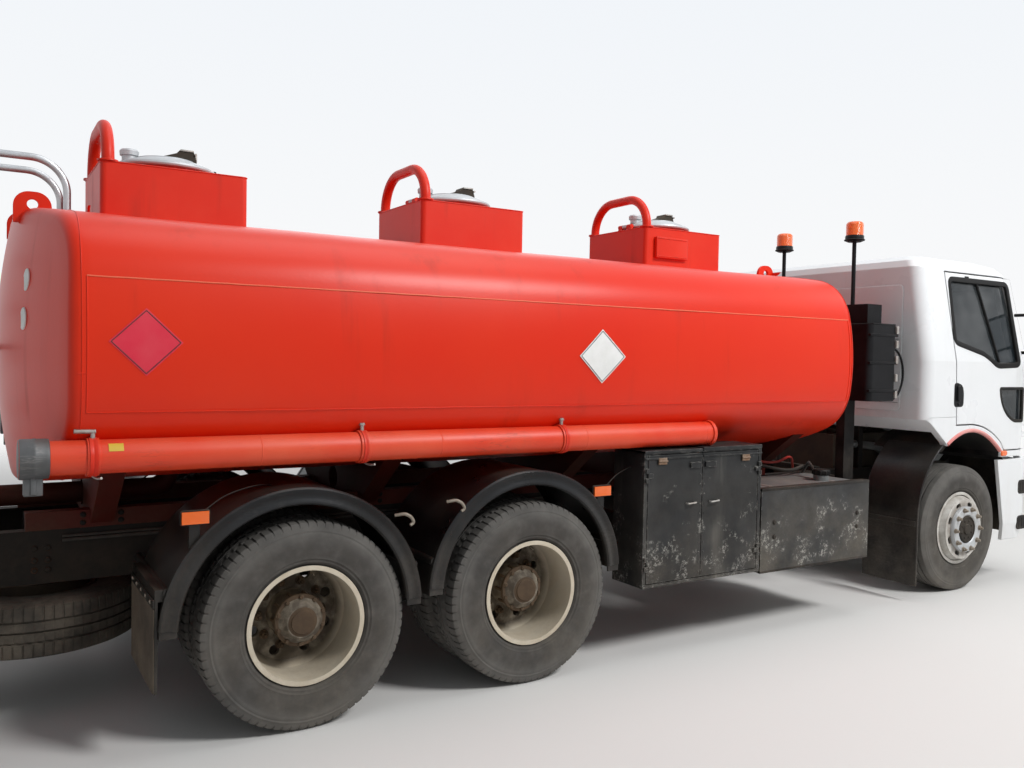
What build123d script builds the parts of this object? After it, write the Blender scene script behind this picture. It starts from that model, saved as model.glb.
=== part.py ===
from build123d import *
import os
from math import cos, hypot, radians, sin, sqrt

# Three-axle tanker truck with a forward-control cab and an oval tank.
# Millimetres. While it is being modelled, x = 0 is the middle axle, +X is forward, +Y is the
# truck's left and z = 0 is the road. main() moves it so that the origin is at the bottom centre.

# Whole truck
BUMPER_FRONT = 5590.0
UNDERRUN_REAR = -3060.0
UNDERRUN_DEPTH = 80.0
BODY_HALF = 1250.0
UNDERRUN_HALF = BODY_HALF - 70
UNDERRUN_Z = (400.0, 520.0)

# Running gear
FRONT_AXLE_X = 4254.0
BOGIE_SPACING = 1318.0
REAR_AXLE_X = -BOGIE_SPACING
TYRE_R = 521.0
TYRE_HALF = 147.5
RIM_SEAT_R = 286.0
FLANGE_R = 298.5
FLANGE_HALF = 126.0
RIM_WALL = 12.0
DISC_OFFSET = 170.0
DISC_THICK = 14.0
DISC_FLAT_R = 248.0
HUB_R = 125.0
HUB_BACK = -60.0
TWIN_HUB_BACK = -120.0
TWIN_BORE_END = 190.0
HOLE_COUNT = 8
HOLE_RING_R = 206.0
HOLE_R = 27.0
FRONT_TYRE_Y = 1043.0
REAR_OUTER_Y = 1095.0
TWIN_SPACING = 2 * DISC_OFFSET
HUB_Z = TYRE_R
SPINDLE_R = 45.0
RUNNING_GAP = 0.05
SEAT_GAP = 0.3
KINGPIN_Y = 905.0
KINGPIN_R = 25.0

# Frame
RAIL_Y = 425.0
RAIL_FLANGE = 80.0
RAIL_WALL = 10.0
RAIL_BOTTOM = 680.0
RAIL_TOP = 950.0
RAIL_REAR = UNDERRUN_REAR + 100
RAIL_FRONT = 5290.0
CROSS_HALF = 45.0
CROSS_XS = (RAIL_REAR + 110, -2430.0, -1000.0, -330.0, 1000.0, 2400.0, RAIL_FRONT - 50)

# Axles, springs and drive line
KNUCKLE_WEB_Y = 952.0
EYE_R = 42.0
BEAM_DROP_Y = 560.0
BEAM_PAD_Z = 490.0
ARM_LENGTH = 150.0
TRACK_PIN_R = 12.0
FRONT_SPRING_ENDS = (3480.0, 5030.0)
FRONT_SPRING_Y = (350.0, 440.0)
FRONT_SPRING_EYE_Z = 610.0
SPRING_MID_X = -BOGIE_SPACING / 2
REAR_SPRING_Y = (475.0, 560.0)
REAR_SPRING_FOOT = 604.0
HOUSING_R = 75.0
BANJO_R = 200.0
SHAFT_R = 50.0
ENGINE_X = (3710.0, 4670.0)
ENGINE_HALF = 330.0
ENGINE_TOP = 1240.0
GEARBOX_X = (3060.0, 3720.0)

# Spare wheel, flat below the rear of the frame
SPARE_X = -2430.0
SPARE_Z = 462.0
SPARE_BORE_R = 110.0

# Tank
TANK_REAR_EDGE = -2365.0
TANK_FRONT_EDGE = 2760.0
TANK_Z = 1869.5
TANK_HALF_HEIGHT = 703.5
TANK_SIDE_R = 540.0
TANK_HEAD_BULGE = 160.0
TANK_KNUCKLE_R = 60.0

# Sub-frame and saddles
SUBFRAME_TOP = 1040.0
SUBFRAME_WIDTH = 80.0
SUBFRAME_ENDS = (-2500.0, 2760.0)
SADDLE_LENGTH = 110.0
SADDLE_XS = (-2150.0, -690.0, 700.0, 1500.0, 2600.0)
SADDLE_BASE_HALF = 430.0
SADDLE_TOP_HALF = 900.0
SADDLE_TOP = 1330.0

# Hatch boxes on the tank
HATCH_REARS = (-2159.0, -311.0, 1511.0)
HATCH_LENGTH = 760.0
HATCH_HALF = 355.0
HATCH_TOP = 2850.0
MANHOLE_R = 225.0
MANHOLE_DEPTH = 250.0
COLLAR_WALL = 28.0
COLLAR_RISE = 30.0
HATCH_CORNER = 30.0
ARCH_IN = 40.0
ARCH_R = 32.5
ARCH_RISE = 260.0
ARCH_TOP = HATCH_TOP + ARCH_RISE
ARCH_BEND = 215.0
LID_R = 265.0
LID_RIM = 26.0
LID_DOME = 62.0
LID_HINGE_OUT = 19.0
LID_PIN_R = 9.0

# Lifting lugs
LUG_THICK = 20.0
LUG_LENGTH = 170.0
LUG_RISE = 67.0
LUG_TOP = TANK_Z + TANK_HALF_HEIGHT + LUG_RISE
LUG_EYE_DROP = 62.0
LUG_HOLE_R = 25.0
LUG_Y = 400.0
LUG_REAR_X = -2386.0
LUG_FRONT_X = 2640.0

# Hose tubes beside the tank
HOSE_Y = BODY_HALF - 80
HOSE_Z = 1393.0
HOSE_R = 75.0
HOSE_ENDS = (-2454.0, 1372.0)
HOSE_CAP_LENGTH = 110.0
HOSE_CAP_R = 84.0
HOSE_STRAP_XS = (-2280.0, -1030.0, 210.0)
HOSE_STRAP_WIDTH = 50.0
HOSE_STRAP_THICK = 8.0

# Rear ladder
LADDER_HALF = 200.0
LADDER_TUBE_R = 19.0
LADDER_X = RAIL_REAR + 110
LADDER_TOP = 2850.0
LADDER_FRONT_X = -2300.0
LADDER_BEND = 170.0
RUNG_PITCH = 290.0
RUNG_R = 14.0

# Rear outlet
OUTLET_FROM = -1750.0
OUTLET_Z = 1075.0
OUTLET_END = -2680.0
OUTLET_R = 57.0
OUTLET_BORE_R = 50.0
OUTLET_DEPTH = 120.0

# Equipment cabinet, right side
CABINET_X = (790.0, 1810.0)
CABINET_Z = (450.0, 1300.0)
CABINET_DEPTH = 295.0
CABINET_INNER = BODY_HALF - CABINET_DEPTH
CABINET_WALL = 20.0
CABINET_SPLIT = 1274.0
CABINET_DOOR_THICK = 22.0
CABINET_STRIP = 26.0
CABINET_LID_RISES = (4.0, 8.0)
DOOR_GAP = 6.0

# Fuel tank and guard, right side
GUARD_X = (1825.0, 2960.0)
GUARD_Z = (430.0, 1000.0)
GUARD_WALL = 12.0
GUARD_LIP = 60.0
FUEL_X = (1870.0, 2930.0)
FUEL_Y = (600.0, BODY_HALF - GUARD_LIP)
FUEL_Z = (450.0, 990.0)
FUEL_CORNER = 90.0

# Battery box and air tanks, left side
BATTERY_X = (1900.0, 2900.0)
BATTERY_Y = (640.0, BODY_HALF - 50)
BATTERY_Z = (480.0, 980.0)
AIR_TANK_X = (800.0, 1780.0)
AIR_TANK_YS = (620.0, 880.0)
AIR_TANK_Z = 720.0
AIR_TANK_R = 122.0

# Rear mudguards: centre x and z and outer radius of each arch
FENDER_ARCHES = ((-1365.0, 560.0, 650.0), (-32.0, 592.0, 633.0))
FENDER_WALL = 10.0
FENDER_SKIRT = 78.0
FENDER_INNER_Y = 600.0
FENDER_STAY_R = 21.0
FENDER_STAY_XS = (-1975.0, -755.0, -634.0, 570.0)
FLAP_X = -2030.0
FLAP_Z = (310.0, 750.0)
FLAP_THICK = 14.0

# Front mudguards behind the front wheels
GUARD_ARCH_X = 4285.0
GUARD_ARCH_Z = 640.0
GUARD_ARCH_R = 715.0
GUARD_ARCH_Y = (760.0, BODY_HALF - 5)
GUARD_ARCH_END = 3880.0
GUARD_FLAP_FOOT = 130.0

# Cab
CAB_REAR = 3640.0
CAB_WALL = 60.0
CAB_CORNER_R = 300.0
CAB_BOW_R = 2000.0
CAB_REAR_R = 90.0
CAB_BOTTOM = 1100.0
CAB_FLOOR = 1330.0
CAB_FLOOR_THICK = 50.0
FOOTWELL_X = 4740.0
FLOOR_STEP_X = 3925.0
FLOOR_STEP_Z = 1490.0
WAIST_Z = 1900.0
# Plan sections, bottom to top: height, half width, rear x, front x
CAB_SECTIONS = (
    (CAB_BOTTOM, 1250.0, CAB_REAR, 5520.0),
    (WAIST_Z, 1250.0, CAB_REAR, 5520.0),
    (2650.0, 1140.0, CAB_REAR, 5270.0),
    (2705.0, 1100.0, CAB_REAR + 25, 5190.0),
    (2748.0, 1000.0, CAB_REAR + 130, 5000.0),
)
DOOR_REAR = 4050.0
DOOR_FRONT = 5060.0
DOOR_TOP = 2620.0
DOOR_SILL = 1390.0
DOOR_AXIS_Y = 1211.0
DOOR_AXIS_BACK = 3.0
DOOR_HINGE_ZS = (1330.0, 1750.0)
CAB_DOOR_GAP = 11.0
DOOR_INNER_GAP = 6.0
WINDOW_TOP = 2570.0
# Side outlines in x and z: the wheel arch and the rear corner that are cut from the cab's flank
CAB_ARCH = ((3930.0, 1220.0), (4312.0, 1322.0), (4690.0, 1141.0))
CAB_REAR_CUT = ((3600.0, 1430.0), (3670.0, 1430.0), (3910.0, 1245.0))
CAB_ARCH_FRONT = 4700.0
# The door's foot, which follows the arch, the lean of its two upright edges, and its windows
DOOR_FOOT = ((4200.0, 1390.0), (4480.0, 1348.0), (4700.0, 1225.0))
DOOR_TOE = (4745.0, 1160.0)
DOOR_REAR_LEAN = 65.0
DOOR_FRONT_LEAN = 130.0
WINDOW = ((4035.0, WINDOW_TOP), (4030.0, 2055.0), (4430.0, 1966.0), (4615.0, 1868.0), (4940.0, 1880.0),
          (4872.0, WINDOW_TOP))
KERB_WINDOW_ARC = ((4900.0, 1400.0), (4735.0, 1500.0), (4662.0, 1680.0))
KERB_WINDOW_CORNERS = ((4662.0, 1680.0), (5012.0, 1680.0), (5012.0, 1400.0), (4900.0, 1400.0))
GLASS_INSET = 20.0
GLASS_THICK = 8.0
SCREEN_Z = (1905.0, 2560.0)
SCREEN_LOW_HALF = 1060.0
SCREEN_HIGH_HALF = 975.0
SCREEN_FROM_X = 4850.0
GRILLE_Z = (1230.0, 1740.0)
GRILLE_HALF = 720.0
GRILLE_SLAT = 26.0
GRILLE_PITCH = 80.0
TILT_AXIS = (5440.0, 1060.0)
TILT_LUG_Y = 430.0
TILT_PIN_R = 20.0
TILT_BRACKET_Y = (350.0, 424.0)
CAB_POST_X = (3930.0, 3990.0)
SEAT_X = 4420.0
SEAT_Y = 640.0
DASH_HALF = 1120.0
# Dashboard's side outline in x and z
DASH_OUTLINE = ((5010.0, 1620.0), (5480.0, 1620.0), (5480.0, 1860.0), (5120.0, 1880.0), (5010.0, 1780.0))
DASH_PILLAR_X = 5140.0
COLUMN_LENGTH = 310.0
STEER_HUB = (4870.0, 2010.0)
STEER_LEAN = 35.0
STEER_R = 225.0
MIRROR_X = 5150.0
MIRROR_Y = 1385.0
MIRROR_Z = (1930.0, 2380.0)

# Lamps, intake and beacon masts
MARKERS = ((-1859.0, 1103.0), (474.0, 1078.0))
MARKER_DEPTH = 22.0
MASTS = ((3300.0, -800.0), (3400.0, 0.0))
MAST_R = 16.0
MAST_TOP = 2850.0
BEACON_R = 66.0
BEACON_HEIGHT = 120.0
AIR_BOX_X = (3085.0, 3420.0)
AIR_BOX_Y = (-1130.0, -700.0)
AIR_BOX_Z = (1580.0, 2170.0)
AIR_HEAD_TOP = 2330.0
TAIL_LAMP_Y = (UNDERRUN_HALF - 350, UNDERRUN_HALF - 30)
TAIL_LAMP_HEIGHT = 130.0

# Bumper and headlamps
BUMPER_Z = (380.0, 1050.0)
BUMPER_SIDE_TOP = 1074.0
BUMPER_FROM_X = 4500.0
BUMPER_REAR_EDGE = ((4800.0, 379.0), (4775.0, 540.0), (4665.0, 1075.0))
BUMPER_STEP_HALF = 1050.0
BUMPER_WALL = 30.0
INTAKE_HALF = 430.0
INTAKE_Z = (520.0, 660.0)
LAMP_Y = (680.0, 1020.0)
LAMP_Z = (640.0, 830.0)
CARRIER_Z = (700.0, 790.0)


def block(x, y, z):
    """Box between (low, high) pairs on each axis."""
    pairs = (x, y, z)
    middle = [(low + high) / 2 for low, high in pairs]
    size = [high - low for low, high in pairs]
    return Pos(*middle) * Box(*size)


def rod(start, end, radius):
    """Round bar from one point to another."""
    run = Vector(*end) - Vector(*start)
    base = Plane(origin=start, z_dir=run)
    return base * Cylinder(radius, run.length, align=(Align.CENTER, Align.CENTER, Align.MIN))


def bent_tube(points, radius, bend):
    """Round tube along straight runs joined by arcs."""
    path = FilletPolyline(*points, radius=bend)
    return sweep(Plane(origin=path @ 0, z_dir=path % 0) * Circle(radius), path=path)


def outline(points):
    """Flat face inside a closed polyline."""
    return make_face(Polyline(*points, close=True))


def side_plate(face, y):
    """Extrude a face drawn in x and z from y[0] to y[1]."""
    return Pos(0, y[1], 0) * extrude(Plane.XZ * face, amount=y[1] - y[0])


def cross_plate(face, x):
    """Extrude a face drawn in y and z from x[0] to x[1]."""
    return Pos(x[0], 0, 0) * extrude(Plane.YZ * face, amount=x[1] - x[0])


def turned(points):
    """Solid of revolution about the Y axis from (radius, y) points."""
    return revolve(outline(points), Axis.Y)


def other_side(shape):
    """The same shape on the truck's other side."""
    return mirror(shape, about=Plane.XZ)


def on_side(shape, side):
    """The shape as drawn for the left (side 1), or mirrored for the right (side -1)."""
    return shape if side > 0 else other_side(shape)


def merged(shapes):
    """Fuse a list of shapes into one."""
    total = shapes[0]
    for shape in shapes[1:]:
        total += shape
    return total


def hinge(length, knuckle_r, pin_r, fixed_arm, moving_arm, thickness):
    """Three-knuckle hinge on the local Z axis: fixed leaf towards -X, moving leaf towards +X."""
    third = length / 3
    gap = 1.0
    barrel = Cylinder(knuckle_r, third - gap)
    ends = [Pos(0, 0, side * third) * barrel for side in (-1, 1)]
    for side in (-1, 1):
        if fixed_arm > 0:
            leaf = Box(fixed_arm, thickness, third - gap, align=(Align.MAX, Align.CENTER, Align.CENTER))
            ends.append(Pos(0, 0, side * third) * leaf)
    fixed = merged(ends) + Cylinder(pin_r, length - gap)
    leaf = Box(moving_arm, thickness, third - gap, align=(Align.MIN, Align.CENTER, Align.CENTER))
    moving = barrel + leaf - Cylinder(pin_r + RUNNING_GAP, third)
    return fixed, moving


def hand_holes(count, ring_r, hole_r, stretch, y):
    """Ring of through holes about the Y axis, round or lengthened along the ring."""
    cutter = SlotOverall(2 * hole_r * stretch, 2 * hole_r) if stretch > 1 else Circle(hole_r)
    single = Pos(0, y[1], 0) * extrude(Plane.XZ * (Pos(0, ring_r) * cutter), amount=y[1] - y[0])
    return [Rot(0, (turn + 0.5) * 360 / count, 0) * single for turn in range(count)]


def tyre(y):
    """Road tyre about the Y axis with its middle at y."""
    half = [
        (RIM_SEAT_R, FLANGE_HALF - 13),
        (FLANGE_R + 2, FLANGE_HALF - 13),
        (400.0, TYRE_HALF),
        (TYRE_R - 22, TYRE_HALF - 10),
        (TYRE_R, TYRE_HALF - 38),
    ]
    points = [(r, y + s) for r, s in half] + [(r, y - s) for r, s in reversed(half)]
    return turned(points)


def front_rim():
    """Single wheel with its hub: y is measured outwards from the tyre's middle."""
    inside = RIM_SEAT_R - RIM_WALL
    face = DISC_OFFSET
    back = DISC_OFFSET - DISC_THICK
    bore = SPINDLE_R + RUNNING_GAP
    lip = FLANGE_HALF - 13
    solid = turned([
        (0, face - 12), (bore, face - 12), (bore, HUB_BACK), (HUB_R, HUB_BACK), (HUB_R, back),
        (DISC_FLAT_R - 6, back), (inside, 70), (inside, -FLANGE_HALF), (FLANGE_R, -FLANGE_HALF),
        (RIM_SEAT_R, -lip), (RIM_SEAT_R, lip), (FLANGE_R, FLANGE_HALF), (inside, FLANGE_HALF),
        (inside, 96), (DISC_FLAT_R, face), (HUB_R, face), (HUB_R - 30, face + 26), (0, face + 26),
    ])
    return solid - hand_holes(HOLE_COUNT, HOLE_RING_R, HOLE_R * 0.7, 1.7, (back - 10, face + 10))


def twin_rim():
    """Twin wheels with their hub: y is measured outwards from the plane where the discs meet."""
    inside = RIM_SEAT_R - RIM_WALL
    bore = SPINDLE_R + RUNNING_GAP
    near = DISC_OFFSET - FLANGE_HALF
    far = DISC_OFFSET + FLANGE_HALF
    half = [
        (DISC_FLAT_R, DISC_THICK), (inside, 70), (inside, far), (FLANGE_R, far),
        (RIM_SEAT_R, far - 13), (RIM_SEAT_R, near + 13), (FLANGE_R, near), (inside, near),
    ]
    inner = [(r, -s) for r, s in half]
    solid = turned(
        [(0, TWIN_BORE_END), (bore, TWIN_BORE_END), (bore, TWIN_HUB_BACK), (HUB_R, TWIN_HUB_BACK)]
        + [(HUB_R, -DISC_THICK)] + inner + list(reversed(half)) + [(HUB_R, DISC_THICK)]
        + [(HUB_R - 10, TWIN_BORE_END), (HUB_R - 45, TWIN_BORE_END + 35), (0, TWIN_BORE_END + 35)]
    )
    return solid - hand_holes(HOLE_COUNT, HOLE_RING_R, HOLE_R, 1, (-40, 40))


def wheels():
    """Tyre and rim nodes of the six wheel bodies."""
    nodes = {}
    mate_y = REAR_OUTER_Y - DISC_OFFSET
    tyres = {"front": tyre(0), "twin": Compound([tyre(DISC_OFFSET), tyre(-DISC_OFFSET)])}
    rims = {"front": front_rim(), "twin": twin_rim()}
    # Axle name, wheel kind, x, y of the wheel's own zero
    axles = (
        ("front", "front", FRONT_AXLE_X, FRONT_TYRE_Y),
        ("middle", "twin", 0.0, mate_y),
        ("rear", "twin", REAR_AXLE_X, mate_y),
    )
    for axle, kind, x, y in axles:
        for side, name in ((1, "left"), (-1, "right")):
            for part, shape in (("tyre", tyres[kind]), ("rim", rims[kind])):
                nodes[f"{part}_{axle}_{name}"] = on_side(Pos(x, y, HUB_Z) * shape, side)
    return nodes


def rail_section():
    """Channel section of the left frame rail in y and z, open towards the middle."""
    inner = RAIL_Y - RAIL_FLANGE
    return outline([
        (RAIL_Y, RAIL_BOTTOM), (RAIL_Y, RAIL_TOP), (inner, RAIL_TOP), (inner, RAIL_TOP - RAIL_WALL),
        (RAIL_Y - RAIL_WALL, RAIL_TOP - RAIL_WALL), (RAIL_Y - RAIL_WALL, RAIL_BOTTOM + RAIL_WALL),
        (inner, RAIL_BOTTOM + RAIL_WALL), (inner, RAIL_BOTTOM),
    ])


def frame():
    """Ladder frame: two channel rails, cross members, spring brackets and the underrun bar."""
    rail = cross_plate(rail_section(), (RAIL_REAR, RAIL_FRONT))
    web = RAIL_Y - RAIL_WALL
    parts = [rail, other_side(rail)]
    for x in CROSS_XS:
        z = (RAIL_BOTTOM + 40, RAIL_TOP - 20)
        parts.append(block((x - CROSS_HALF, x + CROSS_HALF), (-web, web), z))
    spare_top = SPARE_Z + TYRE_HALF + 22
    parts.append(rod((SPARE_X, 0, RAIL_BOTTOM + 60), (SPARE_X, 0, spare_top + SEAT_GAP), 40))
    parts.append(rod((SPARE_X, 0, spare_top + SEAT_GAP), (SPARE_X, 0, spare_top + 16), SPARE_BORE_R + 50))
    for side in (1, -1):
        pad = block((SPRING_MID_X - 120, SPRING_MID_X + 120), (RAIL_Y, RAIL_Y + 40), (540, RAIL_BOTTOM + 60))
        seat_y = (RAIL_Y, REAR_SPRING_Y[1] + 10)
        seat = block((SPRING_MID_X - 70, SPRING_MID_X + 70), seat_y, (500, REAR_SPRING_FOOT))
        parts += [on_side(pad, side), on_side(seat, side)]
        for x in FRONT_SPRING_ENDS:
            bracket = block((x - 55, x + 55), FRONT_SPRING_Y, (FRONT_SPRING_EYE_Z + 30, RAIL_BOTTOM))
            parts.append(on_side(bracket, side))
        arm_x = (UNDERRUN_REAR + UNDERRUN_DEPTH, RAIL_REAR + 80)
        arm = block(arm_x, (RAIL_Y - RAIL_FLANGE, RAIL_Y), (UNDERRUN_Z[0], RAIL_BOTTOM))
        parts.append(on_side(arm, side))
    bar_x = (UNDERRUN_REAR, UNDERRUN_REAR + UNDERRUN_DEPTH)
    parts.append(block(bar_x, (-UNDERRUN_HALF, UNDERRUN_HALF), UNDERRUN_Z))
    solid = merged(parts)
    shaft_clear = rod((SPRING_MID_X - 400, 0, HUB_Z), (SPRING_MID_X + 400, 0, HUB_Z), SHAFT_R + 25)
    return solid - shaft_clear


def springs():
    """Leaf packs: one above each front beam end and one on each side of the bogie."""
    mid, ends, eye = FRONT_AXLE_X, FRONT_SPRING_ENDS, FRONT_SPRING_EYE_Z
    low = BEAM_PAD_Z + SEAT_GAP
    upper = ThreePointArc((ends[0], eye), (mid, low + 70), (ends[1], eye))
    lower = ThreePointArc((ends[0], eye - 24), (mid, low), (ends[1], eye - 24))
    sides = [Line(upper @ 0, lower @ 0), Line(upper @ 1, lower @ 1)]
    front = side_plate(make_face([upper, lower] + sides), FRONT_SPRING_Y)
    for x in ends:
        front += rod((x, FRONT_SPRING_Y[0], eye), (x, FRONT_SPRING_Y[1], eye), 30)
    foot = REAR_SPRING_FOOT + SEAT_GAP
    reach = BOGIE_SPACING / 2 + 60
    rear_x, mid_x, front_x = SPRING_MID_X - reach, SPRING_MID_X, SPRING_MID_X + reach
    top = ThreePointArc((rear_x, foot + 40), (mid_x, foot + 115), (front_x, foot + 40))
    base = Line((rear_x, foot), (front_x, foot))
    sides = [Line(top @ 0, base @ 0), Line(top @ 1, base @ 1)]
    rear = side_plate(make_face([top, base] + sides), REAR_SPRING_Y)
    return Compound([front, other_side(front), rear, other_side(rear)])


def front_axle():
    """Dropped beam with an eye for each kingpin."""
    half = [(0, 400), (BEAM_DROP_Y, 400), (BEAM_DROP_Y + 150, HUB_Z - 45), (KINGPIN_Y, HUB_Z - 45)]
    upper = [(KINGPIN_Y, HUB_Z + 45), (BEAM_DROP_Y + 120, HUB_Z + 45), (BEAM_DROP_Y - 30, BEAM_PAD_Z)]
    right = half + upper
    left = [(-y, z) for y, z in reversed(right)]
    x = (FRONT_AXLE_X - 45, FRONT_AXLE_X + 45)
    beam = cross_plate(outline(right[:4] + right[4:] + left[:-1]), x)
    for side in (1, -1):
        low = (FRONT_AXLE_X, side * KINGPIN_Y, HUB_Z - 50)
        high = (FRONT_AXLE_X, side * KINGPIN_Y, HUB_Z + 50)
        beam += rod(low, high, EYE_R)
        beam -= rod((low[0], low[1], 0), (high[0], high[1], 1000), KINGPIN_R + RUNNING_GAP)
    return beam


def knuckle():
    """Left steering knuckle: fork round the beam's eye, kingpin, spindle and steering arm."""
    x = (FRONT_AXLE_X - 45, FRONT_AXLE_X + 45)
    y = (KINGPIN_Y - 40, KNUCKLE_WEB_Y)
    spindle_end = FRONT_TYRE_Y + DISC_OFFSET - 18
    body = merged([
        block(x, y, (HUB_Z + 56, HUB_Z + 130)),
        block(x, y, (HUB_Z - 130, HUB_Z - 56)),
        block((x[0] - 10, x[1] + 10), (KNUCKLE_WEB_Y, KNUCKLE_WEB_Y + 23), (HUB_Z - 130, HUB_Z + 130)),
        rod((FRONT_AXLE_X, KINGPIN_Y, HUB_Z - 130), (FRONT_AXLE_X, KINGPIN_Y, HUB_Z + 130), KINGPIN_R),
        rod((FRONT_AXLE_X, KNUCKLE_WEB_Y, HUB_Z), (FRONT_AXLE_X, spindle_end, HUB_Z), SPINDLE_R),
    ])
    arm_y = KINGPIN_Y
    arm = block((FRONT_AXLE_X - ARM_LENGTH, x[0] + 20), (arm_y - 20, arm_y + 20), (HUB_Z - 130, HUB_Z - 90))
    pin_x = FRONT_AXLE_X - ARM_LENGTH
    pin = rod((pin_x, arm_y, HUB_Z - 150), (pin_x, arm_y, HUB_Z - 90), TRACK_PIN_R)
    return body + arm + rod((pin_x, arm_y, HUB_Z - 130), (pin_x, arm_y, HUB_Z - 90), 24) + pin


def track_rod():
    """Rod between the two steering arms, with an eye on each arm's pin."""
    pin_x = FRONT_AXLE_X - ARM_LENGTH
    arm_y = KINGPIN_Y
    z = HUB_Z - 130 - 5 - 16
    bar = rod((pin_x, -arm_y, z), (pin_x, arm_y, z), 15)
    for side in (1, -1):
        low = (pin_x, side * arm_y, z - 16)
        high = (pin_x, side * arm_y, z + 16)
        bar += rod(low, high, 26)
        bar -= rod((low[0], low[1], z - 40), (high[0], high[1], z + 40), TRACK_PIN_R + RUNNING_GAP)
    return bar


def drive_axles():
    """Two axle housings with their spindles and round middle casings, and the shafts that drive them."""
    mate_y = REAR_OUTER_Y - DISC_OFFSET
    shoulder = mate_y + TWIN_HUB_BACK - 12
    tip = mate_y + TWIN_BORE_END - 10
    housings = []
    for x in (0.0, REAR_AXLE_X):
        beam = rod((x, -shoulder, HUB_Z), (x, shoulder, HUB_Z), HOUSING_R)
        beam += rod((x, -tip, HUB_Z), (x, tip, HUB_Z), SPINDLE_R)
        beam += rod((x - 90, 0, HUB_Z), (x + 90, 0, HUB_Z), BANJO_R)
        for side in (1, -1):
            pad = block((x - 60, x + 60), REAR_SPRING_Y, (HUB_Z, REAR_SPRING_FOOT))
            beam += on_side(pad, side)
        housings.append(beam)
    return Compound(housings + propeller_shafts())


def propeller_shafts():
    """Shaft from the gearbox to the middle axle, and from there to the rear axle, with their flanges."""
    z = HUB_Z
    shafts = []
    ends = ((GEARBOX_X[0] - SEAT_GAP, 90 + SEAT_GAP), (-90 - SEAT_GAP, REAR_AXLE_X + 90 + SEAT_GAP))
    for front, rear in ends:
        shaft = rod((rear, 0, z), (front, 0, z), SHAFT_R)
        for x, step in ((rear, 30), (front, -30)):
            shaft += rod((min(x, x + step), 0, z), (max(x, x + step), 0, z), SHAFT_R + 22)
        shafts.append(shaft)
    return shafts


def engine():
    """Engine and gearbox as plain blocks, with mounting feet on the rails."""
    body = block(ENGINE_X, (-ENGINE_HALF, ENGINE_HALF), (560, ENGINE_TOP))
    gearbox = rod((GEARBOX_X[0], 0, HUB_Z + 80), (GEARBOX_X[1], 0, HUB_Z + 80), 190)
    body += gearbox
    for side in (1, -1):
        for x in (ENGINE_X[0] + 100, ENGINE_X[1] - 100):
            foot_z = (RAIL_TOP + SEAT_GAP, RAIL_TOP + 30)
            foot = block((x - 40, x + 40), (ENGINE_HALF - 10, RAIL_Y - 20), foot_z)
            body += on_side(foot, side)
    return body


def oval(half_width, half_height, side_r):
    """Four-arc oval in y and z about the origin: flat crown and floor, round flanks."""
    side_y = half_width - side_r
    crown_r = (side_y**2 + half_height**2 - side_r**2) / (2 * (half_height - side_r))
    crown_z = half_height - crown_r
    reach = hypot(side_y, crown_z)
    meet_y = side_y / reach * crown_r
    meet_z = crown_z - crown_z / reach * crown_r
    return make_face([
        ThreePointArc((-meet_y, meet_z), (0, half_height), (meet_y, meet_z)),
        ThreePointArc((meet_y, meet_z), (half_width, 0), (meet_y, -meet_z)),
        ThreePointArc((meet_y, -meet_z), (0, -half_height), (-meet_y, -meet_z)),
        ThreePointArc((-meet_y, -meet_z), (-half_width, 0), (-meet_y, meet_z)),
    ])


def tank():
    """Oval barrel closed by two dished heads with rounded knuckles."""
    tips = (TANK_REAR_EDGE - TANK_HEAD_BULGE, TANK_FRONT_EDGE + TANK_HEAD_BULGE)
    dish_r = (BODY_HALF**2 + TANK_HEAD_BULGE**2) / (2 * TANK_HEAD_BULGE)
    section = Pos(0, TANK_Z) * oval(BODY_HALF, TANK_HALF_HEIGHT, TANK_SIDE_R)
    solid = cross_plate(section, tips)
    for tip, turn in ((tips[0], 1), (tips[1], -1)):
        solid &= Pos(tip + turn * dish_r, 0, TANK_Z) * Sphere(dish_r)
    rims = [edge for face in solid.faces().filter_by(GeomType.SPHERE) for edge in face.edges()]
    return fillet(rims, TANK_KNUCKLE_R)


def lifting_lugs(barrel):
    """Upright plates with a round eye at both ends of the tank's top."""
    lugs = []
    for x in (LUG_REAR_X - LUG_LENGTH, LUG_FRONT_X):
        for y in (-LUG_Y, LUG_Y):
            top = LUG_TOP
            crown = TANK_Z + TANK_HALF_HEIGHT
            plate = block((x, x + LUG_LENGTH), (y - LUG_THICK / 2, y + LUG_THICK / 2), (crown - 90, top))
            eye_x, eye_z = x + LUG_LENGTH / 2, top - LUG_EYE_DROP
            plate = fillet(plate.edges().filter_by(Axis.Y).group_by(Axis.Z)[-1], LUG_LENGTH * 0.42)
            eye = rod((eye_x, y - LUG_THICK, eye_z), (eye_x, y + LUG_THICK, eye_z), LUG_HOLE_R)
            pieces = (plate - eye - barrel).solids()
            lugs.append(pieces.sort_by(Axis.Z)[-1])
    return Compound(lugs)


def saddles(barrel):
    """Sub-frame on the rails with shaped cross saddles under the tank."""
    inner = RAIL_Y - SUBFRAME_WIDTH
    low = RAIL_TOP
    beam = block(SUBFRAME_ENDS, (inner, RAIL_Y), (low, SUBFRAME_TOP))
    parts = [beam, other_side(beam)]
    shape = outline([
        (-SADDLE_BASE_HALF, low + 20), (SADDLE_BASE_HALF, low + 20),
        (SADDLE_TOP_HALF, SADDLE_TOP), (-SADDLE_TOP_HALF, SADDLE_TOP),
    ])
    for x in SADDLE_XS:
        parts.append(cross_plate(shape, (x - SADDLE_LENGTH / 2, x + SADDLE_LENGTH / 2)))
    pipe_way = rod((SUBFRAME_ENDS[0], 0, OUTLET_Z), (0, 0, OUTLET_Z), OUTLET_R + 18)
    return merged(parts) - barrel - pipe_way


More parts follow.
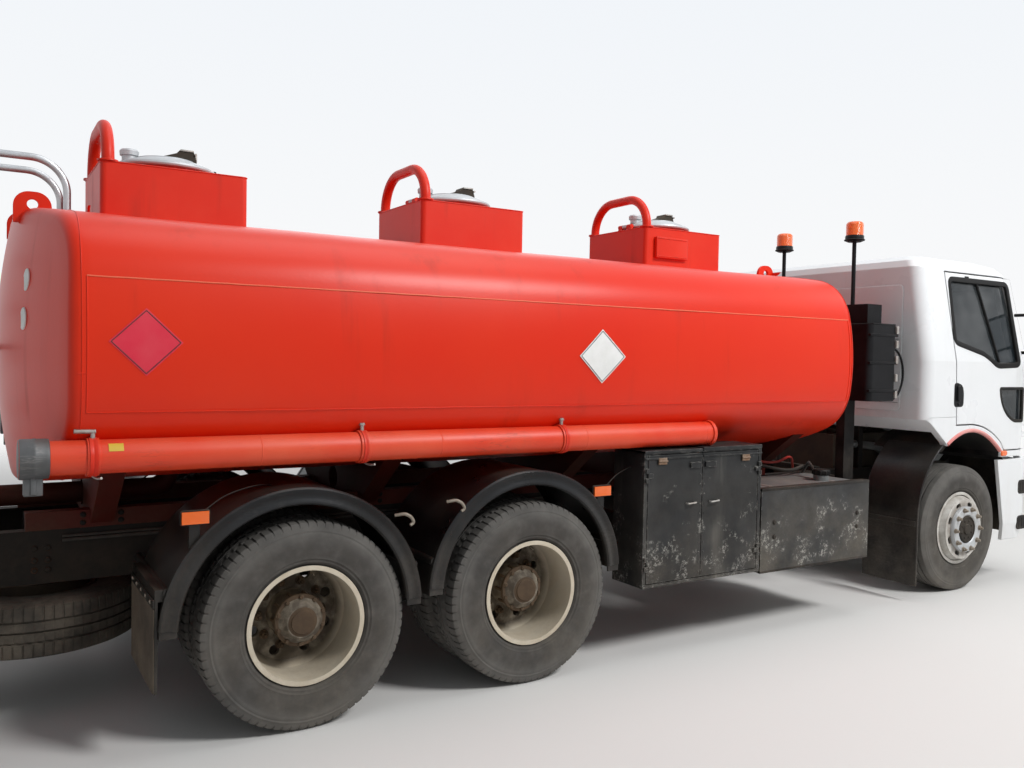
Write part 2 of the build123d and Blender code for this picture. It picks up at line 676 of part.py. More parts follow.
def hatch_hinge():
    """The lid hinge, turned so that its axis is along Y and its moving leaf points to +X."""
    fixed, moving = hinge(150.0, 17.0, LID_PIN_R, 0, 45, 16)
    turn = Location(Plane(origin=(0, 0, 0), x_dir=(1, 0, 0), z_dir=(0, 1, 0)))
    return turn * fixed, turn * moving


def hatch_box(rear_x, barrel):
    """Raised box round a manhole, with its collar, hinge posts and tube arch."""
    x = (rear_x, rear_x + HATCH_LENGTH)
    middle = rear_x + HATCH_LENGTH / 2
    shell = block(x, (-HATCH_HALF, HATCH_HALF), (TANK_Z + TANK_HALF_HEIGHT - 120, HATCH_TOP))
    shell = fillet(shell.edges().filter_by(Axis.Z), HATCH_CORNER)
    collar_top = HATCH_TOP + COLLAR_RISE
    collar = rod((middle, 0, HATCH_TOP - 5), (middle, 0, collar_top), MANHOLE_R + COLLAR_WALL)
    manhole = rod((middle, 0, collar_top - MANHOLE_DEPTH), (middle, 0, collar_top + 1), MANHOLE_R)
    arch_x = rear_x + ARCH_IN
    foot_y = HATCH_HALF - ARCH_R - 6
    foot_z = HATCH_TOP - 5
    top_z = ARCH_TOP - ARCH_R
    corners = ((-foot_y, foot_z), (-foot_y, top_z), (foot_y, top_z), (foot_y, foot_z))
    arch = bent_tube([(arch_x, y, z) for y, z in corners], ARCH_R, ARCH_BEND)
    fixed, _ = hatch_hinge()
    axis_x = middle - LID_R - LID_HINGE_OUT
    axis_z = collar_top + LID_RIM / 2
    posts = Pos(axis_x, 0, axis_z) * fixed
    for side in (1, -1):
        posts += on_side(block((axis_x - 14, axis_x + 14), (26, 74), (HATCH_TOP - 5, axis_z)), side)
    return shell - barrel + collar + arch + posts - manhole


def lid(rear_x):
    """Domed lid with its hinge leaf and front latch."""
    middle = rear_x + HATCH_LENGTH / 2
    seat = HATCH_TOP + COLLAR_RISE + SEAT_GAP
    dome_r = (LID_R**2 + LID_DOME**2) / (2 * LID_DOME)
    rim = rod((middle, 0, seat), (middle, 0, seat + LID_RIM), LID_R)
    cap = Pos(middle, 0, seat + LID_RIM + LID_DOME - dome_r) * Sphere(dome_r)
    cap &= rod((middle, 0, seat + LID_RIM - 1), (middle, 0, seat + LID_RIM + LID_DOME + 1), LID_R)
    _, moving = hatch_hinge()
    axis_x = middle - LID_R - LID_HINGE_OUT
    leaf = Pos(axis_x, 0, HATCH_TOP + COLLAR_RISE + LID_RIM / 2) * moving
    latch = block((middle + LID_R - 20, middle + LID_R + 45), (-22, 22), (seat, seat + LID_RIM))
    return rim + cap + leaf + latch


def hose_tubes(barrel):
    """Long closed hose tube on each flank, with end caps, straps and brackets to the tank."""
    rear, front = HOSE_ENDS
    tube = rod((rear, HOSE_Y, HOSE_Z), (front, HOSE_Y, HOSE_Z), HOSE_R)
    tube += rod((rear - HOSE_CAP_LENGTH, HOSE_Y, HOSE_Z), (rear, HOSE_Y, HOSE_Z), HOSE_CAP_R)
    tube += rod((front, HOSE_Y, HOSE_Z), (front + 25, HOSE_Y, HOSE_Z), HOSE_CAP_R)
    latch_x = (rear - HOSE_CAP_LENGTH + 20, rear - 20)
    tube += block(latch_x, (HOSE_Y - 25, HOSE_Y + 25), (HOSE_Z - HOSE_CAP_R - 70, HOSE_Z - 40))
    for x in HOSE_STRAP_XS:
        ends = (x - HOSE_STRAP_WIDTH / 2, x + HOSE_STRAP_WIDTH / 2)
        tube += rod((ends[0], HOSE_Y, HOSE_Z), (ends[1], HOSE_Y, HOSE_Z), HOSE_R + HOSE_STRAP_THICK)
        tube += block(ends, (HOSE_Y - 330, HOSE_Y), (HOSE_Z - 40, HOSE_Z + 40)) - barrel
    pieces = Compound([tube, other_side(tube)])
    return pieces


def rear_ladder(barrel):
    """Two bent side tubes from the rear cross member over the tank's top, with rungs."""
    foot = RAIL_TOP - 20 + SEAT_GAP
    sides = []
    for y in (-LADDER_HALF, LADDER_HALF):
        sides.append(bent_tube(
            [(LADDER_X, y, foot), (LADDER_X, y, LADDER_TOP), (LADDER_FRONT_X, y, LADDER_TOP),
             (LADDER_FRONT_X, y, TANK_Z + TANK_HALF_HEIGHT - 40)],
            LADDER_TUBE_R, LADDER_BEND,
        ))
        sides.append(rod((LADDER_X, y, TANK_Z), (TANK_REAR_EDGE - 100, y, TANK_Z), RUNG_R))
    z = foot + RUNG_PITCH
    while z < LADDER_TOP - LADDER_BEND:
        sides.append(rod((LADDER_X, -LADDER_HALF, z), (LADDER_X, LADDER_HALF, z), RUNG_R))
        z += RUNG_PITCH
    return merged(sides) - barrel


def outlet_pipe(barrel):
    """Drain pipe from the tank's floor to a flanged outlet at the rear."""
    route = [(OUTLET_FROM, 0, TANK_Z), (OUTLET_FROM, 0, OUTLET_Z), (OUTLET_END, 0, OUTLET_Z)]
    pipe = bent_tube(route, OUTLET_R, OUTLET_R * 1.6)
    pipe += rod((OUTLET_END, 0, OUTLET_Z), (OUTLET_END + 22, 0, OUTLET_Z), OUTLET_R + 40)
    bore = rod((OUTLET_END - 1, 0, OUTLET_Z), (OUTLET_END + OUTLET_DEPTH, 0, OUTLET_Z), OUTLET_BORE_R)
    return pipe - barrel - bore


def cabinet():
    """Steel cabinet in two bays, with its lid strips and bracket arms."""
    y = (-BODY_HALF, -CABINET_INNER)
    body = block(CABINET_X, y, CABINET_Z)
    wall = CABINET_WALL
    mouth_x = (CABINET_X[0] + CABINET_STRIP, CABINET_X[1] - CABINET_STRIP)
    mouth_z = (CABINET_Z[0] + wall, CABINET_Z[1] - wall)
    body -= block(mouth_x, (y[0] - 1, y[0] + CABINET_DOOR_THICK + SEAT_GAP), mouth_z)
    edge = wall + 20
    bays = (
        (CABINET_X[0] + edge, CABINET_SPLIT - wall / 2),
        (CABINET_SPLIT + wall / 2, CABINET_X[1] - edge),
    )
    for bay, rise in zip(bays, CABINET_LID_RISES):
        body -= block(bay, (y[0] - 1, y[1] - wall), (mouth_z[0] + 20, mouth_z[1] - 20))
        body += block(bay, y, (CABINET_Z[1], CABINET_Z[1] + rise))
    for x in (CABINET_X[0] + 150, CABINET_X[1] - 150):
        body += block((x - 40, x + 40), (y[1], -RAIL_Y - SEAT_GAP), (RAIL_BOTTOM + 60, RAIL_BOTTOM + 160))
    for fixed, _ in cabinet_hinges():
        body += fixed
    return body


def cabinet_hinges():
    """Hinges of the two cabinet doors: each door's fixed leaves and moving leaves."""
    pairs = []
    for x, toward in ((CABINET_X[0] + CABINET_STRIP, 1), (CABINET_X[1] - CABINET_STRIP, -1)):
        fixed_parts, moving_parts = [], []
        for z in (CABINET_Z[0] + 150, CABINET_Z[1] - 150):
            fixed, moving = hinge(90.0, 6.0, 3.0, 22, 34, 13)
            origin = (x + toward * DOOR_GAP / 2, -BODY_HALF - 6.5, z)
            place = Location(Plane(origin=origin, x_dir=(toward, 0, 0), z_dir=(0, 0, 1)))
            fixed_parts.append(place * fixed)
            moving_parts.append(place * moving)
        pairs.append((merged(fixed_parts), merged(moving_parts)))
    return pairs


def cabinet_doors():
    """The two cabinet doors with their hinge leaves and handles."""
    doors = {}
    y = (-BODY_HALF, -BODY_HALF + CABINET_DOOR_THICK)
    z = (CABINET_Z[0] + CABINET_WALL + DOOR_GAP, CABINET_Z[1] - CABINET_WALL - DOOR_GAP)
    half_gap = DOOR_GAP / 2
    edge = CABINET_STRIP + DOOR_GAP
    spans = (
        ("rear", (CABINET_X[0] + edge, CABINET_SPLIT - half_gap)),
        ("front", (CABINET_SPLIT + half_gap, CABINET_X[1] - edge)),
    )
    for (name, x), (_, leaves) in zip(spans, cabinet_hinges()):
        door = block(x, y, z)
        grip_x = x[1] - 60 if name == "rear" else x[0] + 60
        door += block((grip_x - 45, grip_x + 45), (y[0] - 14, y[0]), (z[1] - 90, z[1] - 55))
        doors[f"cabinet_door_{name}"] = door + leaves
    return doors


def fuel_tank():
    """Rounded fuel tank on the right with filler neck, straps and bracket arms."""
    body = block(FUEL_X, (-FUEL_Y[1], -FUEL_Y[0]), FUEL_Z)
    body = fillet(body.edges().filter_by(Axis.X), FUEL_CORNER)
    neck_x, neck_y = FUEL_X[1] - 250, 150 - FUEL_Y[1]
    body += rod((neck_x, neck_y, FUEL_Z[1] - 5), (neck_x, neck_y, FUEL_Z[1] + 45), 55)
    for x in (FUEL_X[0] + 200, FUEL_X[1] - 200):
        arm_z = (RAIL_BOTTOM + 20, RAIL_BOTTOM + 120)
        body += block((x - 45, x + 45), (-FUEL_Y[0] - 40, -RAIL_Y - SEAT_GAP), arm_z)
    return body


def fuel_guard():
    """Side guard panel in front of the fuel tank, with a folded top lip and stays to the tank's arms."""
    panel = block(GUARD_X, (-BODY_HALF, -BODY_HALF + GUARD_WALL), GUARD_Z)
    lip = block(GUARD_X, (-BODY_HALF, -BODY_HALF + GUARD_LIP), (GUARD_Z[1] - GUARD_WALL, GUARD_Z[1]))
    foot = block(GUARD_X, (-BODY_HALF, -BODY_HALF + GUARD_LIP), (GUARD_Z[0], GUARD_Z[0] + GUARD_WALL))
    stays = []
    for x in (GUARD_X[0] + 130, GUARD_X[1] - 130):
        middle = (FUEL_Z[0] + FUEL_Z[1]) / 2
        stays.append(block((x - 25, x + 25), (-BODY_HALF, -FUEL_Y[1] - SEAT_GAP), (middle - 60, middle + 60)))
    return merged([panel, lip, foot] + stays)


def battery_box():
    """Battery box and three air tanks on the truck's left, on one bracket rail."""
    box = block(BATTERY_X, BATTERY_Y, BATTERY_Z)
    box = fillet(box.edges().filter_by(Axis.X), 25)
    arm_y = (RAIL_Y + SEAT_GAP, BATTERY_Y[0])
    box += block((BATTERY_X[0] + 60, BATTERY_X[1] - 60), arm_y, (RAIL_BOTTOM + 60, RAIL_BOTTOM + 180))
    return box


def air_tanks():
    """Air reservoirs side by side on the truck's left, with their hanger."""
    parts = []
    for y in AIR_TANK_YS:
        cylinder = rod((AIR_TANK_X[0], y, AIR_TANK_Z), (AIR_TANK_X[1], y, AIR_TANK_Z), AIR_TANK_R)
        ends = cylinder.edges().filter_by(GeomType.CIRCLE)
        parts.append(chamfer(ends, 30))
    for x in (AIR_TANK_X[0] + 200, AIR_TANK_X[1] - 200):
        top = AIR_TANK_Z + AIR_TANK_R
        parts.append(block((x - 30, x + 30), (RAIL_Y + SEAT_GAP, AIR_TANK_YS[-1] + 40), (top - 30, top + 50)))
    return merged(parts)


def mudguards(side):
    """One side's two arches over the twin wheels, with skirts, stays and flap, and its front mudguard."""
    y = (FENDER_INNER_Y, BODY_HALF)
    parts = []
    for x, z, r in FENDER_ARCHES:
        ring = rod((x, y[0], z), (x, y[1], z), r)
        hollow = rod((x, y[0] - 1, z), (x, y[1] - FENDER_WALL, z), r - FENDER_WALL)
        mouth = rod((x, y[0] - 1, z), (x, y[1] + 1, z), r - FENDER_SKIRT)
        below = block((x - r - 1, x + r + 1), (y[0] - 1, y[1] + 1), (z - r - 1, z))
        parts.append(ring - hollow - mouth - below)
    stay_z = RAIL_BOTTOM + 90
    for x in FENDER_STAY_XS:
        parts.append(rod((x, RAIL_Y + SEAT_GAP, stay_z), (x, y[1] - FENDER_WALL, stay_z), FENDER_STAY_R))
    flap = block((FLAP_X, FLAP_X + FLAP_THICK), (y[0] + 20, y[1] - 20), FLAP_Z)
    parts += [flap, block((FLAP_X, FENDER_STAY_XS[0]), (y[0] + 20, y[1] - 20), (FLAP_Z[1] - 20, stay_z + 15))]
    for (x, z), (arch_x, arch_z, r) in zip(MARKERS, FENDER_ARCHES):
        foot = arch_z + sqrt((r - FENDER_WALL)**2 - (x - arch_x)**2) - 15
        plate_y = (y[1] - MARKER_DEPTH - 12, y[1] - MARKER_DEPTH - SEAT_GAP)
        parts.append(block((x - 25, x + 25), plate_y, (foot, z + 24)))
    return on_side(Compound([merged(parts), front_mudguard()]), side)


def front_mudguard():
    """Quarter arch behind the left front wheel, with its flap, on a bracket to the frame."""
    y = GUARD_ARCH_Y
    centre = (GUARD_ARCH_X, GUARD_ARCH_Z)
    ring = rod((centre[0], y[0], centre[1]), (centre[0], y[1], centre[1]), GUARD_ARCH_R)
    ring -= rod((centre[0], y[0] - 1, centre[1]), (centre[0], y[1] + 1, centre[1]), GUARD_ARCH_R - 14)
    keep = block((centre[0] - GUARD_ARCH_R, GUARD_ARCH_END), y, (centre[1], centre[1] + GUARD_ARCH_R))
    arch = ring & keep
    flap_x = centre[0] - GUARD_ARCH_R
    arch += block((flap_x, flap_x + 14), y, (GUARD_FLAP_FOOT, centre[1]))
    stay_z = RAIL_BOTTOM + 60
    arch += rod((flap_x + 30, RAIL_Y + SEAT_GAP, stay_z), (flap_x + 30, y[0] + 200, stay_z), 21)
    return arch


def cab_section(row, inset):
    """Plan section of the cab: straight flanks, round corners and a bowed front."""
    z, half, rear, front = row
    width = 2 * (half - inset)
    slab = Pos((rear + inset + front + 200) / 2, 0) * Rectangle(front + 200 - rear - inset, width)
    bow_r = CAB_BOW_R - inset
    plan = slab & (Pos(front - CAB_BOW_R, 0) * Circle(bow_r))
    plan = fillet(plan.vertices().group_by(Axis.X)[-1], CAB_CORNER_R - inset)
    plan = fillet(plan.vertices().group_by(Axis.X)[0], max(CAB_REAR_R - inset, 20))
    return (Pos(0, 0, z) * plan).face()


def cab_form(inset):
    """Closed form of the whole cab, drawn in by an inset on the sides, ends and roof."""
    rows = [(z - (inset if z > WAIST_Z else 0), half, rear, front) for z, half, rear, front in CAB_SECTIONS]
    return loft([cab_section(row, inset) for row in rows], ruled=True)


def door_outline():
    """Door outline in x and z: raked front edge, and a foot that follows the wheel arch."""
    foot = ThreePointArc(*DOOR_FOOT)
    rear_foot, _, front_foot = DOOR_FOOT
    before = Polyline((DOOR_FRONT, DOOR_TOE[1]), DOOR_TOE, front_foot)
    after = Polyline(
        rear_foot, (DOOR_REAR, DOOR_SILL), (DOOR_REAR - DOOR_REAR_LEAN, DOOR_TOP),
        (DOOR_FRONT - DOOR_FRONT_LEAN, DOOR_TOP), (DOOR_FRONT, WAIST_Z - 20), (DOOR_FRONT, DOOR_TOE[1]),
    )
    return make_face([before, foot, after])


def window_outline():
    """Side window in x and z, with the sill that drops towards the front."""
    return outline(WINDOW)


def kerb_window_outline():
    """Low window in the kerb-side door, with its curved rear edge."""
    return make_face([ThreePointArc(*KERB_WINDOW_ARC), Polyline(*KERB_WINDOW_CORNERS)])


def side_prism(face, side):
    """Extrude an outline in x and z through one flank of the cab."""
    return on_side(side_plate(face, (850, BODY_HALF + 60)), side)


def windscreen_prism():
    """Windscreen aperture, cut along X."""
    low, high = SCREEN_Z
    right = [(SCREEN_LOW_HALF, low), (SCREEN_HIGH_HALF, high)]
    corners = right + [(-y, z) for y, z in reversed(right)]
    return cross_plate(outline(corners), (SCREEN_FROM_X, BUMPER_FRONT))


def grille_prism():
    """Grille aperture, cut along X."""
    return block((SCREEN_FROM_X, BUMPER_FRONT), (-GRILLE_HALF, GRILLE_HALF), GRILLE_Z)


def door_axis(side):
    """Upright axis of a cab door, just behind its front edge and close to its outer face."""
    return DOOR_FRONT - DOOR_AXIS_BACK, side * DOOR_AXIS_Y


def door_hinges(side):
    """Fixed and moving leaves of one cab door's two hinges, and the relief they need."""
    x, y = door_axis(side)
    fixed_parts, moving_parts, reliefs = [], [], []
    for z in DOOR_HINGE_ZS:
        fixed, moving = hinge(150.0, 15.0, 8.0, 42, 42, 18)
        place = Location(Plane(origin=(x, y, z), x_dir=(-1, 0, 0), z_dir=(0, 0, 1)))
        fixed_parts.append(place * fixed)
        moving_parts.append(place * moving)
        reliefs.append(rod((x, y, z - 81), (x, y, z + 81), 22))
    return merged(fixed_parts), merged(moving_parts), merged(reliefs)


def cab_hollow():
    """Space inside the cab above its floor and footwell."""
    hollow = cab_form(CAB_WALL)
    # Floor pieces: x from and to, top
    floors = (
        (CAB_REAR - 1, FOOTWELL_X, CAB_FLOOR + CAB_FLOOR_THICK),
        (CAB_REAR - 1, FLOOR_STEP_X, FLOOR_STEP_Z),
        (FOOTWELL_X - 1, BUMPER_FRONT, CAB_BOTTOM + CAB_WALL),
    )
    for rear, front, top in floors:
        hollow -= block((rear, front), (-BODY_HALF, BODY_HALF), (CAB_BOTTOM - 1, top))
    return hollow


def cab_underside():
    """What is cut away below the cab: the rear corner cut, the wheel arches and the engine space."""
    arch = ThreePointArc(*CAB_ARCH)
    top = Polyline(*CAB_REAR_CUT, CAB_ARCH[0])
    below = CAB_BOTTOM - 1
    rest = Polyline(CAB_ARCH[-1], (CAB_ARCH_FRONT, below), (CAB_REAR_CUT[0][0], below), CAB_REAR_CUT[0])
    side_cut = side_plate(make_face([top, arch, rest]), (-BODY_HALF - 10, BODY_HALF + 10))
    middle = BODY_HALF - CAB_WALL
    under = block((CAB_REAR - 1, FOOTWELL_X - CAB_WALL), (-middle, middle), (CAB_BOTTOM - 1, CAB_FLOOR))
    return side_cut, under


def cab_doors(layer):
    """Both doors, each cut from the given layer of the cab's form, with their glass panes."""
    nodes = {}
    pane_layer = cab_form(GLASS_INSET) - cab_form(GLASS_INSET + GLASS_THICK)
    for side, name in ((1, "left"), (-1, "right")):
        windows = [side_prism(window_outline(), side)]
        if side < 0:
            windows.append(side_prism(kerb_window_outline(), side))
        _, leaves, relief = door_hinges(side)
        door = layer & side_prism(door_outline(), side)
        for window in windows:
            door -= window
        door -= relief
        nodes[f"door_{name}"] = door + leaves
        nodes[f"door_glass_{name}"] = Compound([pane_layer & window for window in windows])
    return nodes


def cab():
    """Shell, doors, glass and grille of the cab."""
    inner = cab_form(CAB_WALL)
    side_cut, under = cab_underside()
    layer = cab_form(0) - side_cut
    walls = layer - under - cab_hollow()
    nodes = cab_doors(layer - cab_form(CAB_WALL - DOOR_INNER_GAP))
    wall_layer = layer - inner
    shell = walls
    for side in (1, -1):
        gap = offset(door_outline(), amount=CAB_DOOR_GAP, kind=Kind.INTERSECTION)
        fixed, _, relief = door_hinges(side)
        shell = shell - (side_prism(gap, side) & wall_layer) - relief + fixed
    shell = shell - windscreen_prism() - grille_prism()
    for side in (1, -1):
        lug_y = (TILT_LUG_Y, TILT_LUG_Y + 50)
        x, z = TILT_AXIS
        lug = rod((x, lug_y[0], z), (x, lug_y[1], z), 32)
        lug += block((x - 32, x + 32), lug_y, (z, CAB_BOTTOM + 5))
        lug -= rod((x, lug_y[0] - 1, z), (x, lug_y[1] + 1, z), TILT_PIN_R + RUNNING_GAP)
        shell += on_side(lug, side)
    nodes["cab_shell"] = shell
    pane_layer = cab_form(GLASS_INSET) - cab_form(GLASS_INSET + GLASS_THICK)
    nodes["windscreen"] = pane_layer & windscreen_prism()
    nodes["grille"] = grille()
    return nodes


def grille():
    """Front grille: a backing panel with bowed slats that follow the cab's front."""
    frame_layer = cab_form(6) - cab_form(CAB_WALL)
    back_layer = cab_form(CAB_WALL - 15) - cab_form(CAB_WALL)
    low, high = GRILLE_Z
    half = GRILLE_HALF
    x = (SCREEN_FROM_X, BUMPER_FRONT)
    panel = back_layer & block(x, (-half, half), (low, high))
    z = low
    while z < high:
        panel += frame_layer & block(x, (-half, half), (z, min(z + GRILLE_SLAT, high)))
        z += GRILLE_PITCH
    return panel


def bumper_form(inset):
    """Closed form of the bumper, drawn in by an inset."""
    rows = [
        (BUMPER_Z[0], BODY_HALF - 25, BUMPER_FROM_X, BUMPER_FRONT - 40),
        (BUMPER_Z[0] + 140, BODY_HALF - 5, BUMPER_FROM_X, BUMPER_FRONT),
        (BUMPER_SIDE_TOP, BODY_HALF - 5, BUMPER_FROM_X, BUMPER_FRONT),
    ]
    return loft([cab_section(row, inset) for row in rows], ruled=True)


def bumper():
    """Wrap-round bumper with its carriers, and the headlamps that fill its pockets."""
    shell = bumper_form(0) - bumper_form(BUMPER_WALL)
    before = BUMPER_FROM_X - 1
    rear_cut = outline([(before, BUMPER_Z[0] - 1), *BUMPER_REAR_EDGE, (before, BUMPER_SIDE_TOP + 1)])
    shell -= side_plate(rear_cut, (-BODY_HALF, BODY_HALF))
    face_x = (RAIL_FRONT - 290, BUMPER_FRONT + 1)
    shell -= block(face_x, (-BUMPER_STEP_HALF, BUMPER_STEP_HALF), (BUMPER_Z[1], BUMPER_SIDE_TOP + 1))
    shell -= block(face_x, (-INTAKE_HALF, INTAKE_HALF), INTAKE_Z)
    pockets = [on_side(block(face_x, LAMP_Y, LAMP_Z), side) for side in (1, -1)]
    lamps = Compound([shell & pocket for pocket in pockets])
    for pocket in pockets:
        shell -= pocket
    for side in (1, -1):
        carrier = block((RAIL_FRONT + SEAT_GAP, BUMPER_FRONT - 10), (350, 420), CARRIER_Z)
        shell += on_side(carrier & bumper_form(5), side)
    return {"bumper": shell, "headlamps": lamps}


def cab_carriers():
    """Tilt brackets at the frame's front and rest posts under the cab's rear, as one list."""
    parts = []
    x, z = TILT_AXIS
    low, high = TILT_BRACKET_Y
    web = outline([
        (RAIL_FRONT - 60, CARRIER_Z[1] + 10), (RAIL_FRONT, CARRIER_Z[1] + 10), (x + 30, z - 10),
        (x + 12, z + 28), (x - 20, z + 25), (RAIL_FRONT - 60, RAIL_TOP - 10),
    ])
    for side in (1, -1):
        plate = side_plate(web, (low, high)) + rod((x, low, z), (x, high, z), 32)
        plate += rod((x, low, z), (x, TILT_LUG_Y + 56, z), TILT_PIN_R)
        post = block(CAB_POST_X, (low, high), (RAIL_TOP - 5, CAB_FLOOR - SEAT_GAP))
        parts += [on_side(plate, side), on_side(post, side)]
    return parts


def seats():
    """Two seats, each a base, a cushion and a back."""
    parts = []
    floor = CAB_FLOOR + CAB_FLOOR_THICK + SEAT_GAP
    for side in (1, -1):
        y = (SEAT_Y - 240, SEAT_Y + 240)
        base = block((SEAT_X - 180, SEAT_X + 180), (SEAT_Y - 170, SEAT_Y + 170), (floor, floor + 220))
        cushion = block((SEAT_X - 240, SEAT_X + 250), y, (floor + 220, floor + 350))
        back = Pos(SEAT_X - 215, SEAT_Y, floor + 300) * Rot(0, -10, 0) * Box(
            110, 460, 660, align=(Align.CENTER, Align.CENTER, Align.MIN))
        head = Pos(SEAT_X - 335, SEAT_Y, floor + 960) * Rot(0, -10, 0) * Box(90, 260, 160)
        back = fillet(back.edges().filter_by(Axis.Y), 30)
        head = fillet(head.edges().filter_by(Axis.Y), 25)
        seat = merged([base, cushion, back, head])
        parts.append(on_side(seat, side))
    return Compound(parts)


def dashboard():
    """Dashboard across the cab, with the steering column and wheel on the left."""
    inside = cab_form(CAB_WALL + SEAT_GAP)
    body = side_plate(outline(DASH_OUTLINE), (-BODY_HALF, BODY_HALF)) & inside
    dash_x, dash_z = DASH_OUTLINE[0]
    notch_z = (dash_z - 20, DASH_OUTLINE[3][1] + 20)
    notch = block((dash_x - 10, DASH_PILLAR_X), (DASH_HALF, BODY_HALF), notch_z)
    body -= [notch, other_side(notch)]
    leg_z = (CAB_BOTTOM + CAB_WALL + SEAT_GAP, dash_z + 20)
    leg = block((dash_x + 30, dash_x + 190), (SEAT_Y - 60, SEAT_Y + 60), leg_z)
    hub = Vector(STEER_HUB[0], SEAT_Y, STEER_HUB[1])
    axis = Vector(-sin(radians(STEER_LEAN)), 0, cos(radians(STEER_LEAN)))
    column = rod(tuple(hub - axis * COLUMN_LENGTH), tuple(hub), 28)
    ring_plane = Plane(origin=hub, x_dir=(0, 1, 0), z_dir=axis)
    ring = ring_plane * (Cylinder(STEER_R, 26) - Cylinder(STEER_R - 26, 26))
    spokes = ring_plane * (Box(2 * STEER_R - 20, 40, 16) + Pos(0, STEER_R / 2) * Box(40, STEER_R - 20, 16))
    return body + leg + column + ring + spokes


def mirrors():
    """Mirror housings on arms from the cab's front corners."""
    parts = []
    skin = cab_form(0)
    for side in (1, -1):
        head = block((MIRROR_X - 45, MIRROR_X + 45), (MIRROR_Y - 110, MIRROR_Y + 110), MIRROR_Z)
        head = fillet(head.edges().filter_by(Axis.Z), 30)
        arms = [head]
        for z in (MIRROR_Z[0] + 60, MIRROR_Z[1] - 60):
            arms.append(rod((MIRROR_X, MIRROR_Y - 305, z), (MIRROR_X, MIRROR_Y, z), 14))
        arm = merged(arms) - skin
        arm = arm.solids().sort_by(SortBy.VOLUME)[-1]
        parts.append(on_side(arm, side))
    return Compound(parts)


def spare_wheel():
    """Spare tyre and rim, lying flat below the rear of the frame, outer face up."""
    place = Pos(SPARE_X, 0, SPARE_Z) * Rot(90, 0, 0)
    inside = RIM_SEAT_R - RIM_WALL
    lip = FLANGE_HALF - 13
    disc_top = TYRE_HALF + 22
    rim = turned([
        (SPARE_BORE_R, TYRE_HALF), (SPARE_BORE_R, disc_top), (DISC_FLAT_R, disc_top), (inside, 96),
        (inside, FLANGE_HALF), (FLANGE_R, FLANGE_HALF), (RIM_SEAT_R, lip), (RIM_SEAT_R, -lip),
        (FLANGE_R, -FLANGE_HALF), (inside, -FLANGE_HALF), (inside, 70), (DISC_FLAT_R - 6, TYRE_HALF),
    ])
    return {"tyre_spare": place * tyre(0), "rim_spare": place * rim}


def side_markers():
    """Amber side markers on brackets at the ends of the rear mudguards."""
    parts = []
    for x, z in MARKERS:
        lens = block((x - 60, x + 60), (BODY_HALF - MARKER_DEPTH, BODY_HALF), (z - 28, z + 28))
        parts += [lens, other_side(lens)]
    for x, y in MASTS:
        base = MAST_TOP + 30
        dome = rod((x, y, base), (x, y, base + BEACON_HEIGHT), BEACON_R)
        parts.append(fillet(dome.edges().filter_by(GeomType.CIRCLE).sort_by(Axis.Z)[-1], 25))
    return Compound(parts)


def air_intake():
    """Air cleaner box behind the cab on its pedestal, with the intake head on top."""
    box = fillet(block(AIR_BOX_X, AIR_BOX_Y, AIR_BOX_Z).edges().filter_by(Axis.Z), 45)
    middle = sum(AIR_BOX_X) / 2
    head_y = (AIR_BOX_Y[0] + 90, AIR_BOX_Y[1] - 90)
    head = block((middle - 85, middle + 85), head_y, (AIR_BOX_Z[1], AIR_HEAD_TOP))
    post_y = (AIR_BOX_Y[1] - 140, AIR_BOX_Y[1] - 60)
    post = block((middle - 60, middle + 60), post_y, (RAIL_TOP - 60, AIR_BOX_Z[0]))
    foot = block((middle - 60, middle + 60), (post_y[1], -RAIL_Y - SEAT_GAP), (RAIL_TOP - 60, RAIL_TOP))
    return merged([box, head, post, foot])


def beacon_masts():
    """Poles with a black base under each beacon, tied to the intake and the frame."""
    parts = []
    for (x, y), foot in zip(MASTS, (AIR_HEAD_TOP + SEAT_GAP, RAIL_TOP + SEAT_GAP)):
        pole = rod((x, y, foot), (x, y, MAST_TOP), MAST_R)
        pole += rod((x, y, MAST_TOP), (x, y, MAST_TOP + 30), BEACON_R - 6)
        parts.append(pole)
    x = MASTS[1][0]
    parts[1] += block((x - 30, x + 30), (-RAIL_Y, RAIL_Y), (RAIL_TOP + SEAT_GAP, RAIL_TOP + 36))
    return Compound(parts)


def tail_lamps():
    """Lamp clusters standing on the underrun bar."""
    x = (UNDERRUN_REAR + 10, UNDERRUN_REAR + 60)
    z = UNDERRUN_Z[1] + SEAT_GAP
    lamp = block(x, (TAIL_LAMP_Y[0], TAIL_LAMP_Y[1]), (z, z + TAIL_LAMP_HEIGHT))
    return Compound([lamp, other_side(lamp)])


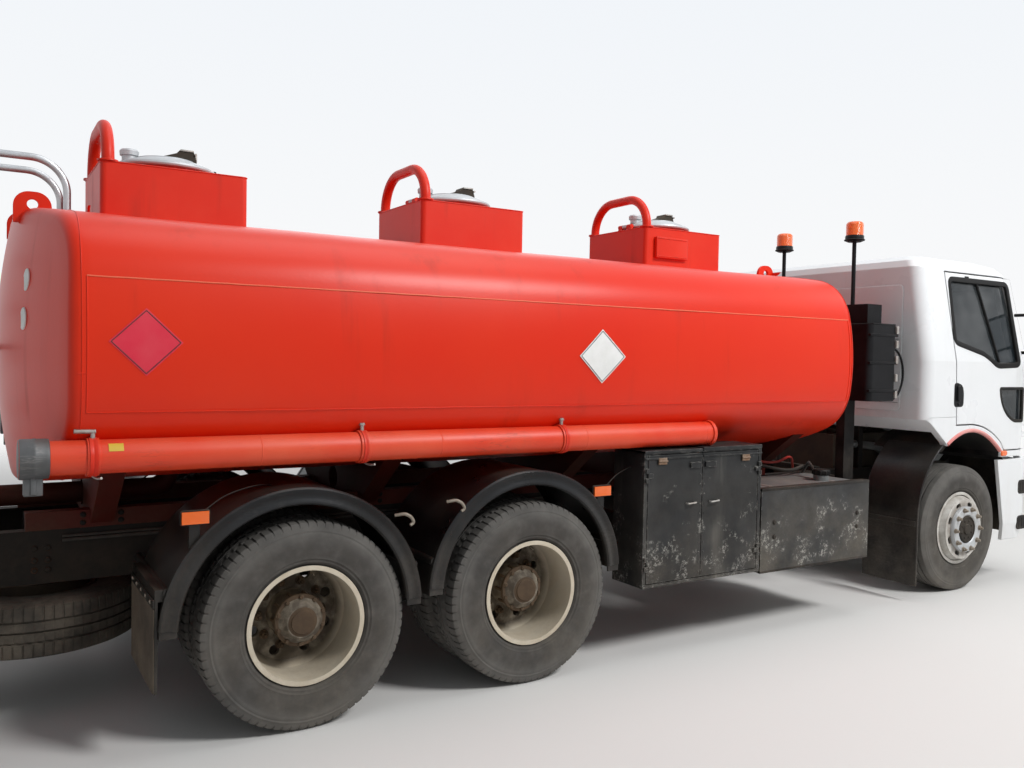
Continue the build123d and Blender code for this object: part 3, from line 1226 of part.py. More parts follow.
def whole_truck():
    """All nodes of the truck by name."""
    barrel = tank()
    nodes = wheels()
    nodes.update(spare_wheel())
    base = frame()
    for carrier in cab_carriers():
        base += carrier
    nodes["frame"] = base
    nodes["springs"] = springs()
    nodes["front_axle"] = front_axle()
    steering = knuckle()
    nodes["knuckle_left"] = steering
    nodes["knuckle_right"] = other_side(steering)
    nodes["track_rod"] = track_rod()
    nodes["drive_axles"] = drive_axles()
    nodes["engine"] = engine()
    nodes["tank"] = barrel
    nodes["saddles"] = saddles(barrel)
    nodes["lifting_lugs"] = lifting_lugs(barrel)
    for rear_x, name in zip(HATCH_REARS, ("rear", "middle", "front")):
        nodes[f"hatch_box_{name}"] = hatch_box(rear_x, barrel)
        nodes[f"lid_{name}"] = lid(rear_x)
    nodes["hose_tubes"] = hose_tubes(barrel)
    nodes["rear_ladder"] = rear_ladder(barrel)
    nodes["outlet_pipe"] = outlet_pipe(barrel)
    nodes["cabinet"] = cabinet()
    nodes.update(cabinet_doors())
    nodes["fuel_tank"] = fuel_tank()
    nodes["fuel_guard"] = fuel_guard()
    nodes["battery_box"] = battery_box()
    nodes["air_tanks"] = air_tanks()
    nodes["mudguards_left"] = mudguards(1)
    nodes["mudguards_right"] = mudguards(-1)
    nodes["amber_lamps"] = side_markers()
    nodes["tail_lamps"] = tail_lamps()
    nodes["air_intake"] = air_intake()
    nodes["beacon_masts"] = beacon_masts()
    nodes.update(bumper())
    nodes.update(cab())
    nodes["seats"] = seats()
    nodes["dashboard"] = dashboard()
    nodes["mirrors"] = mirrors()
    return nodes


def main():
    """Write every node, moved so that the origin is at the truck's bottom centre."""
    os.makedirs("parts", exist_ok=True)
    shift = Pos(-(BUMPER_FRONT + UNDERRUN_REAR) / 2, 0, 0)
    for name, shape in whole_truck().items():
        solids = (shift * shape).solids()
        export_step(solids[0] if len(solids) == 1 else Compound(solids), f"parts/{name}.step")


main()
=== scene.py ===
"""Looks of a three-axle tanker truck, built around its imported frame.

Everything is in metres in the frame's axes: +X forward, +Y the truck's left, +Z up, z = 0 the road.
Pieces are surfaces worked out as numpy arrays. Each class holds the sizes of its own pieces as fields,
and the frame's own solids are dressed where they stand.
"""

from __future__ import annotations

import logging
import math
from dataclasses import dataclass
from enum import Enum
from typing import Callable, Sequence

import bmesh
import bpy
import numpy as np
from mathutils import Matrix, Vector

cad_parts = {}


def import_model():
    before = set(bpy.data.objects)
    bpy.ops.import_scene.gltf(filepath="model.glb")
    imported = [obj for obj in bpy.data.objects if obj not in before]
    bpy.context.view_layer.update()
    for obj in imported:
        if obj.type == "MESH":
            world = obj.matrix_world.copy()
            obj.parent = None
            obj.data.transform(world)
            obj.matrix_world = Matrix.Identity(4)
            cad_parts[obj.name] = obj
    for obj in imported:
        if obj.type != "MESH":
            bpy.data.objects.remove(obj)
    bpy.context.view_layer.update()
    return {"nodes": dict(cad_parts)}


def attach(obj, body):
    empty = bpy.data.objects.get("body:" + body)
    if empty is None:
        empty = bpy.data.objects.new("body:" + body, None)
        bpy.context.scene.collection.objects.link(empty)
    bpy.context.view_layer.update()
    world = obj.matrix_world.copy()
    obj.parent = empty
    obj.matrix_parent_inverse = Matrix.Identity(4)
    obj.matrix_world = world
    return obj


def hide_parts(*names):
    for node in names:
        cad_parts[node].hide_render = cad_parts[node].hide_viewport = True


log = logging.getLogger("tanker")

# Names of types. An Extent holds a low and a high value for each of two directions.
Array = np.ndarray
Rows = np.ndarray | Sequence[Sequence[float]]
Colour = tuple[float, float, float]
Point = tuple[float, float, float]
Extent = tuple[float, float, float, float]
Values = tuple[float, ...]
Pairs = tuple[tuple[float, float], ...]
Place = Callable[[Array, Array, Array | float], Array]

IMAGE_WIDTH, IMAGE_HEIGHT = 1024, 768
TAU = 2 * math.pi
GLUE = 1e-5
SKIN = 0.0006
AXLES = {"front": 2.989, "middle": -1.265, "rear": -2.583}
AXLE_Z = 0.521


class Side(Enum):
    """Side of the truck, with its sign on Y."""

    LEFT = 1
    RIGHT = -1

    @property
    def word(self) -> str:
        """The side's name as the frame's nodes spell it."""
        return self.name.lower()


def unit(vector: Array) -> Array:
    """Vectors of length one along the last axis."""
    return vector / np.maximum(np.linalg.norm(vector, axis=-1, keepdims=True), 1e-12)


def axes_from(normal: Sequence[float]) -> tuple[Array, Array, Array]:
    """Two directions across a normal, and the normal itself, all of length one.

    Args:
        normal: any direction.

    Returns:
        u, v and n with u x v = n.
    """
    n = unit(np.asarray(normal, float))
    near = np.array([0.0, 0.0, 1.0]) if abs(n[2]) < 0.9 else np.array([1.0, 0.0, 0.0])
    u = unit(np.cross(near, n))
    return u, np.cross(n, u), n


def points(x: Array | float, y: Array | float, z: Array | float) -> Array:
    """Points from their coordinates, where a single number serves all of them."""
    return np.stack(np.broadcast_arrays(x, y, z), axis=-1)


def turns(count: int, start: float = 0.0) -> Array:
    """Angles in equal steps once round a circle."""
    return np.arange(count) * TAU / count + start


def arc(centre: Sequence[float], radius: float, start: float, end: float, steps: int) -> Array:
    """Points on a circular arc in a plane: centre + radius * (cos a, sin a), a from start to end degrees."""
    a = np.radians(np.linspace(start, end, steps))
    return np.asarray(centre, float) + radius * np.stack([np.cos(a), np.sin(a)], axis=1)


def bent(before: Array, corner: Array, after: Array, bend: float, steps: int) -> Array:
    """The curve (1-t)^2 a + 2t(1-t) P + t^2 b at a corner P, with a and b on its two runs.

    Args:
        before: the corner before it.
        corner: P.
        after: the corner after it.
        bend: distance of a and b from P, held to 45% of a run that is too short for it.
        steps: points on the curve.

    Returns:
        Points on the curve, as rows.
    """
    t = np.linspace(0, 1, steps)[:, None]
    a, b = (corner + unit(end - corner) * min(bend, 0.45 * np.linalg.norm(end - corner))
            for end in (before, after))
    return (1 - t) ** 2 * a + 2 * t * (1 - t) * corner + t**2 * b


def anticlockwise(outline: Array) -> bool:
    """Whether a flat outline turns anticlockwise, from the sign of its area."""
    after = np.roll(outline, -1, 0)
    return float(np.sum(outline[:, 0] * after[:, 1] - after[:, 0] * outline[:, 1])) > 0


def split(outline: Array, parts: int = 8) -> Array:
    """Closed outline with each of its runs split into equal parts."""
    share = np.linspace(0, 1, parts + 1)[:-1, None]
    return np.concatenate([a + (b - a) * share for a, b in zip(outline, np.roll(outline, -1, 0))])


def rounded_route(corners: Sequence[Point], bend: float, steps: int = 8) -> Array:
    """Straight runs joined by smooth bends.

    Args:
        corners: corner points.
        bend: distance from a corner at which its curve starts.
        steps: points on each curve.

    Returns:
        Points along the route, as rows.
    """
    p = np.asarray(corners, float)
    return np.concatenate([p[:1], *(bent(*three, bend, steps) for three in zip(p, p[1:], p[2:])), p[-1:]])


def rounded_rectangle(width: float, height: float, radius: float, steps: int = 4) -> Array:
    """Outline of a rectangle about the origin whose corners are quarter circles, anticlockwise."""
    w, h = width / 2 - radius, height / 2 - radius
    corners = ((w, h, 0), (-w, h, 90), (-w, -h, 180), (w, -h, 270))
    return np.concatenate([arc((x, y), radius, a, a + 90, steps) for x, y, a in corners])


class Sketch:
    """Gathers surfaces worked out as arrays, and turns them into one mesh piece."""

    def __init__(self) -> None:
        self.points: list[Array] = []
        self.faces: list[list[int]] = []
        self.count = 0

    def _add(self, places: Array) -> int:
        """Store points and return the index of the first."""
        first = self.count
        self.points.append(places.reshape(-1, 3))
        self.count += places.size // 3
        return first

    def grid(self, places: Array, wrap_u: bool = False, wrap_v: bool = False,
             cap_start: bool = False, cap_end: bool = False) -> "Sketch":
        """Quads over a grid of points.

        Args:
            places: array of shape (rows, columns, 3).
            wrap_u: join the last row to the first.
            wrap_v: join the last column to the first.
            cap_start: close the first row with one face.
            cap_end: close the last row with one face.
        """
        rows, columns = places.shape[:2]
        first = self._add(places)
        index = first + np.arange(rows * columns).reshape(rows, columns)
        i = np.arange(rows if wrap_u else rows - 1)
        j = np.arange(columns if wrap_v else columns - 1)
        i0, j0 = np.meshgrid(i, j, indexing="ij")
        i1, j1 = (i0 + 1) % rows, (j0 + 1) % columns
        quads = np.stack([index[i0, j0], index[i1, j0], index[i1, j1], index[i0, j1]], axis=-1)
        self.faces += quads.reshape(-1, 4).tolist()
        if cap_start:
            self.faces.append(index[0].tolist())
        if cap_end:
            self.faces.append(index[-1][::-1].tolist())
        return self

    def turned(self, profile: Rows, centre: Sequence[float], axis: Sequence[float], segments: int = 64,
               wrap: bool = False) -> "Sketch":
        """Surface of revolution: centre + n * height + radius * (u cos a + v sin a).

        Args:
            profile: rows of (radius, height); a radius of zero closes the surface at its pole.
            centre: origin of the profile.
            axis: direction of its height.
            segments: steps round the axis.
            wrap: the profile is a closed ring.
        """
        u, v, n = axes_from(axis)
        a = turns(segments)
        ring = np.cos(a)[:, None] * u + np.sin(a)[:, None] * v
        radius, height = np.asarray(profile, float).T
        places = np.asarray(centre, float) + radius[:, None, None] * ring + height[:, None, None] * n
        return self.grid(places, wrap_u=wrap, wrap_v=True)

    def tube(self, path: Rows, radius: float | Array, sides: int = 12, closed: bool = False) -> "Sketch":
        """Round tube along a path: path + radius * (s cos a + b sin a), b nearly constant along the path.

        Args:
            path: rows of points.
            radius: one value or one per point.
            sides: points round the tube.
            closed: the path is a ring.
        """
        path = np.asarray(path, float)
        if closed:
            tangent = unit(np.roll(path, -1, 0) - np.roll(path, 1, 0))
        else:
            tangent = unit(np.gradient(path, axis=0))
        spread = path - path.mean(0)
        _, values, directions = np.linalg.svd(spread, full_matrices=True)
        straight = len(values) < 2 or values[1] < 1e-6
        flat_normal = axes_from(tangent[0])[0] if straight else directions[2]
        side = unit(np.cross(tangent, flat_normal))
        lift = np.cross(side, tangent)
        a = turns(sides)
        r = np.broadcast_to(np.asarray(radius, float), len(path))[:, None, None]
        ring = np.cos(a)[None, :, None] * side[:, None] + np.sin(a)[None, :, None] * lift[:, None]
        return self.grid(path[:, None] + r * ring, wrap_u=closed, wrap_v=True,
                         cap_start=not closed, cap_end=not closed)

    def prism(self, outline: Rows, origin: Sequence[float], normal: Sequence[float], depth: float,
              bevel: float = 0.0, u: Sequence[float] | None = None) -> "Sketch":
        """Outline carried along a normal, with both ends drawn in by a bevel.

        Args:
            outline: rows of (a, b) on the directions u and n x u.
            origin: where the outline's zero stands.
            normal: direction of the depth.
            depth: how far it is carried.
            bevel: how far the ends are drawn in, across and along.
            u: first direction of the outline.
        """
        outline = np.asarray(outline, float)
        n = unit(np.asarray(normal, float))
        first = axes_from(n)[0] if u is None else unit(np.asarray(u, float))
        second = np.cross(n, first)
        flat = np.asarray(origin, float) + outline[:, :1] * first + outline[:, 1:] * second
        edge = np.roll(flat, -1, 0) - np.roll(flat, 1, 0)
        inward = unit(np.cross(n, edge))
        inward = inward if anticlockwise(outline) else -inward
        if bevel <= 0:
            rows = [flat, flat + n * depth]
        else:
            small = flat + inward * bevel
            rows = [small, flat + n * bevel, flat + n * (depth - bevel), small + n * depth]
        return self.grid(np.stack(rows), wrap_v=True, cap_start=True, cap_end=True)

    def block(self, low: Sequence[float], high: Sequence[float], bevel: float = 0.003) -> "Sketch":
        """Box between two corners with rounded upright edges and bevelled ends."""
        low, high = np.minimum(low, high), np.maximum(low, high)
        size = high - low
        bevel = min(bevel, 0.45 * float(size.min()))
        outline = rounded_rectangle(size[0], size[1], bevel, 3)
        middle = (low + high) / 2
        return self.prism(outline, (middle[0], middle[1], low[2]), (0, 0, 1), size[2], bevel * 0.6, (1, 0, 0))

    def hexes(self, centres: Rows, axis: Sequence[float], radius: float, height: float,
              washer: float = 0.0) -> "Sketch":
        """Hexagon heads with bevelled tops at many places, each with a washer if one is asked for.

        Args:
            centres: rows of points on the face that carries the heads.
            axis: direction in which they stand up.
            radius: over the corners.
            height: above the face.
            washer: thickness of a round washer under each head.
        """
        u, v, n = axes_from(axis)
        a = turns(6)
        ring = np.cos(a)[:, None] * u + np.sin(a)[:, None] * v
        for x in np.asarray(centres, float):
            rows = [x + radius * ring, x + radius * ring + n * (height - radius * 0.15),
                    x + radius * 0.84 * ring + n * height]
            self.grid(np.stack(rows), wrap_v=True, cap_start=True, cap_end=True)
            if washer > 0:
                profile = [[0, 0], [radius * 1.3, 0], [radius * 1.3, washer * 0.8],
                           [radius * 1.2, washer], [0, washer]]
                self.turned(profile, x, axis, 12)
        return self

    def mirrored(self) -> "Sketch":
        """Add the same surfaces on the truck's other side."""
        places = np.concatenate(self.points)
        faces = list(self.faces)
        first = self._add(places * np.array([1.0, -1.0, 1.0]))
        self.faces += [[i + first for i in reversed(face)] for face in faces]
        return self

    def made(self, name: str, finish: bpy.types.Material, body: str, slot: str,
             smooth: float = 35.0, stands_for: Sequence[str] = ()) -> bpy.types.Object:
        """Make the piece: doubles merged, faces outwards, dressed, riding on its body.

        Args:
            name: the piece's name.
            finish: its material.
            body: frame body that it rides on.
            slot: a record's slot name; not used.
            smooth: edges flatter than this angle in degrees are shaded smooth.
            stands_for: frame nodes that it replaces.

        Returns:
            The finished object.
        """
        mesh = bpy.data.meshes.new(name)
        mesh.from_pydata(np.concatenate(self.points).tolist(), [], self.faces)
        work = bmesh.new()
        work.from_mesh(mesh)
        bmesh.ops.remove_doubles(work, verts=work.verts, dist=GLUE)
        bmesh.ops.recalc_face_normals(work, faces=work.faces)
        work.to_mesh(mesh)
        work.free()
        mesh.shade_smooth()
        mesh.set_sharp_from_angle(angle=math.radians(smooth))
        mesh.materials.append(finish)
        piece = bpy.data.objects.new(name, mesh)
        bpy.context.scene.collection.objects.link(piece)
        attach(piece, body)
        if stands_for:
            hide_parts(*stands_for)
        log.info("%s: %d faces on %s", name, len(mesh.polygons), body)
        return piece


class Wiring:
    """Short way to add nodes to a shader tree and join their sockets."""

    def __init__(self, tree: bpy.types.NodeTree) -> None:
        self.tree = tree

    def node(self, kind: str, sockets: dict | None = None, **settings: object) -> bpy.types.Node:
        """Add a node.

        Args:
            kind: Blender's type name without its ShaderNode part.
            sockets: input name or number to a value, or to an output socket that is joined to it.
            settings: the node's own properties.

        Returns:
            The node.
        """
        made = self.tree.nodes.new("ShaderNode" + kind)
        for key, value in settings.items():
            setattr(made, key, value)
        self.fill(made, sockets or {})
        return made

    def fill(self, node: bpy.types.Node, sockets: dict) -> None:
        """Give a node's inputs, by name or number, their values, or join them to other nodes' outputs."""
        for key, value in sockets.items():
            if isinstance(value, bpy.types.NodeSocket):
                self.tree.links.new(value, node.inputs[key])
            else:
                node.inputs[key].default_value = value

    def math(self, operation: str, a: object, b: object = 0.0, clamp: bool = False) -> bpy.types.NodeSocket:
        """One arithmetic step on two values or sockets."""
        return self.node("Math", {0: a, 1: b}, operation=operation, use_clamp=clamp).outputs[0]

    def times(self, a: object, b: object, clamp: bool = False) -> bpy.types.NodeSocket:
        """The product of two values or sockets."""
        return self.math("MULTIPLY", a, b, clamp)

    def noise(self, place: object, scale: float, detail: float = 4.0,
              rough: float = 0.55) -> bpy.types.NodeSocket:
        """Noise value at a place."""
        sockets = {"Vector": place, "Scale": scale, "Detail": detail, "Roughness": rough}
        return self.node("TexNoise", sockets).outputs[0]

    def ramp(self, value: object, low: float, high: float, to_low: float = 0.0,
             to_high: float = 1.0) -> bpy.types.NodeSocket:
        """Value mapped from one range to another, smoothly, with its ends held."""
        sockets = {0: value, 1: low, 2: high, 3: to_low, 4: to_high}
        return self.node("MapRange", sockets, interpolation_type="SMOOTHSTEP", clamp=True).outputs[0]

    def stretched(self, place: object, scale: Sequence[float]) -> bpy.types.NodeSocket:
        """A place with each axis multiplied."""
        return self.node("Mapping", {"Vector": place, "Scale": tuple(scale)}).outputs[0]

    def mix(self, share: object, a: object, b: object) -> bpy.types.NodeSocket:
        """Colour a turned into colour b by a share."""
        a, b = (end if isinstance(end, bpy.types.NodeSocket) else (*end, 1.0) for end in (a, b))
        return self.node("Mix", {0: share, 6: a, 7: b}, data_type="RGBA").outputs[2]


def effect(name: str, inputs: dict[str, float], outputs: Sequence[str],
           build: Callable[[Wiring, dict], dict]) -> bpy.types.NodeTree:
    """Make a shader node group that several finishes share.

    Args:
        name: the group's name.
        inputs: value inputs and their usual values.
        outputs: names of the outputs; one named Normal is a vector.
        build: makes the nodes from the wiring and the input sockets, and returns a socket per output.

    Returns:
        The group.
    """
    tree = bpy.data.node_groups.new(name, "ShaderNodeTree")
    for key, value in inputs.items():
        tree.interface.new_socket(key, in_out="INPUT", socket_type="NodeSocketFloat").default_value = value
    for key in outputs:
        kind = "NodeSocketVector" if key == "Normal" else "NodeSocketFloat"
        tree.interface.new_socket(key, in_out="OUTPUT", socket_type=kind)
    entry = tree.nodes.new("NodeGroupInput")
    leave = tree.nodes.new("NodeGroupOutput")
    made = build(Wiring(tree), {key: entry.outputs[key] for key in inputs})
    for key, socket in made.items():
        tree.links.new(socket, leave.inputs[key])
    return tree


def fresh_material(name: str) -> tuple[bpy.types.Material, Wiring, bpy.types.Node]:
    """A new material with one Principled shader joined to its output.

    Args:
        name: the material's name.

    Returns:
        The material, its wiring and the shader.
    """
    material = bpy.data.materials.new(name)
    material.use_nodes = True
    material.node_tree.nodes.clear()
    w = Wiring(material.node_tree)
    out = w.node("OutputMaterial")
    surface = w.node("BsdfPrincipled")
    w.tree.links.new(surface.outputs[0], out.inputs[0])
    return material, w, surface


class Effects:
    """The shared effects: road dust, patches, runs of dirt, scratches, worn edges and paint skin."""

    def __init__(self) -> None:
        self.dust = effect("road_dust", {"Amount": 1.0, "Top": 1.3, "Scale": 3.0}, ["Mask"], self._dust)
        self.patches = effect("patches", {"Scale": 1.0, "Low": 0.45, "High": 0.7}, ["Mask"], self._patches)
        self.runs = effect("dirt_runs", {"Scale": 6.0, "Amount": 1.0}, ["Mask"], self._runs)
        self.scratches = effect("scratches", {"Scale": 30.0, "Amount": 1.0}, ["Mask"], self._scratches)
        self.scuffs = effect("scuffs", {"Low": 0.55, "Amount": 1.0}, ["Mask"], self._scuffs)
        self.edges = effect("worn_edges", {"Width": 0.006, "Scale": 20.0}, ["Mask"], self._edges)
        self.skin = effect("surface_skin", {"Scale": 200.0, "Depth": 0.0002, "Round": 0.003}, ["Normal"],
                           self._skin)

    @staticmethod
    def _place(w: Wiring) -> bpy.types.NodeSocket:
        """The point on the piece."""
        return w.node("TexCoord").outputs["Object"]

    def _dust(self, w: Wiring, ins: dict) -> dict:
        """Thick near the road and gone at the top height, broken up by noise, more on faces that look up."""
        place = self._place(w)
        height = w.node("SeparateXYZ", {0: place}).outputs[2]
        fall = w.math("SUBTRACT", 1.0, w.math("DIVIDE", height, ins["Top"]), clamp=True)
        coarse = w.noise(place, ins["Scale"], 6.0, 0.6)
        fine = w.noise(place, 60.0, 3.0)
        up = w.node("SeparateXYZ", {0: w.node("NewGeometry").outputs["Normal"]}).outputs[2]
        shelf = w.times(w.ramp(up, 0.3, 1.0), 0.35)
        level = w.math("ADD", w.times(fall, 0.9), shelf)
        broken = w.times(w.ramp(coarse, 0.25, 0.75), w.ramp(fine, 0.1, 0.8, 0.6, 1.0))
        return {"Mask": w.times(w.times(level, broken), ins["Amount"], clamp=True)}

    def _patches(self, w: Wiring, ins: dict) -> dict:
        """Cloudy patches: a noise value taken from its low to its high level."""
        value = w.noise(self._place(w), ins["Scale"], 5.0, 0.6)
        made = w.node("MapRange", {0: value, 1: ins["Low"], 2: ins["High"]}, clamp=True)
        return {"Mask": made.outputs[0]}

    def _runs(self, w: Wiring, ins: dict) -> dict:
        """Upright streaks: noise squeezed along the truck and drawn out in height."""
        place = w.stretched(self._place(w), (1.0, 1.0, 0.07))
        streak = w.ramp(w.noise(place, ins["Scale"], 5.0, 0.6), 0.52, 0.78)
        broken = w.ramp(w.noise(self._place(w), 2.2, 3.0), 0.4, 0.65)
        return {"Mask": w.times(w.times(streak, broken), ins["Amount"], clamp=True)}

    def _scratches(self, w: Wiring, ins: dict) -> dict:
        """Short level marks: narrow bands of a stretched noise, kept where a coarse noise is high."""
        place = w.stretched(self._place(w), (0.16, 0.16, 1.0))
        fine = w.noise(place, ins["Scale"], 3.0, 0.7)
        away = w.math("ABSOLUTE", w.math("SUBTRACT", fine, 0.5))
        band = w.math("SUBTRACT", 1.0, w.times(away, 28.0), clamp=True)
        keep = w.ramp(w.noise(self._place(w), 2.6, 3.0), 0.48, 0.68)
        return {"Mask": w.times(w.times(band, keep), ins["Amount"], clamp=True)}

    def _scuffs(self, w: Wiring, ins: dict) -> dict:
        """Ragged patches of rubbed paint, many near the low height and few half a metre above it."""
        place = self._place(w)
        above = w.math("SUBTRACT", w.node("SeparateXYZ", {0: place}).outputs[2], ins["Low"])
        near = w.ramp(above, 0.05, 0.45, 0.115, 0.0)
        large = w.math("ADD", w.noise(place, 5.5, 3.0, 0.6), near)
        small = w.ramp(w.noise(place, 42.0, 8.0, 0.8), 0.5, 0.6)
        mask = w.times(w.ramp(large, 0.6, 0.7), small)
        return {"Mask": w.times(mask, ins["Amount"], clamp=True)}

    def _edges(self, w: Wiring, ins: dict) -> dict:
        """Corners rubbed bare: how far a rounded normal leaves the flat one, broken up by noise."""
        rounded = w.node("Bevel", {0: ins["Width"]}, samples=4).outputs[0]
        plain = w.node("NewGeometry").outputs["Normal"]
        alike = w.node("VectorMath", {0: rounded, 1: plain}, operation="DOT_PRODUCT").outputs["Value"]
        edge = w.ramp(w.math("SUBTRACT", 1.0, alike), 0.02, 0.25)
        broken = w.ramp(w.noise(self._place(w), ins["Scale"], 4.0, 0.65), 0.46, 0.62)
        return {"Mask": w.times(edge, broken, clamp=True)}

    def _skin(self, w: Wiring, ins: dict) -> dict:
        """Fine unevenness of a coat or casting on softly rounded corners."""
        rounded = w.node("Bevel", {0: ins["Round"]}, samples=4).outputs[0]
        height = w.noise(self._place(w), ins["Scale"], 3.0)
        return {"Normal": w.node("Bump", {"Strength": 1.0, "Distance": ins["Depth"], "Height": height,
                                          "Normal": rounded}).outputs[0]}


@dataclass(frozen=True)
class Coat:
    """A finish in layers: a ground colour, cloudy patches, a darker ring round a wheel's axle of dirt and
    painted shade, wear, runs of dirt and dust on top.

    Colours are linear. A share of zero leaves its layer out of the material.
    """

    name: str
    colour: Colour
    roughness: float = 0.45
    metallic: float = 0.0
    coat: float = 0.0
    gloss: float = 0.5
    faded: Colour | None = None
    fade_scale: float = 0.8
    fade_share: float = 0.6
    worn: Colour | None = None
    wear_share: float = 0.0
    scratch_share: float = 0.0
    scratch_scale: float = 30.0
    scuff_share: float = 0.0
    scuff_low: float = 0.55
    run_share: float = 0.0
    run_colour: Colour = (0.1, 0.075, 0.055)
    dust_share: float = 0.0
    dust_top: float = 1.3
    dust_colour: Colour = (0.3, 0.25, 0.19)
    skin_scale: float = 200.0
    skin_depth: float = 0.0002
    round_edge: float = 0.003
    axle_at: Point | None = None
    ring: tuple[float, float] = (0.0, 0.0)
    ring_colour: Colour = (0.1, 0.075, 0.05)
    ring_share: float = 0.9

    def made(self, effects: Effects) -> bpy.types.Material:
        """Build the material from the shared effects."""
        material, w, surface = fresh_material(self.name)
        w.fill(surface, {"Metallic": self.metallic, "Coat Weight": self.coat, "Coat Roughness": 0.12,
                         "Specular IOR Level": self.gloss})
        colour, rough = (*self.colour, 1.0), self.roughness
        layers: list[tuple[Colour, float, object]] = []
        if self.faded:
            mask = self._group(w, effects.patches, {"Scale": self.fade_scale, "Low": 0.35, "High": 0.72})
            layers.append((self.faded, 0.1, w.times(mask, self.fade_share)))
        # Darker ring round a wheel's axle: dirt, and painted shade in the rims' dish.
        if self.axle_at:
            layers.append((self.ring_colour, 0.25, self._ring(w)))
        if self.worn and self.scratch_share > 0:
            mask = self._group(w, effects.scratches,
                               {"Scale": self.scratch_scale, "Amount": self.scratch_share})
            layers.append((self.worn, 0.15, mask))
        if self.worn and self.scuff_share > 0:
            mask = self._group(w, effects.scuffs, {"Low": self.scuff_low, "Amount": self.scuff_share})
            layers.append((self.worn, 0.15, mask))
        if self.worn and self.wear_share > 0:
            mask = self._group(w, effects.edges, {"Width": 0.008})
            layers.append((self.worn, 0.1, w.times(mask, self.wear_share)))
        if self.run_share > 0:
            layers.append((self.run_colour, 0.2, self._group(w, effects.runs, {"Amount": self.run_share})))
        if self.dust_share > 0:
            mask = self._group(w, effects.dust, {"Amount": self.dust_share, "Top": self.dust_top})
            layers.append((self.dust_colour, 0.35, mask))
        for tint, rougher, mask in layers:
            colour = w.mix(mask, colour[:3] if isinstance(colour, tuple) else colour, tint)
            rough = w.math("ADD", w.times(mask, rougher), rough, clamp=True)
        if isinstance(colour, tuple):
            speck = w.noise(w.node("TexCoord").outputs["Object"], 35.0, 4.0)
            dark = tuple(0.86 * c for c in self.colour)
            colour = w.mix(w.ramp(speck, 0.3, 0.8), self.colour, dark)
            rough = w.math("ADD", w.times(speck, 0.12), max(self.roughness - 0.05, 0.02))
        normal = self._group(w, effects.skin, {"Scale": self.skin_scale, "Depth": self.skin_depth,
                                               "Round": self.round_edge}, "Normal")
        w.fill(surface, {"Base Color": colour, "Roughness": rough, "Normal": normal})
        return material

    def _ring(self, w: Wiring) -> bpy.types.NodeSocket:
        """Dirt and painted shade round an axle along Y: full inside the ring's first radius, gone at its
        second.
        """
        place = w.node("TexCoord").outputs["Object"]
        away = w.node("Mapping", {"Vector": place, "Location": tuple(-c for c in self.axle_at)}).outputs[0]
        flat = w.node("Mapping", {"Vector": away, "Scale": (1.0, 0.0, 1.0)}).outputs[0]
        distance = w.node("VectorMath", {0: flat}, operation="LENGTH").outputs["Value"]
        uneven = w.math("ADD", distance, w.times(w.noise(place, 9.0), 0.02))
        inside = w.ramp(uneven, self.ring[0], self.ring[1], 1.0, 0.0)
        broken = w.ramp(w.noise(place, 14.0, 5.0), 0.2, 0.6, 0.55, 1.0)
        return w.times(w.times(inside, broken), self.ring_share)

    @staticmethod
    def _group(w: Wiring, tree: bpy.types.NodeTree, values: dict[str, float],
               output: str = "Mask") -> bpy.types.NodeSocket:
        """Place a shared effect with this material's values."""
        placed = w.node("Group", node_tree=tree)
        w.fill(placed, values)
        return placed.outputs[output]


@dataclass(frozen=True)
class Clear:
    """Glass or a clear lens: tinted, see-through, with a little dust."""

    name: str
    colour: Colour
    alpha: float = 0.35
    roughness: float = 0.03
    glow: float = 0.0
    ribs: float = 0.0

    def made(self, effects: Effects) -> bpy.types.Material:
        """Build the material: a glossy tinted skin whose Alpha lets the inside show."""
        material, w, surface = fresh_material(self.name)
        place = w.node("TexCoord").outputs["Object"]
        haze = w.ramp(w.noise(place, 4.0, 5.0), 0.35, 0.8)
        pale = tuple(0.7 * c + 0.25 for c in self.colour)
        tint = w.mix(w.times(haze, 0.25), self.colour, pale)
        rough, alpha = (w.math("ADD", w.times(haze, 0.06), level)
                        for level in (self.roughness, self.alpha))
        w.fill(surface, {"Specular IOR Level": 0.6, "Base Color": tint, "Roughness": rough, "Alpha": alpha})
        if self.glow > 0:
            w.fill(surface, {"Emission Color": (*self.colour, 1.0), "Emission Strength": self.glow})
        if self.ribs > 0:
            wave = w.node("TexWave", {"Vector": place, "Scale": self.ribs}, bands_direction="Z").outputs[1]
            bump = w.node("Bump", {"Strength": 0.5, "Distance": 0.002, "Height": wave}).outputs[0]
            w.fill(surface, {"Normal": bump})
        return material


def srgb(red: int, green: int, blue: int) -> Colour:
    """Linear colour from screen values of 0 to 255, by the usual power of 2.2."""
    return tuple((value / 255) ** 2.2 for value in (red, green, blue))


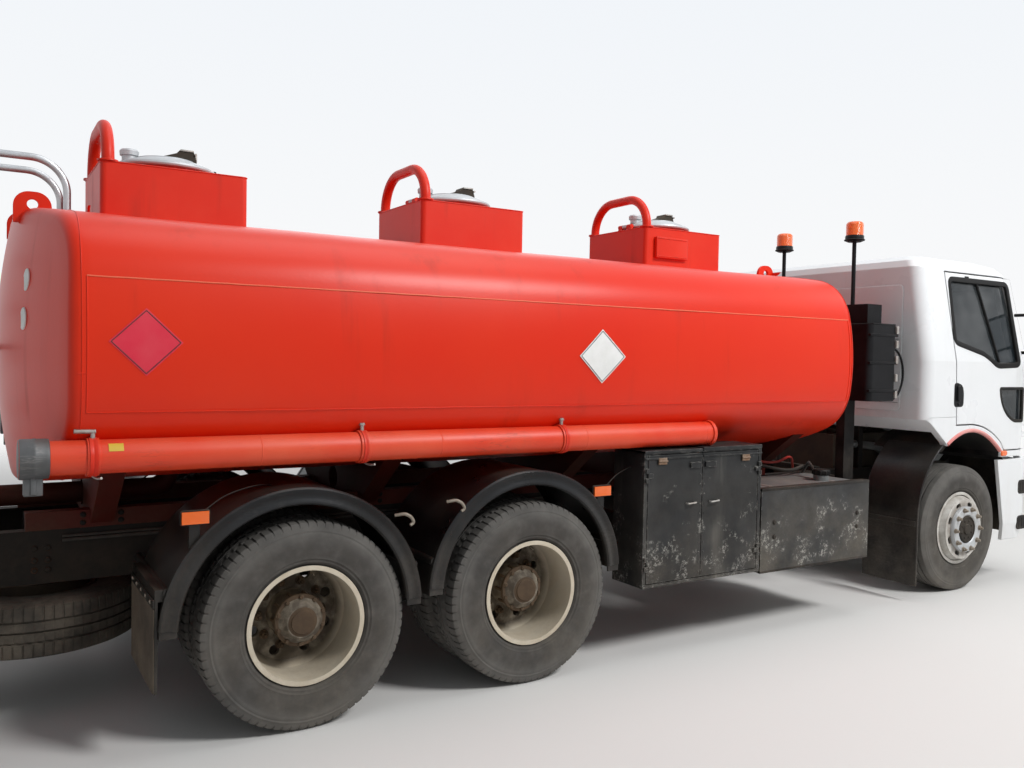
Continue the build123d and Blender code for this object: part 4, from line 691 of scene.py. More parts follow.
COATS = (
    Coat("tank_paint", srgb(222, 42, 8), 0.34, gloss=0.3, faded=srgb(230, 62, 22), fade_scale=0.55,
         fade_share=0.5, run_share=0.35, run_colour=srgb(140, 38, 18), dust_share=0.16, dust_top=1.9,
         dust_colour=srgb(190, 120, 90), skin_scale=60.0, skin_depth=0.0003),
    # Dark red of the saddles and outlet pipe: their red paint darkened as painted shade.
    Coat("saddle_red_shaded", srgb(76, 22, 14), 0.6, gloss=0.2, faded=srgb(46, 20, 16), fade_scale=3.0,
         fade_share=0.8, worn=srgb(110, 72, 48), wear_share=0.5, run_share=0.4, dust_share=0.9, dust_top=1.5,
         dust_colour=srgb(112, 92, 76)),
    Coat("hatch_paint", srgb(218, 42, 18), 0.4, gloss=0.3, faded=srgb(226, 62, 36), fade_scale=2.2,
         fade_share=0.55, worn=srgb(120, 40, 30), wear_share=0.5, run_share=0.5, run_colour=srgb(120, 40, 26),
         dust_share=0.3, dust_top=3.2, dust_colour=srgb(196, 140, 120)),
    Coat("tube_paint", srgb(222, 62, 34), 0.4, gloss=0.4, faded=srgb(232, 96, 64), fade_scale=1.6,
         fade_share=0.7, worn=srgb(130, 60, 44), scratch_share=0.35, run_share=0.3, dust_share=0.5,
         dust_top=1.6, dust_colour=srgb(186, 130, 106)),
    Coat("frame_paint", srgb(24, 23, 23), 0.6, gloss=0.15, faded=srgb(42, 39, 36), fade_scale=3.0,
         worn=srgb(110, 72, 48), wear_share=0.4, run_share=0.4, dust_share=0.8, dust_top=1.05,
         dust_colour=srgb(112, 98, 82)),
    Coat("locker_paint", srgb(32, 33, 34), 0.44, gloss=0.25, faded=srgb(56, 57, 58), fade_scale=4.5,
         fade_share=0.75, worn=srgb(150, 148, 142), wear_share=0.85, scuff_share=0.9, run_share=0.6,
         run_colour=srgb(112, 110, 104), dust_share=0.5, dust_top=1.25, dust_colour=srgb(140, 130, 116)),
    Coat("guard_paint", srgb(38, 39, 40), 0.48, gloss=0.25, faded=srgb(68, 69, 70), fade_scale=5.5,
         fade_share=0.85, worn=srgb(158, 156, 150), wear_share=0.9, scuff_share=1.0, run_share=0.4,
         run_colour=srgb(104, 98, 88), dust_share=0.8, dust_top=1.1, dust_colour=srgb(146, 136, 120)),
    Coat("mudguard_plastic", srgb(13, 14, 16), 0.26, gloss=0.3, faded=srgb(40, 41, 44), fade_scale=2.5,
         fade_share=0.6, worn=srgb(84, 82, 78), scratch_share=0.3, run_share=0.3, run_colour=srgb(84, 76, 66),
         dust_share=0.55, dust_top=1.15, dust_colour=srgb(138, 128, 114), skin_scale=500.0),
    Coat("flap_rubber", srgb(64, 58, 53), 0.8, gloss=0.15, faded=srgb(92, 82, 72), fade_scale=4.0,
         dust_share=1.0, dust_top=1.4, dust_colour=srgb(150, 136, 118), run_share=0.5),
    Coat("black_plastic", srgb(20, 20, 22), 0.45, gloss=0.14, faded=srgb(38, 38, 40), fade_scale=6.0,
         dust_share=0.5, dust_top=1.6, skin_scale=600.0, skin_depth=0.0003),
    Coat("cab_paint", srgb(232, 234, 236), 0.26, coat=0.3, gloss=0.4, faded=srgb(222, 224, 224),
         fade_scale=1.1, fade_share=0.5, run_share=0.16, run_colour=srgb(150, 140, 126), dust_share=0.3,
         dust_top=1.5, dust_colour=srgb(196, 184, 166), skin_scale=90.0, skin_depth=0.00012, round_edge=0.01),
    Coat("cab_inside", srgb(44, 45, 49), 0.8, gloss=0.2, faded=srgb(60, 60, 64), fade_scale=5.0,
         skin_depth=0.00004),
    Coat("lid_metal", srgb(196, 200, 203), 0.42, metallic=0.35, faded=srgb(168, 170, 172), fade_scale=7.0,
         worn=srgb(226, 228, 230), scratch_share=0.4, run_share=0.25, dust_share=0.35, dust_top=3.6,
         dust_colour=srgb(170, 160, 146)),
    Coat("ladder_steel", srgb(186, 188, 190), 0.34, metallic=0.85, faded=srgb(150, 150, 150), fade_scale=9.0,
         worn=srgb(216, 216, 216), scratch_share=0.4, dust_share=0.3, dust_top=1.8),
    Coat("tube_cap_metal", srgb(96, 98, 100), 0.5, metallic=0.4, faded=srgb(66, 66, 66), fade_scale=9.0,
         worn=srgb(150, 148, 144), scratch_share=0.5, dust_share=0.5, dust_top=1.9),
    Coat("strap_steel", srgb(172, 170, 166), 0.45, metallic=0.6, faded=srgb(120, 100, 84), fade_scale=14.0,
         dust_share=0.4, dust_top=2.0),
    Coat("chassis_casting", srgb(58, 54, 50), 0.75, gloss=0.2, faded=srgb(84, 74, 62), fade_scale=5.0,
         worn=srgb(118, 76, 48), wear_share=0.5, dust_share=1.0, dust_top=1.3, dust_colour=srgb(120, 104, 86),
         skin_scale=160.0, skin_depth=0.0008),
    Coat("fuel_grey", srgb(120, 122, 122), 0.5, gloss=0.3, metallic=0.3, faded=srgb(92, 92, 92),
         fade_scale=4.0, worn=srgb(150, 150, 148), scratch_share=0.5, dust_share=0.8, dust_top=1.3),
    Coat("seat_cloth", srgb(58, 60, 68), 0.95, faded=srgb(78, 80, 88), fade_scale=40.0, skin_scale=400.0,
         skin_depth=0.0005),
    Coat("dash_plastic", srgb(52, 52, 55), 0.62, faded=srgb(66, 66, 68), fade_scale=20.0, skin_scale=700.0,
         skin_depth=0.0004),
    Coat("seal_rubber", srgb(26, 26, 27), 0.7, gloss=0.2, faded=srgb(44, 43, 42), fade_scale=10.0,
         dust_share=0.3, dust_top=2.0),
    Coat("nut_steel", srgb(150, 142, 130), 0.5, metallic=0.5, faded=srgb(96, 80, 64), fade_scale=30.0,
         dust_share=0.6, dust_top=1.2, dust_colour=srgb(120, 104, 86)),
    # Pinkish strip along the cab's wheel arches.
    Coat("arch_lip_pink", srgb(214, 118, 112), 0.4, gloss=0.3, faded=srgb(226, 176, 170), fade_scale=5.0,
         dust_share=0.3, dust_top=1.4),
    # Lighter red of the upper weld seam: a painted highlight where the bead catches the light.
    Coat("seam_highlight_paint", srgb(236, 104, 70), 0.4, faded=srgb(238, 130, 98), fade_scale=3.0, dust_share=0.2,
         dust_top=2.4),
    Coat("placard_red", srgb(222, 50, 72), 0.5, gloss=0.3, faded=srgb(228, 84, 92), fade_scale=8.0,
         fade_share=0.5),
    Coat("placard_white", srgb(240, 240, 238), 0.5, faded=srgb(214, 214, 210), fade_scale=8.0,
         fade_share=0.6),
    Coat("placard_line", srgb(52, 34, 34), 0.6, faded=srgb(90, 60, 56), fade_scale=20.0),
    Coat("bare_tag", srgb(218, 186, 60), 0.5, faded=srgb(196, 168, 70), fade_scale=20.0),
    Coat("mirror_face", srgb(210, 214, 218), 0.04, metallic=1.0, faded=srgb(190, 194, 198), fade_scale=6.0,
         fade_share=0.2),
    Coat("lamp_reflector", srgb(224, 226, 228), 0.14, metallic=0.9, faded=srgb(200, 202, 204),
         fade_scale=20.0),
    Coat("air_hose", srgb(30, 30, 32), 0.55, gloss=0.3, faded=srgb(52, 50, 47), fade_scale=16.0,
         dust_share=0.8, dust_top=1.4),
    Coat("hub_dirt", srgb(74, 62, 52), 0.8, gloss=0.2, faded=srgb(98, 82, 66), fade_scale=16.0,
         worn=srgb(150, 134, 112), wear_share=0.5, dust_share=0.4, dust_top=1.2,
         dust_colour=srgb(120, 100, 78), skin_scale=260.0, skin_depth=0.0006),
    Coat("spare_rubber", srgb(46, 45, 44), 0.88, gloss=0.2, faded=srgb(88, 84, 78), fade_scale=5.0,
         dust_share=0.9, dust_top=1.3, skin_scale=350.0, skin_depth=0.0006),
    Coat("rusty_steel", srgb(132, 112, 94), 0.7, metallic=0.3, faded=srgb(104, 70, 46), fade_scale=26.0,
         fade_share=0.8, worn=srgb(168, 158, 146), scratch_share=0.4, dust_share=0.3, dust_top=1.6),
    Coat("red_hose", srgb(168, 34, 26), 0.5, faded=srgb(130, 40, 32), fade_scale=16.0, dust_share=0.6,
         dust_top=1.4),
)

CLEARS = (
    Clear("cab_glass", srgb(30, 38, 42), 0.66),
    Clear("amber_lens", srgb(240, 104, 20), 0.94, 0.16, 0.08, ribs=60.0),
    Clear("red_lens", srgb(190, 16, 18), 0.92, 0.14, 0.05, ribs=70.0),
    Clear("lamp_glass", srgb(226, 232, 236), 0.22, 0.02),
)


class Paintbox:
    """Builds each finish the first time that it is asked for."""

    def __init__(self) -> None:
        self.effects = Effects()
        self.recipes = {finish.name: finish for finish in (*COATS, *CLEARS)}
        self.ready: dict[str, bpy.types.Material] = {}

    def get(self, name: str) -> bpy.types.Material:
        """The material of a named finish."""
        return self.once(self.recipes[name])

    def once(self, finish: Coat | Clear) -> bpy.types.Material:
        """The material of a finish, built once."""
        if finish.name not in self.ready:
            self.ready[finish.name] = finish.made(self.effects)
        return self.ready[finish.name]

    def wheel(self, name: str, axle_at: Point) -> bpy.types.Material:
        """A wheel's own version of a finish, with a darker ring round its axle: dirt, and painted shade in
        the rims' dish.
        """
        tag = f"{name}_{'_'.join(f'{round(c * 100):d}' for c in axle_at)}"
        if name == "rim":
            # The rim's dish darkened nearly to black: painted shade, with some dirt.
            return self.once(Coat(tag, srgb(218, 208, 188), 0.5, gloss=0.3, faded=srgb(182, 166, 140),
                                  fade_scale=9.0, fade_share=0.6, dust_share=0.5, dust_top=1.1,
                                  axle_at=axle_at, ring=(0.252, 0.292), ring_colour=srgb(46, 37, 30),
                                  ring_share=0.94))
        if name == "front_rim":
            # The front disc darkened inside the nut ring: dirt, and painted shade.
            return self.once(Coat(tag, srgb(214, 212, 206), 0.4, faded=srgb(150, 142, 132), fade_scale=14.0,
                                  fade_share=0.8, dust_share=0.4, dust_top=1.0, axle_at=axle_at,
                                  ring=(0.2, 0.262), ring_colour=srgb(104, 92, 82), ring_share=0.6))
        return self.once(Coat(tag, srgb(104, 102, 99), 0.86, gloss=0.2, faded=srgb(72, 71, 70),
                              fade_scale=7.0, fade_share=0.7, dust_share=0.5, dust_top=1.25,
                              dust_colour=srgb(128, 120, 108), axle_at=axle_at, ring=(0.4, 0.475),
                              ring_colour=srgb(66, 64, 62), ring_share=0.75, skin_scale=350.0,
                              skin_depth=0.0006))


@dataclass
class Tyre:
    """Road tyre on an axle along Y, with grooves and blocks pressed into its tread."""

    centre: Point
    outer: float = 0.5205
    bead: float = 0.2865
    flange: float = 0.3005
    widest: float = 0.147
    seat_half: float = 0.1125
    shoulder: float = 0.132
    shoulder_radius: float = 0.498
    pitches: int = 72
    groove: float = 0.013
    blocks: bool = True
    grooves: Values = (-0.052, 0.0, 0.052)
    groove_half: float = 0.0055
    wall_steps: int = 24

    def sidewall(self) -> Array:
        """Rows of (radius, half width) from flange to shoulder.

        The wall swells as a quarter sine up to the widest place, half way out, and then falls off with the
        square of the distance. Four low ridges are bell curves on it.
        """
        middle = (self.flange + self.shoulder_radius) / 2
        radius = np.linspace(self.flange, self.shoulder_radius, self.wall_steps)
        low = self.seat_half + (self.widest - self.seat_half) * np.sin(
            0.5 * math.pi * np.clip((radius - self.flange) / (middle - self.flange), 0, 1) ** 0.6)
        high = self.widest - (self.widest - self.shoulder) * ((radius - middle) / (radius[-1] - middle)) ** 2
        half = np.where(radius < middle, low, high)
        ridges = sum(np.exp(-(((radius - c) / 0.0045) ** 2)) for c in (0.318, 0.336, 0.452, 0.474))
        return np.stack([radius, np.minimum(half + 0.0034 * ridges - 0.0018, self.widest + 0.0004)], axis=1)

    def tread(self) -> tuple[Array, Array]:
        """Places across the tread, and 1 where a ring groove lies there.

        Each groove has two places at each of its walls, so that its sides are steep.
        """
        wall = 0.0008
        g = self.groove_half
        edges = [c + d for c in self.grooves for d in (-g - wall, -g + wall, g - wall, g + wall)]
        places = np.array(sorted([-0.122, -0.112, -0.088, -0.07, 0.07, 0.088, 0.112, 0.122] + edges))
        inside = np.zeros(len(places))
        for c in self.grooves:
            inside = np.maximum(inside, (np.abs(places - c) < g).astype(float))
        return places, inside

    def surface(self) -> Array:
        """Grid of points: rows go round the axle, columns round the section.

        The crown's radius falls with the square of the distance from the middle, and steeply at the
        shoulders. Blocks: within each pitch the last quarter is a cross groove, shifted by half a pitch
        between the rings.
        """
        share = np.array([0.0, 0.38, 0.76, 0.79, 0.97])
        turn = (np.arange(self.pitches)[:, None] + share).ravel() / self.pitches * TAU
        cross = np.tile(np.array([0.0, 0.0, 0.0, 1.0, 1.0]), self.pitches)
        shifted = np.roll(cross, 3)
        wall = self.sidewall()
        places, ring = self.tread()
        crown = self.outer - 0.004 * (places / 0.11) ** 2 - 0.25 * np.clip(np.abs(places) - 0.108, 0, 1)
        depth = np.broadcast_to(ring, (len(turn), len(places))).copy()
        if self.blocks:
            outer_band = np.abs(places) > 0.057
            inner_band = (np.abs(places) > 0.007) & ~outer_band
            depth = np.maximum(depth, 0.42 * cross[:, None] * outer_band)
            depth = np.maximum(depth, 0.6 * shifted[:, None] * inner_band)
        tread_r = crown - self.groove * depth
        side_r = np.broadcast_to(wall[:, 0], (len(turn), len(wall)))
        notch = np.clip((wall[:, 0] - 0.492) / 0.008, 0, 1) * (0.004 if self.blocks else 0.0)
        side_s = wall[:, 1] - cross[:, None] * notch
        base_s = np.array([self.seat_half, -self.seat_half])
        radius = np.concatenate([
            side_r, tread_r[:, ::-1], side_r[:, ::-1], np.full((len(turn), 2), self.bead)], axis=1)
        across = np.concatenate([
            side_s, np.broadcast_to(places[::-1], (len(turn), len(places))), -side_s[:, ::-1],
            np.broadcast_to(-base_s, (len(turn), 2))], axis=1)
        return points(radius * np.sin(turn)[:, None], across, radius * np.cos(turn)[:, None])

    def add_to(self, sketch: Sketch, upright: bool = True) -> None:
        """Put the tyre into a sketch, standing, or lying flat with its axle along Z."""
        rows = self.surface()
        if not upright:
            rows = rows[..., [0, 2, 1]]
        sketch.grid(rows + np.asarray(self.centre), wrap_u=True, wrap_v=True)


@dataclass
class Wheels:
    """Tyres, nuts and hub covers of the six wheel bodies and the spare."""

    front_y: float = 1.043
    twin_y: float = 0.925
    twin_half: float = 0.17
    front_grooves: Values = (-0.075, -0.026, 0.026, 0.075)
    spare: Point = (-3.695, 0.0, 0.462)
    stud_ring: float = 0.1675
    studs: int = 10
    disc_half: float = 0.014
    hub_end: float = 0.19
    ring_height: float = 0.0345

    def stud_places(self, x: float, y: float, ring: float, count: int, turn: float = 0.0) -> Array:
        """Places of bolts on a circle round an axle: x + r cos a, y, z + r sin a."""
        a = turns(count, turn * TAU / count)
        return points(x + ring * np.cos(a), y, AXLE_Z + ring * np.sin(a))

    def nuts(self, sign: int, x: float, y: float, radius: float, height: float, washer: float,
             stud: float) -> Sketch:
        """Wheel nuts on their washers, each with a stud's end that starts 2 mm below its top.

        Args:
            sign: the side's sign on Y, in which they stand up.
            x: the axle's place.
            y: face that carries them.
            radius: of a nut, over its corners.
            height: of a nut.
            washer: its thickness.
            stud: length of the stud's end.

        Returns:
            The sketch that holds them.
        """
        made = Sketch().hexes(self.stud_places(x, y, self.stud_ring, self.studs), (0, sign, 0), radius,
                              height, washer)
        for place in self.stud_places(x, y + sign * (height - 0.002), self.stud_ring, self.studs):
            made.turned([[0, 0], [0.0105, 0], [0.0105, stud - 0.004], [0.008, stud], [0, stud]], place,
                        (0, sign, 0), 12)
        return made

    def tyres(self, paint: Paintbox) -> None:
        """Make the tyres: ribbed in front, blocked on the drive axles."""
        for side in Side:
            sign = side.value
            for axle, x in AXLES.items():
                sketch = Sketch()
                if axle == "front":
                    Tyre((x, sign * self.front_y, AXLE_Z), blocks=False,
                         grooves=self.front_grooves).add_to(sketch)
                else:
                    for offset in (-self.twin_half, self.twin_half):
                        Tyre((x, sign * (self.twin_y + offset), AXLE_Z)).add_to(sketch)
                finish = paint.wheel("tyre", (x, 0.0, AXLE_Z))
                sketch.made(f"{axle}_tyre_{side.word}", finish, f"wheel_{axle}_{side.word}", "tyre", 28.0,
                            [f"tyre_{axle}_{side.word}"])
        sketch = Sketch()
        Tyre(self.spare).add_to(sketch, upright=False)
        sketch.made("spare_tyre", paint.get("spare_rubber"), "chassis", "tyre", 28.0, ["tyre_spare"])

    def rims(self, paint: Paintbox, nodes: dict[str, bpy.types.Object]) -> None:
        """Dress the frame's rims, and add nuts, hub flanges and valves."""
        for side in Side:
            for axle, x in AXLES.items():
                kind = "front_rim" if axle == "front" else "rim"
                dress(nodes[f"rim_{axle}_{side.word}"], paint.wheel(kind, (x, 0.0, AXLE_Z)))
                if axle == "front":
                    self.front_hub(side, x, paint)
                else:
                    self.twin_hub(side, axle, x, paint)
        dress(nodes["rim_spare"], paint.get("chassis_casting"))

    def front_hub(self, side: Side, x: float, paint: Paintbox) -> None:
        """Ten nuts with washers on the disc, and the hub's cover with its bolts."""
        sign, body = side.value, f"wheel_front_{side.word}"
        face = sign * (self.front_y + 0.17)
        ring = Sketch()
        profile = [[0.11, 0.002], [0.188, 0.002], [0.187, 0.026], [0.182, 0.034], [0.128, 0.036],
                   [0.121, 0.034], [0.114, 0.026], [0.11, 0.02]]
        ring.turned(profile, (x, face, AXLE_Z), (0, sign, 0), 64, wrap=True)
        ring.made(f"front_nut_ring_{side.word}", paint.get("lid_metal"), body, "rim_cream")
        face += sign * self.ring_height
        nuts = self.nuts(sign, x, face, 0.0165, 0.02, 0.004, 0.016)
        nuts.made(f"front_nuts_{side.word}", paint.get("nut_steel"), body, "rim_cream")
        cover = Sketch()
        profile = [[0.112, -0.01], [0.108, 0.0], [0.1, 0.003], [0.096, -0.005], [0.06, -0.007],
                   [0.046, -0.007], [0.04, 0.004], [0.03, 0.006], [0.0, 0.006]]
        cover.turned(profile, (x, face, AXLE_Z), (0, sign, 0), 48)
        cover.hexes(self.stud_places(x, face - sign * 0.007, 0.072, 8, 0.5), (0, sign, 0), 0.008, 0.007,
                    0.002)
        cover.made(f"front_hub_cover_{side.word}", paint.get("seal_rubber"), body, "cast")

    def twin_hub(self, side: Side, axle: str, x: float, paint: Paintbox) -> None:
        """Ten nuts on the outer disc, and the hub's end flange with its bolts and drive cover."""
        sign, body = side.value, f"wheel_{axle}_{side.word}"
        disc = sign * (self.twin_y + self.disc_half)
        nuts = self.nuts(sign, x, disc, 0.019, 0.032, 0.005, 0.022)
        nuts.made(f"{axle}_nuts_{side.word}", paint.get("hub_dirt"), body, "rim_cream")
        end = sign * (self.twin_y + self.hub_end)
        cover = Sketch()
        profile = [[0.113, -0.024], [0.131, -0.022], [0.133, -0.006], [0.129, 0.0], [0.106, 0.002],
                   [0.098, 0.012], [0.078, 0.034], [0.062, 0.038], [0.058, 0.044], [0.03, 0.046],
                   [0, 0.046]]
        cover.turned(profile, (x, end, AXLE_Z), (0, sign, 0), 48)
        cover.hexes(self.stud_places(x, end, 0.118, self.studs, 0.5), (0, sign, 0), 0.011, 0.012, 0.002)
        ribs = self.stud_places(x, end - sign * 0.06, 0.118, self.studs)
        for rib in ribs:
            out = unit(rib - np.array([x, rib[1], AXLE_Z]))
            cover.prism(rounded_rectangle(0.014, 0.07, 0.004), rib - out * 0.004, out, 0.016, 0.002,
                        np.cross(np.array([0, 1.0, 0]), out))
        cover.made(f"{axle}_hub_{side.word}", paint.get("hub_dirt"), body, "cast")
        valve = Sketch()
        start = np.array([x + 0.06, sign * (self.twin_y + 0.05), AXLE_Z + 0.255])
        reach = np.array([0.0, sign * 0.16, -0.03])
        valve.tube(start + reach * np.linspace(0, 1, 6)[:, None], 0.004, 8)
        valve.made(f"{axle}_valve_{side.word}", paint.get("nut_steel"), body, "rim_cream")


@dataclass
class TankShell:
    """The tank body, of a section between oval and box with dished heads, its weld beads and signs."""

    rear: float = -3.63
    front: float = 1.495
    centre_z: float = 1.8695
    half_width: float = 1.25
    half_height: float = 0.7035
    flank_r: float = 1.6
    corner_r: float = 0.36
    crown_r: float = 5.1
    keel_r: float = 2.6
    bulges: tuple[float, float] = (0.25, 0.16)
    knuckle: float = 0.06
    dent: float = 0.0016
    seam_z: tuple[float, float] = (1.59, 2.18)
    seam_x: tuple[float, float] = (-3.575, 1.435)
    diamonds: tuple[tuple[str, float, float, float, float], ...] = (
        ("red", -3.338, 1.9, 0.155, 0.15), ("white", -0.813, 1.88, 0.17, 0.16))

    def __post_init__(self) -> None:
        """Place the flanks' and the crown's centres, and the corner arcs above and below the middle."""
        self.flank_y = self.half_width - self.flank_r
        self.crown_z = self.half_height - self.crown_r
        self.upper = self.corner_arc(self.crown_r)
        self.lower = self.corner_arc(self.keel_r)

    def corner_arc(self, crown_r: float) -> Values:
        """Corner between flank and crown: the crossing of circles round their centres.

        Args:
            crown_r: radius of the crown, or of the keel.

        Returns:
            The corner's centre y and z from the middle, and in degrees where it meets flank and crown.
        """
        crown_z = self.half_height - crown_r
        to_flank, to_crown = self.flank_r - self.corner_r, crown_r - self.corner_r
        span = math.hypot(self.flank_y, crown_z)
        along = (to_flank**2 - to_crown**2 + span**2) / (2 * span)
        aside = math.sqrt(to_flank**2 - along**2)
        y, z = -self.flank_y / span, crown_z / span
        corner_y, corner_z = self.flank_y + y * along - z * aside, z * along + y * aside
        return (corner_y, corner_z, math.degrees(math.atan2(corner_z, corner_y - self.flank_y)),
                math.degrees(math.atan2(corner_z - crown_z, corner_y)))

    def dish_r(self, bulge: float) -> float:
        """Radius of a head's sphere, from its height over the body's half width."""
        return (self.half_width**2 + bulge**2) / (2 * bulge)

    def flank(self, z: Array | float) -> Array:
        """Half width at a height: the flank's arc near the middle, a corner's arc above and below it."""
        rise = np.asarray(z) - self.centre_z
        width = self.flank_y + np.sqrt(self.flank_r**2 - rise**2)
        for sign, (corner_y, corner_z, low, _) in ((1, self.upper), (-1, self.lower)):
            away = sign * rise
            bend = corner_y + np.sqrt(np.maximum(self.corner_r**2 - (away - corner_z) ** 2, 0.0))
            width = np.where(away > self.flank_r * math.sin(math.radians(low)), bend, width)
        return width

    def section(self) -> tuple[Array, Array]:
        """Points (y, z about the centre) round the section, and their outward normals."""
        (uy, uz, u_low, u_high), (dy, dz, d_low, d_high) = self.upper, self.lower
        flank, r = self.flank_r, self.corner_r
        arcs = (((self.flank_y, 0.0), flank, -d_low, u_low, 12), ((uy, uz), r, u_low, u_high, 14),
                ((0.0, self.crown_z), self.crown_r, u_high, 180 - u_high, 22),
                ((-uy, uz), r, 180 - u_high, 180 - u_low, 14),
                ((-self.flank_y, 0.0), flank, 180 - u_low, 180 + d_low, 12),
                ((-dy, -dz), r, 180 + d_low, 180 + d_high, 14),
                ((0.0, self.keel_r - self.half_height), self.keel_r, 180 + d_high, 360 - d_high, 22),
                ((dy, -dz), r, 360 - d_high, 360 - d_low, 14))
        pieces, normals = [], []
        for centre, radius, start, end, count in arcs:
            rows = arc(centre, radius, start, end, count)[:-1]
            pieces.append(rows)
            normals.append(unit(rows - np.asarray(centre)))
        return np.concatenate(pieces), np.concatenate(normals)

    def surface(self) -> Array:
        """Grid of the whole body: rows from the rear pole to the front pole, columns round the oval.

        Barrel: the oval at each x, pressed in by two crossed sine waves of about a millimetre, as rolled
        sheet is. Knuckle: the oval drawn in by r (1 - cos a) and moved out by r sin a. Head: the drawn-in
        oval times k, on a sphere of the dish radius, k falling to zero at the pole.
        """
        ring, normal = self.section()
        barrel_x = np.linspace(self.rear, self.front, 140)[:, None]
        turn = np.arctan2(ring[:, 1], ring[:, 0])[None, :]
        wave = np.sin(barrel_x * 5.1 + 2 * turn) * np.sin(barrel_x * 1.7 - 3 * turn + 1.0)
        ends = np.clip(np.minimum(barrel_x - self.rear, self.front - barrel_x) / 0.3, 0, 1)
        inward = self.dent * (1 + wave) * ends

        middle = self.centre_z
        barrel = points(barrel_x, ring[:, 0] - normal[:, 0] * inward,
                        ring[:, 1] - normal[:, 1] * inward + middle)
        heads = []
        for edge, sign, bulge in ((self.rear, -1, self.bulges[0]), (self.front, 1, self.bulges[1])):
            dish_r = self.dish_r(bulge)
            drawn = ring - normal * self.knuckle
            distance = np.hypot(drawn[:, 0], drawn[:, 1])
            tip = edge + sign * bulge
            dish = dish_r - np.sqrt(dish_r**2 - distance**2)
            start = tip - sign * (dish + self.knuckle * 1.01)
            slope = np.arcsin(distance / dish_r)
            angle = np.linspace(0, 1, 7)[1:, None] * (math.pi / 2 - slope)
            lean = ring - normal * self.knuckle * (1 - np.cos(angle))[..., None]
            bend = points(start + sign * self.knuckle * np.sin(angle), lean[..., 0], lean[..., 1] + middle)
            flat = lean[-1] * np.linspace(1, 0, 16)[1:, None, None]
            away = np.hypot(flat[..., 0], flat[..., 1])
            cap_x = tip - sign * (dish_r - np.sqrt(dish_r**2 - away**2))
            cap = points(cap_x, flat[..., 0], flat[..., 1] + middle)
            heads.append((np.concatenate([bend, cap]), start))
        rear, front = heads[0][0][::-1], heads[1][0]
        low = np.maximum(self.rear, heads[0][1] + 0.002)
        high = np.minimum(self.front, heads[1][1] - 0.002)
        squeezed = (barrel_x - self.rear) / (self.front - self.rear)
        barrel[..., 0] = low + (high - low) * squeezed
        return np.concatenate([rear, barrel, front])

    def beads(self, sketch: Sketch, pale: Sketch) -> None:
        """Raised weld beads: long seams on both flanks, their upright ends, and rings near the heads.

        Args:
            sketch: where they go.
            pale: where the upper seam goes, drawn in a lighter red as a painted highlight of the light on the
                bead.
        """
        for sign in (1, -1):
            for z, to in zip(self.seam_z, (sketch, pale)):
                x = np.linspace(*self.seam_x, 60)
                to.tube(points(x, sign * self.flank(z), z + 0.0006 * np.sin(x * 31)), 0.0036, 6)
            for x in self.seam_x:
                z = np.linspace(*self.seam_z, 20)
                sketch.tube(points(x, sign * self.flank(z), z), 0.0032, 6)
            joint = np.linspace(self.rear + 0.02, self.seam_x[0], 8)
            low = self.seam_z[0] + 0.17
            sketch.tube(points(joint, sign * self.flank(low), low), 0.003, 6)
        ring, _ = self.section()
        for x in (self.rear + 0.035, self.front - 0.035):
            sketch.tube(points(x, ring[:, 0], ring[:, 1] + self.centre_z), 0.0026, 6, closed=True)

    def plate_on_flank(self, sketch: Sketch, side: Side, x: float, z: float, corners: Array, lift: float,
                       thick: float = 0.0012) -> None:
        """Thin plate that follows the flank: its outline filled from its centre, both faces and the rim.

        Args:
            sketch: where it goes.
            side: flank.
            x: centre.
            z: centre.
            corners: outline as rows of (along x, along z), anticlockwise.
            lift: height of its back above the flank.
            thick: thickness.
        """
        flat = split(corners) * np.array([1.0, 1.0, 0.66, 0.33, 0.0])[:, None, None]
        px, pz = x + flat[..., 0], z + flat[..., 1]
        rows = []
        for height, order in ((lift, slice(None, 0, -1)), (lift + thick, slice(1, None))):
            y = side.value * (self.flank(pz) + height)
            rows.append(points(px, y, pz)[order])
        sketch.grid(np.concatenate(rows), wrap_v=True)

    def signs(self, paint: Paintbox) -> None:
        """Blank diamond signs with their borders, two on each flank."""
        for name, x, z, a, b in self.diamonds:
            plain = np.array([[a, 0], [0, b], [-a, 0], [0, -b]])
            face, line = Sketch(), Sketch()
            for side in Side:
                self.plate_on_flank(face, side, x, z, plain, SKIN)
                for corner, following in zip(plain, np.roll(plain, -1, 0)):
                    t = np.linspace(0.0, 1.0, 9)[:, None]
                    run = 0.93 * (corner + (following - corner) * t)
                    y = side.value * (self.flank(z + run[:, 1]) + SKIN + 0.0012)
                    line.tube(points(x + run[:, 0], y, z + run[:, 1]), 0.0022, 6)
            face.made(f"blank_sign_{name}", paint.get(f"placard_{name}"), "chassis", "tank_red")
            line.made(f"sign_border_{name}", paint.get("placard_line"), "chassis", "tank_red")

    def build(self, paint: Paintbox) -> None:
        """Make the tank and everything fixed on its skin."""
        body = Sketch()
        body.grid(self.surface(), wrap_v=True)
        body.made("tank_body", paint.get("tank_paint"), "chassis", "tank_red", 50.0, ["tank"])
        beads, pale = Sketch(), Sketch()
        self.beads(beads, pale)
        beads.made("tank_weld_beads", paint.get("tank_paint"), "chassis", "tank_red")
        # The upper seam takes the lighter red: a painted highlight.
        pale.made("upper_seam_highlight", paint.get("seam_highlight_paint"), "chassis", "tank_red")
        self.signs(paint)


def dress(node: bpy.types.Object, finish: bpy.types.Material) -> None:
    """Give a frame node its finish in every material slot."""
    node.data.materials.clear()
    node.data.materials.append(finish)


